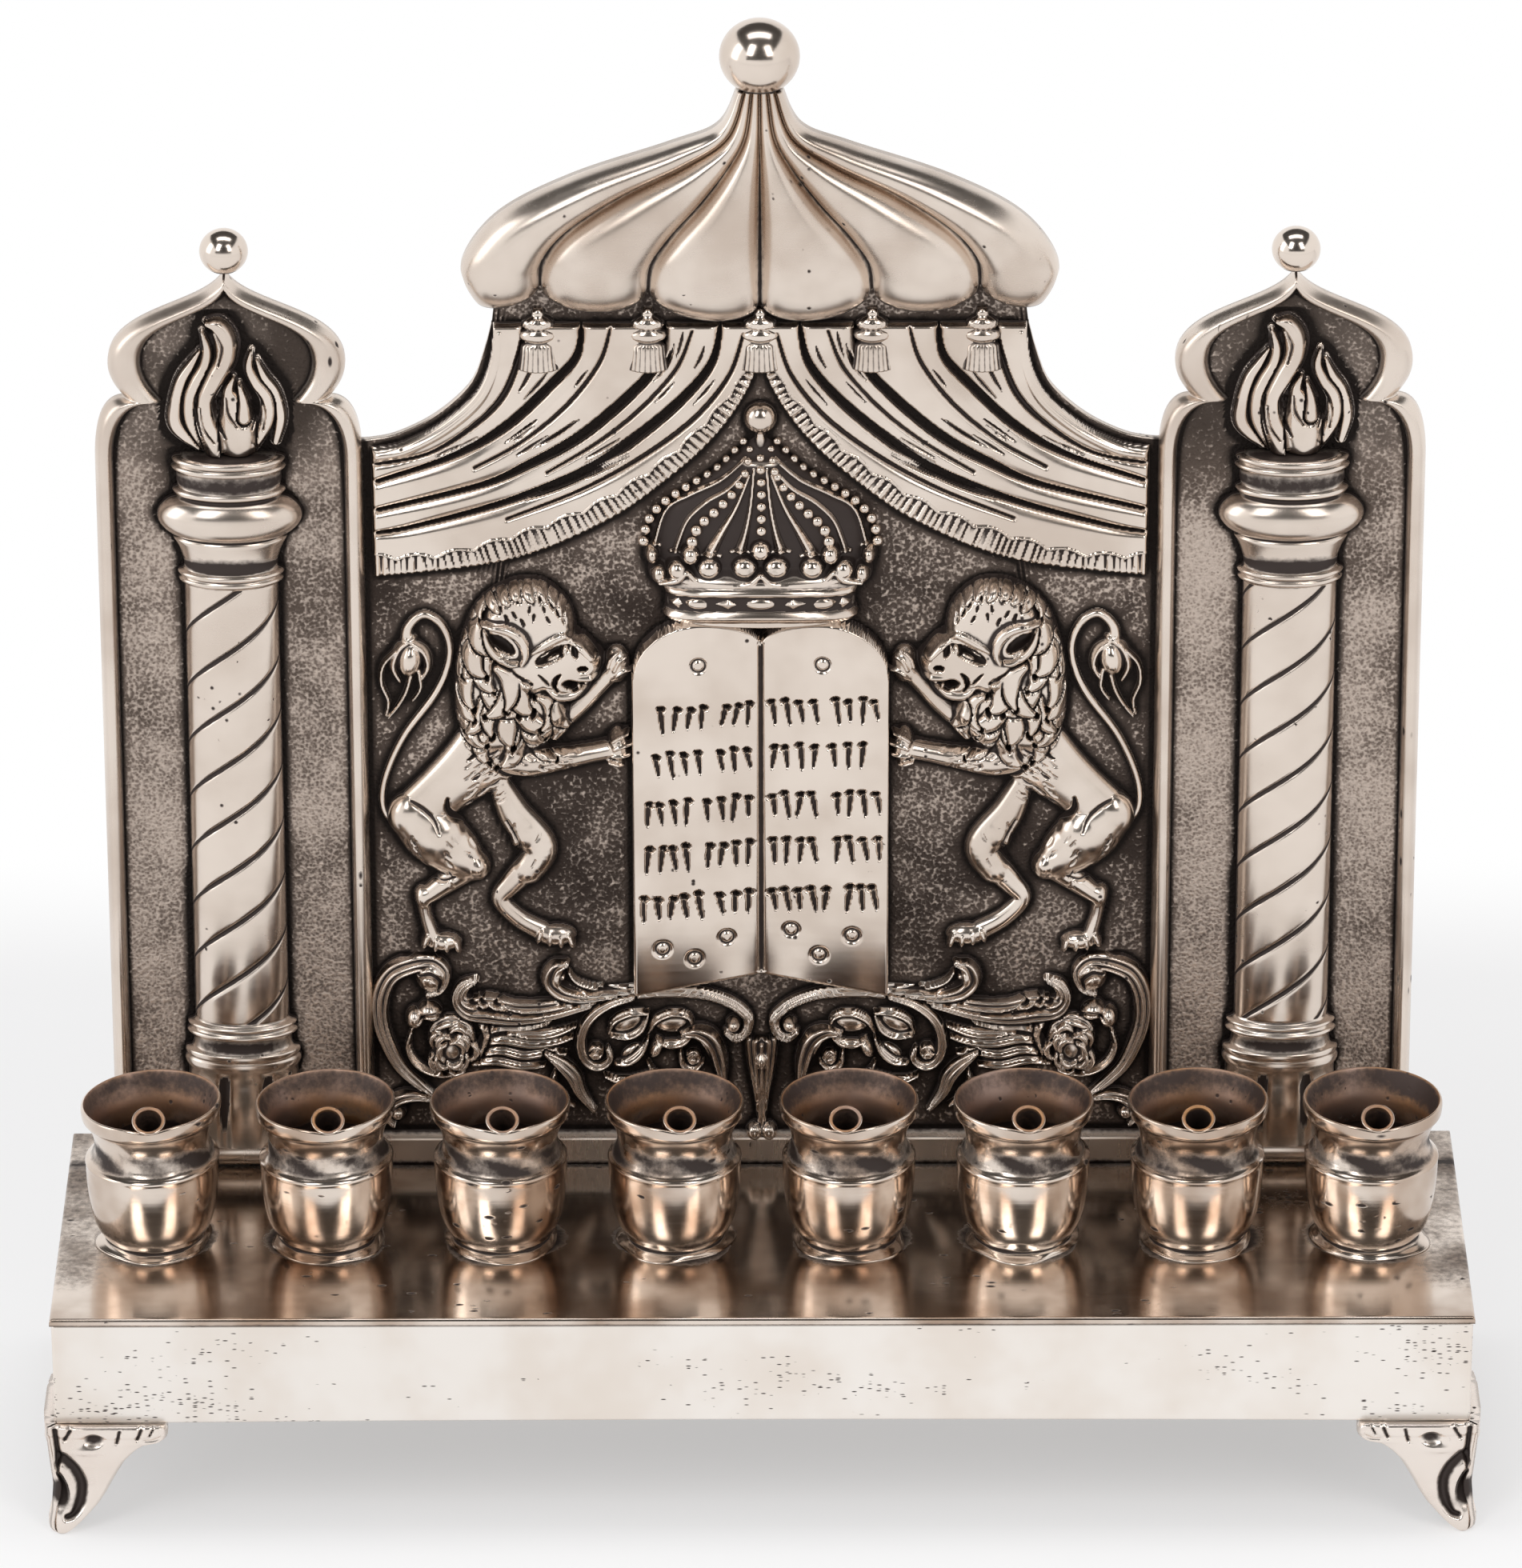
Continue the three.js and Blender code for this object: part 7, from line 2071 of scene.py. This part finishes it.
make_bench_top()
make_apron()
for number in range(1, CUP_COUNT + 1):
    make_cup(number)
    make_tube(number)
lion = make_lions()
scrolls = make_scrollwork()
drop = make_drop()
crown = make_crown()
tablet = make_tablets()
make_canopy()
make_ball("canopy_knob", "canopy_ball")
curtain = make_curtains()
for number in range(1, 6):
    make_tassel(number, f"tassel_{number}")
make_centre([(lion, (False, True)), (scrolls, (False, True)), (drop, (False,)),
             (crown, (False,)), (tablet, (False,)), (curtain, (False, True))])
for side, sign in (("left", -1), ("right", 1)):
    flame = make_flame(side, sign)
    make_column(side, sign)
    make_panel(side, sign, [flame, column_shadow(sign)])
    make_ball(f"arch_knob_{side}", f"panel_ball_{side}")
    make_bracket(side)
    make_screw(side)
    make_nut(side)
for end, right in (("left", 1), ("right", -1)):
    for face, back in (("front", 1), ("rear", -1)):
        make_foot(f"scrolled_foot_{face}_{end}", f"foot_{face}_{end}", right, back)


# Setting: camera, lamps, floor, and dark cards behind and over the camera for the metal to reflect

# How white the floor is seen, by depth: shaded under the lamp and paler away from it
FLOOR_GLOW = [(-0.07, 0.8), (-0.02, 0.42), (0.165, 0.42), (0.225, 1.0)]


def make_camera():
    """The camera of the photo, from its place, pitch and roll."""
    pitch, roll = math.radians(CAMERA_PITCH_DEGREES), math.radians(CAMERA_ROLL_DEGREES)
    ahead = np.array((0, math.cos(pitch), -math.sin(pitch)))
    up = np.array((0, math.sin(pitch), math.cos(pitch)))
    right = np.array((1, 0, 0))
    across = math.cos(roll) * right + math.sin(roll) * up
    upward = math.cos(roll) * up - math.sin(roll) * right
    data = bpy.data.cameras.new("camera")
    data.sensor_fit = "VERTICAL"
    data.sensor_height = SENSOR
    data.lens = LENS
    data.clip_end = 50
    camera = put("camera", data)
    turn = Matrix(np.stack([across, upward, -ahead], 1).tolist()).to_4x4()
    camera.matrix_world = Matrix.Translation(CAMERA_PLACE) @ turn
    bpy.context.scene.camera = camera


def make_lamp(name, place, aim, width, height, power, tint=(1, 1, 1)):
    """A soft rectangular lamp that faces its aim."""
    data = bpy.data.lights.new(name, "AREA")
    data.shape = "RECTANGLE"
    data.size, data.size_y = width, height
    data.energy = power
    data.color = tint
    turn = (Vector(place) - Vector(aim)).to_track_quat("Z", "Y")
    put(name, data).matrix_world = Matrix.Translation(place) @ turn.to_matrix().to_4x4()


def seen_rays(tree):
    """1 for the rays that see: from the camera, off metal and through glass."""
    path = add(tree, "LightPath")
    seen = math_of(tree, "MAXIMUM", path.outputs["Is Camera Ray"], path.outputs["Is Glossy Ray"])
    return math_of(tree, "MAXIMUM", seen, path.outputs["Is Transmission Ray"])


def plain_material(name, colour, bands=()):
    """A matt sheet, seen as white by bands of depth and glow, also in reflections."""
    material, tree, shader, place = new_material(name)
    mottle = noise(tree, place, 3.0, 2)
    tree.links.new(blend_colour(tree, mottle, colour, tuple(c * 0.985 for c in colour[:3]) + (1,)),
                   shader.inputs["Base Color"])
    shader.inputs["Roughness"].default_value = 0.9
    shader.inputs["Specular IOR Level"].default_value = 0.1
    if not bands:
        return material
    depth = add(tree, "SeparateXYZ", {"Vector": place}).outputs["Y"]
    glow = bands[0][1]
    for (near, low), (far, high) in zip(bands, bands[1:]):
        glow = math_of(tree, "ADD", glow, ramp(tree, depth, near, far, 0.0, high - low))
    white = add(tree, "Emission").outputs[0]
    mix = add(tree, "MixShader", {0: math_of(tree, "MULTIPLY", seen_rays(tree), glow),
                                  1: shader.outputs[0], 2: white})
    tree.links.new(mix.outputs[0], tree.nodes["Material Output"].inputs["Surface"])
    return material


def flat_sheet(name, corners, material):
    """A stage sheet, which is no piece of the part."""
    mesh = bpy.data.meshes.new(name)
    mesh.from_pydata(corners, [], [tuple(range(len(corners)))])
    mesh.materials.append(material)
    sheet = put(name, mesh)
    return sheet


def make_setting():
    """Camera, floor, cards, lamps and a white room."""
    make_camera()
    reach = 6.0
    floor = [(-reach, -reach, 0), (reach, -reach, 0), (reach, reach, 0), (-reach, reach, 0)]
    flat_sheet("floor", floor, plain_material("pale floor", (0.9, 0.9, 0.91, 1), FLOOR_GLOW))
    # Dark cards over and behind the camera, which only the metal sees
    low, high, wide, near, far = 0.9, 2.5, 2.6, -3.2, 3.2
    for name, (y0, z0), (y1, z1) in (("front_card", (near, low), (near, high)),
                                     ("top_card", (near, high), (far, high))):
        corners = [(-wide, y0, z0), (wide, y0, z0), (wide, y1, z1), (-wide, y1, z1)]
        card = flat_sheet(name, corners, plain_material(name, (0.1, 0.095, 0.09, 1)))
        card.visible_camera = False
        card.visible_diffuse = False
        card.visible_shadow = False
    aim = (0, 0, 0.1)
    make_lamp("left window", (-0.75, -1.25, 1.5), aim, 0.55, 1.1, 8)
    make_lamp("right window", (0.85, -1.3, 1.45), aim, 0.55, 1.1, 7, (1, 0.97, 0.94))
    make_lamp("far left", (-1.8, -0.4, 0.9), aim, 0.8, 1.4, 5)
    make_lamp("overhead", (0, 0.1, 1.9), aim, 1.6, 0.5, 7)
    world = bpy.data.worlds.new("white room")
    bpy.context.scene.world = world
    world.use_nodes = True
    tree = world.node_tree
    background = tree.nodes["Background"].inputs
    background["Color"].default_value = (1, 1, 1, 1)
    tree.links.new(ramp(tree, seen_rays(tree), 0.0, 1.0, 0.55, 1.0), background["Strength"])
    bpy.context.scene.view_settings.view_transform = "Standard"


make_setting()
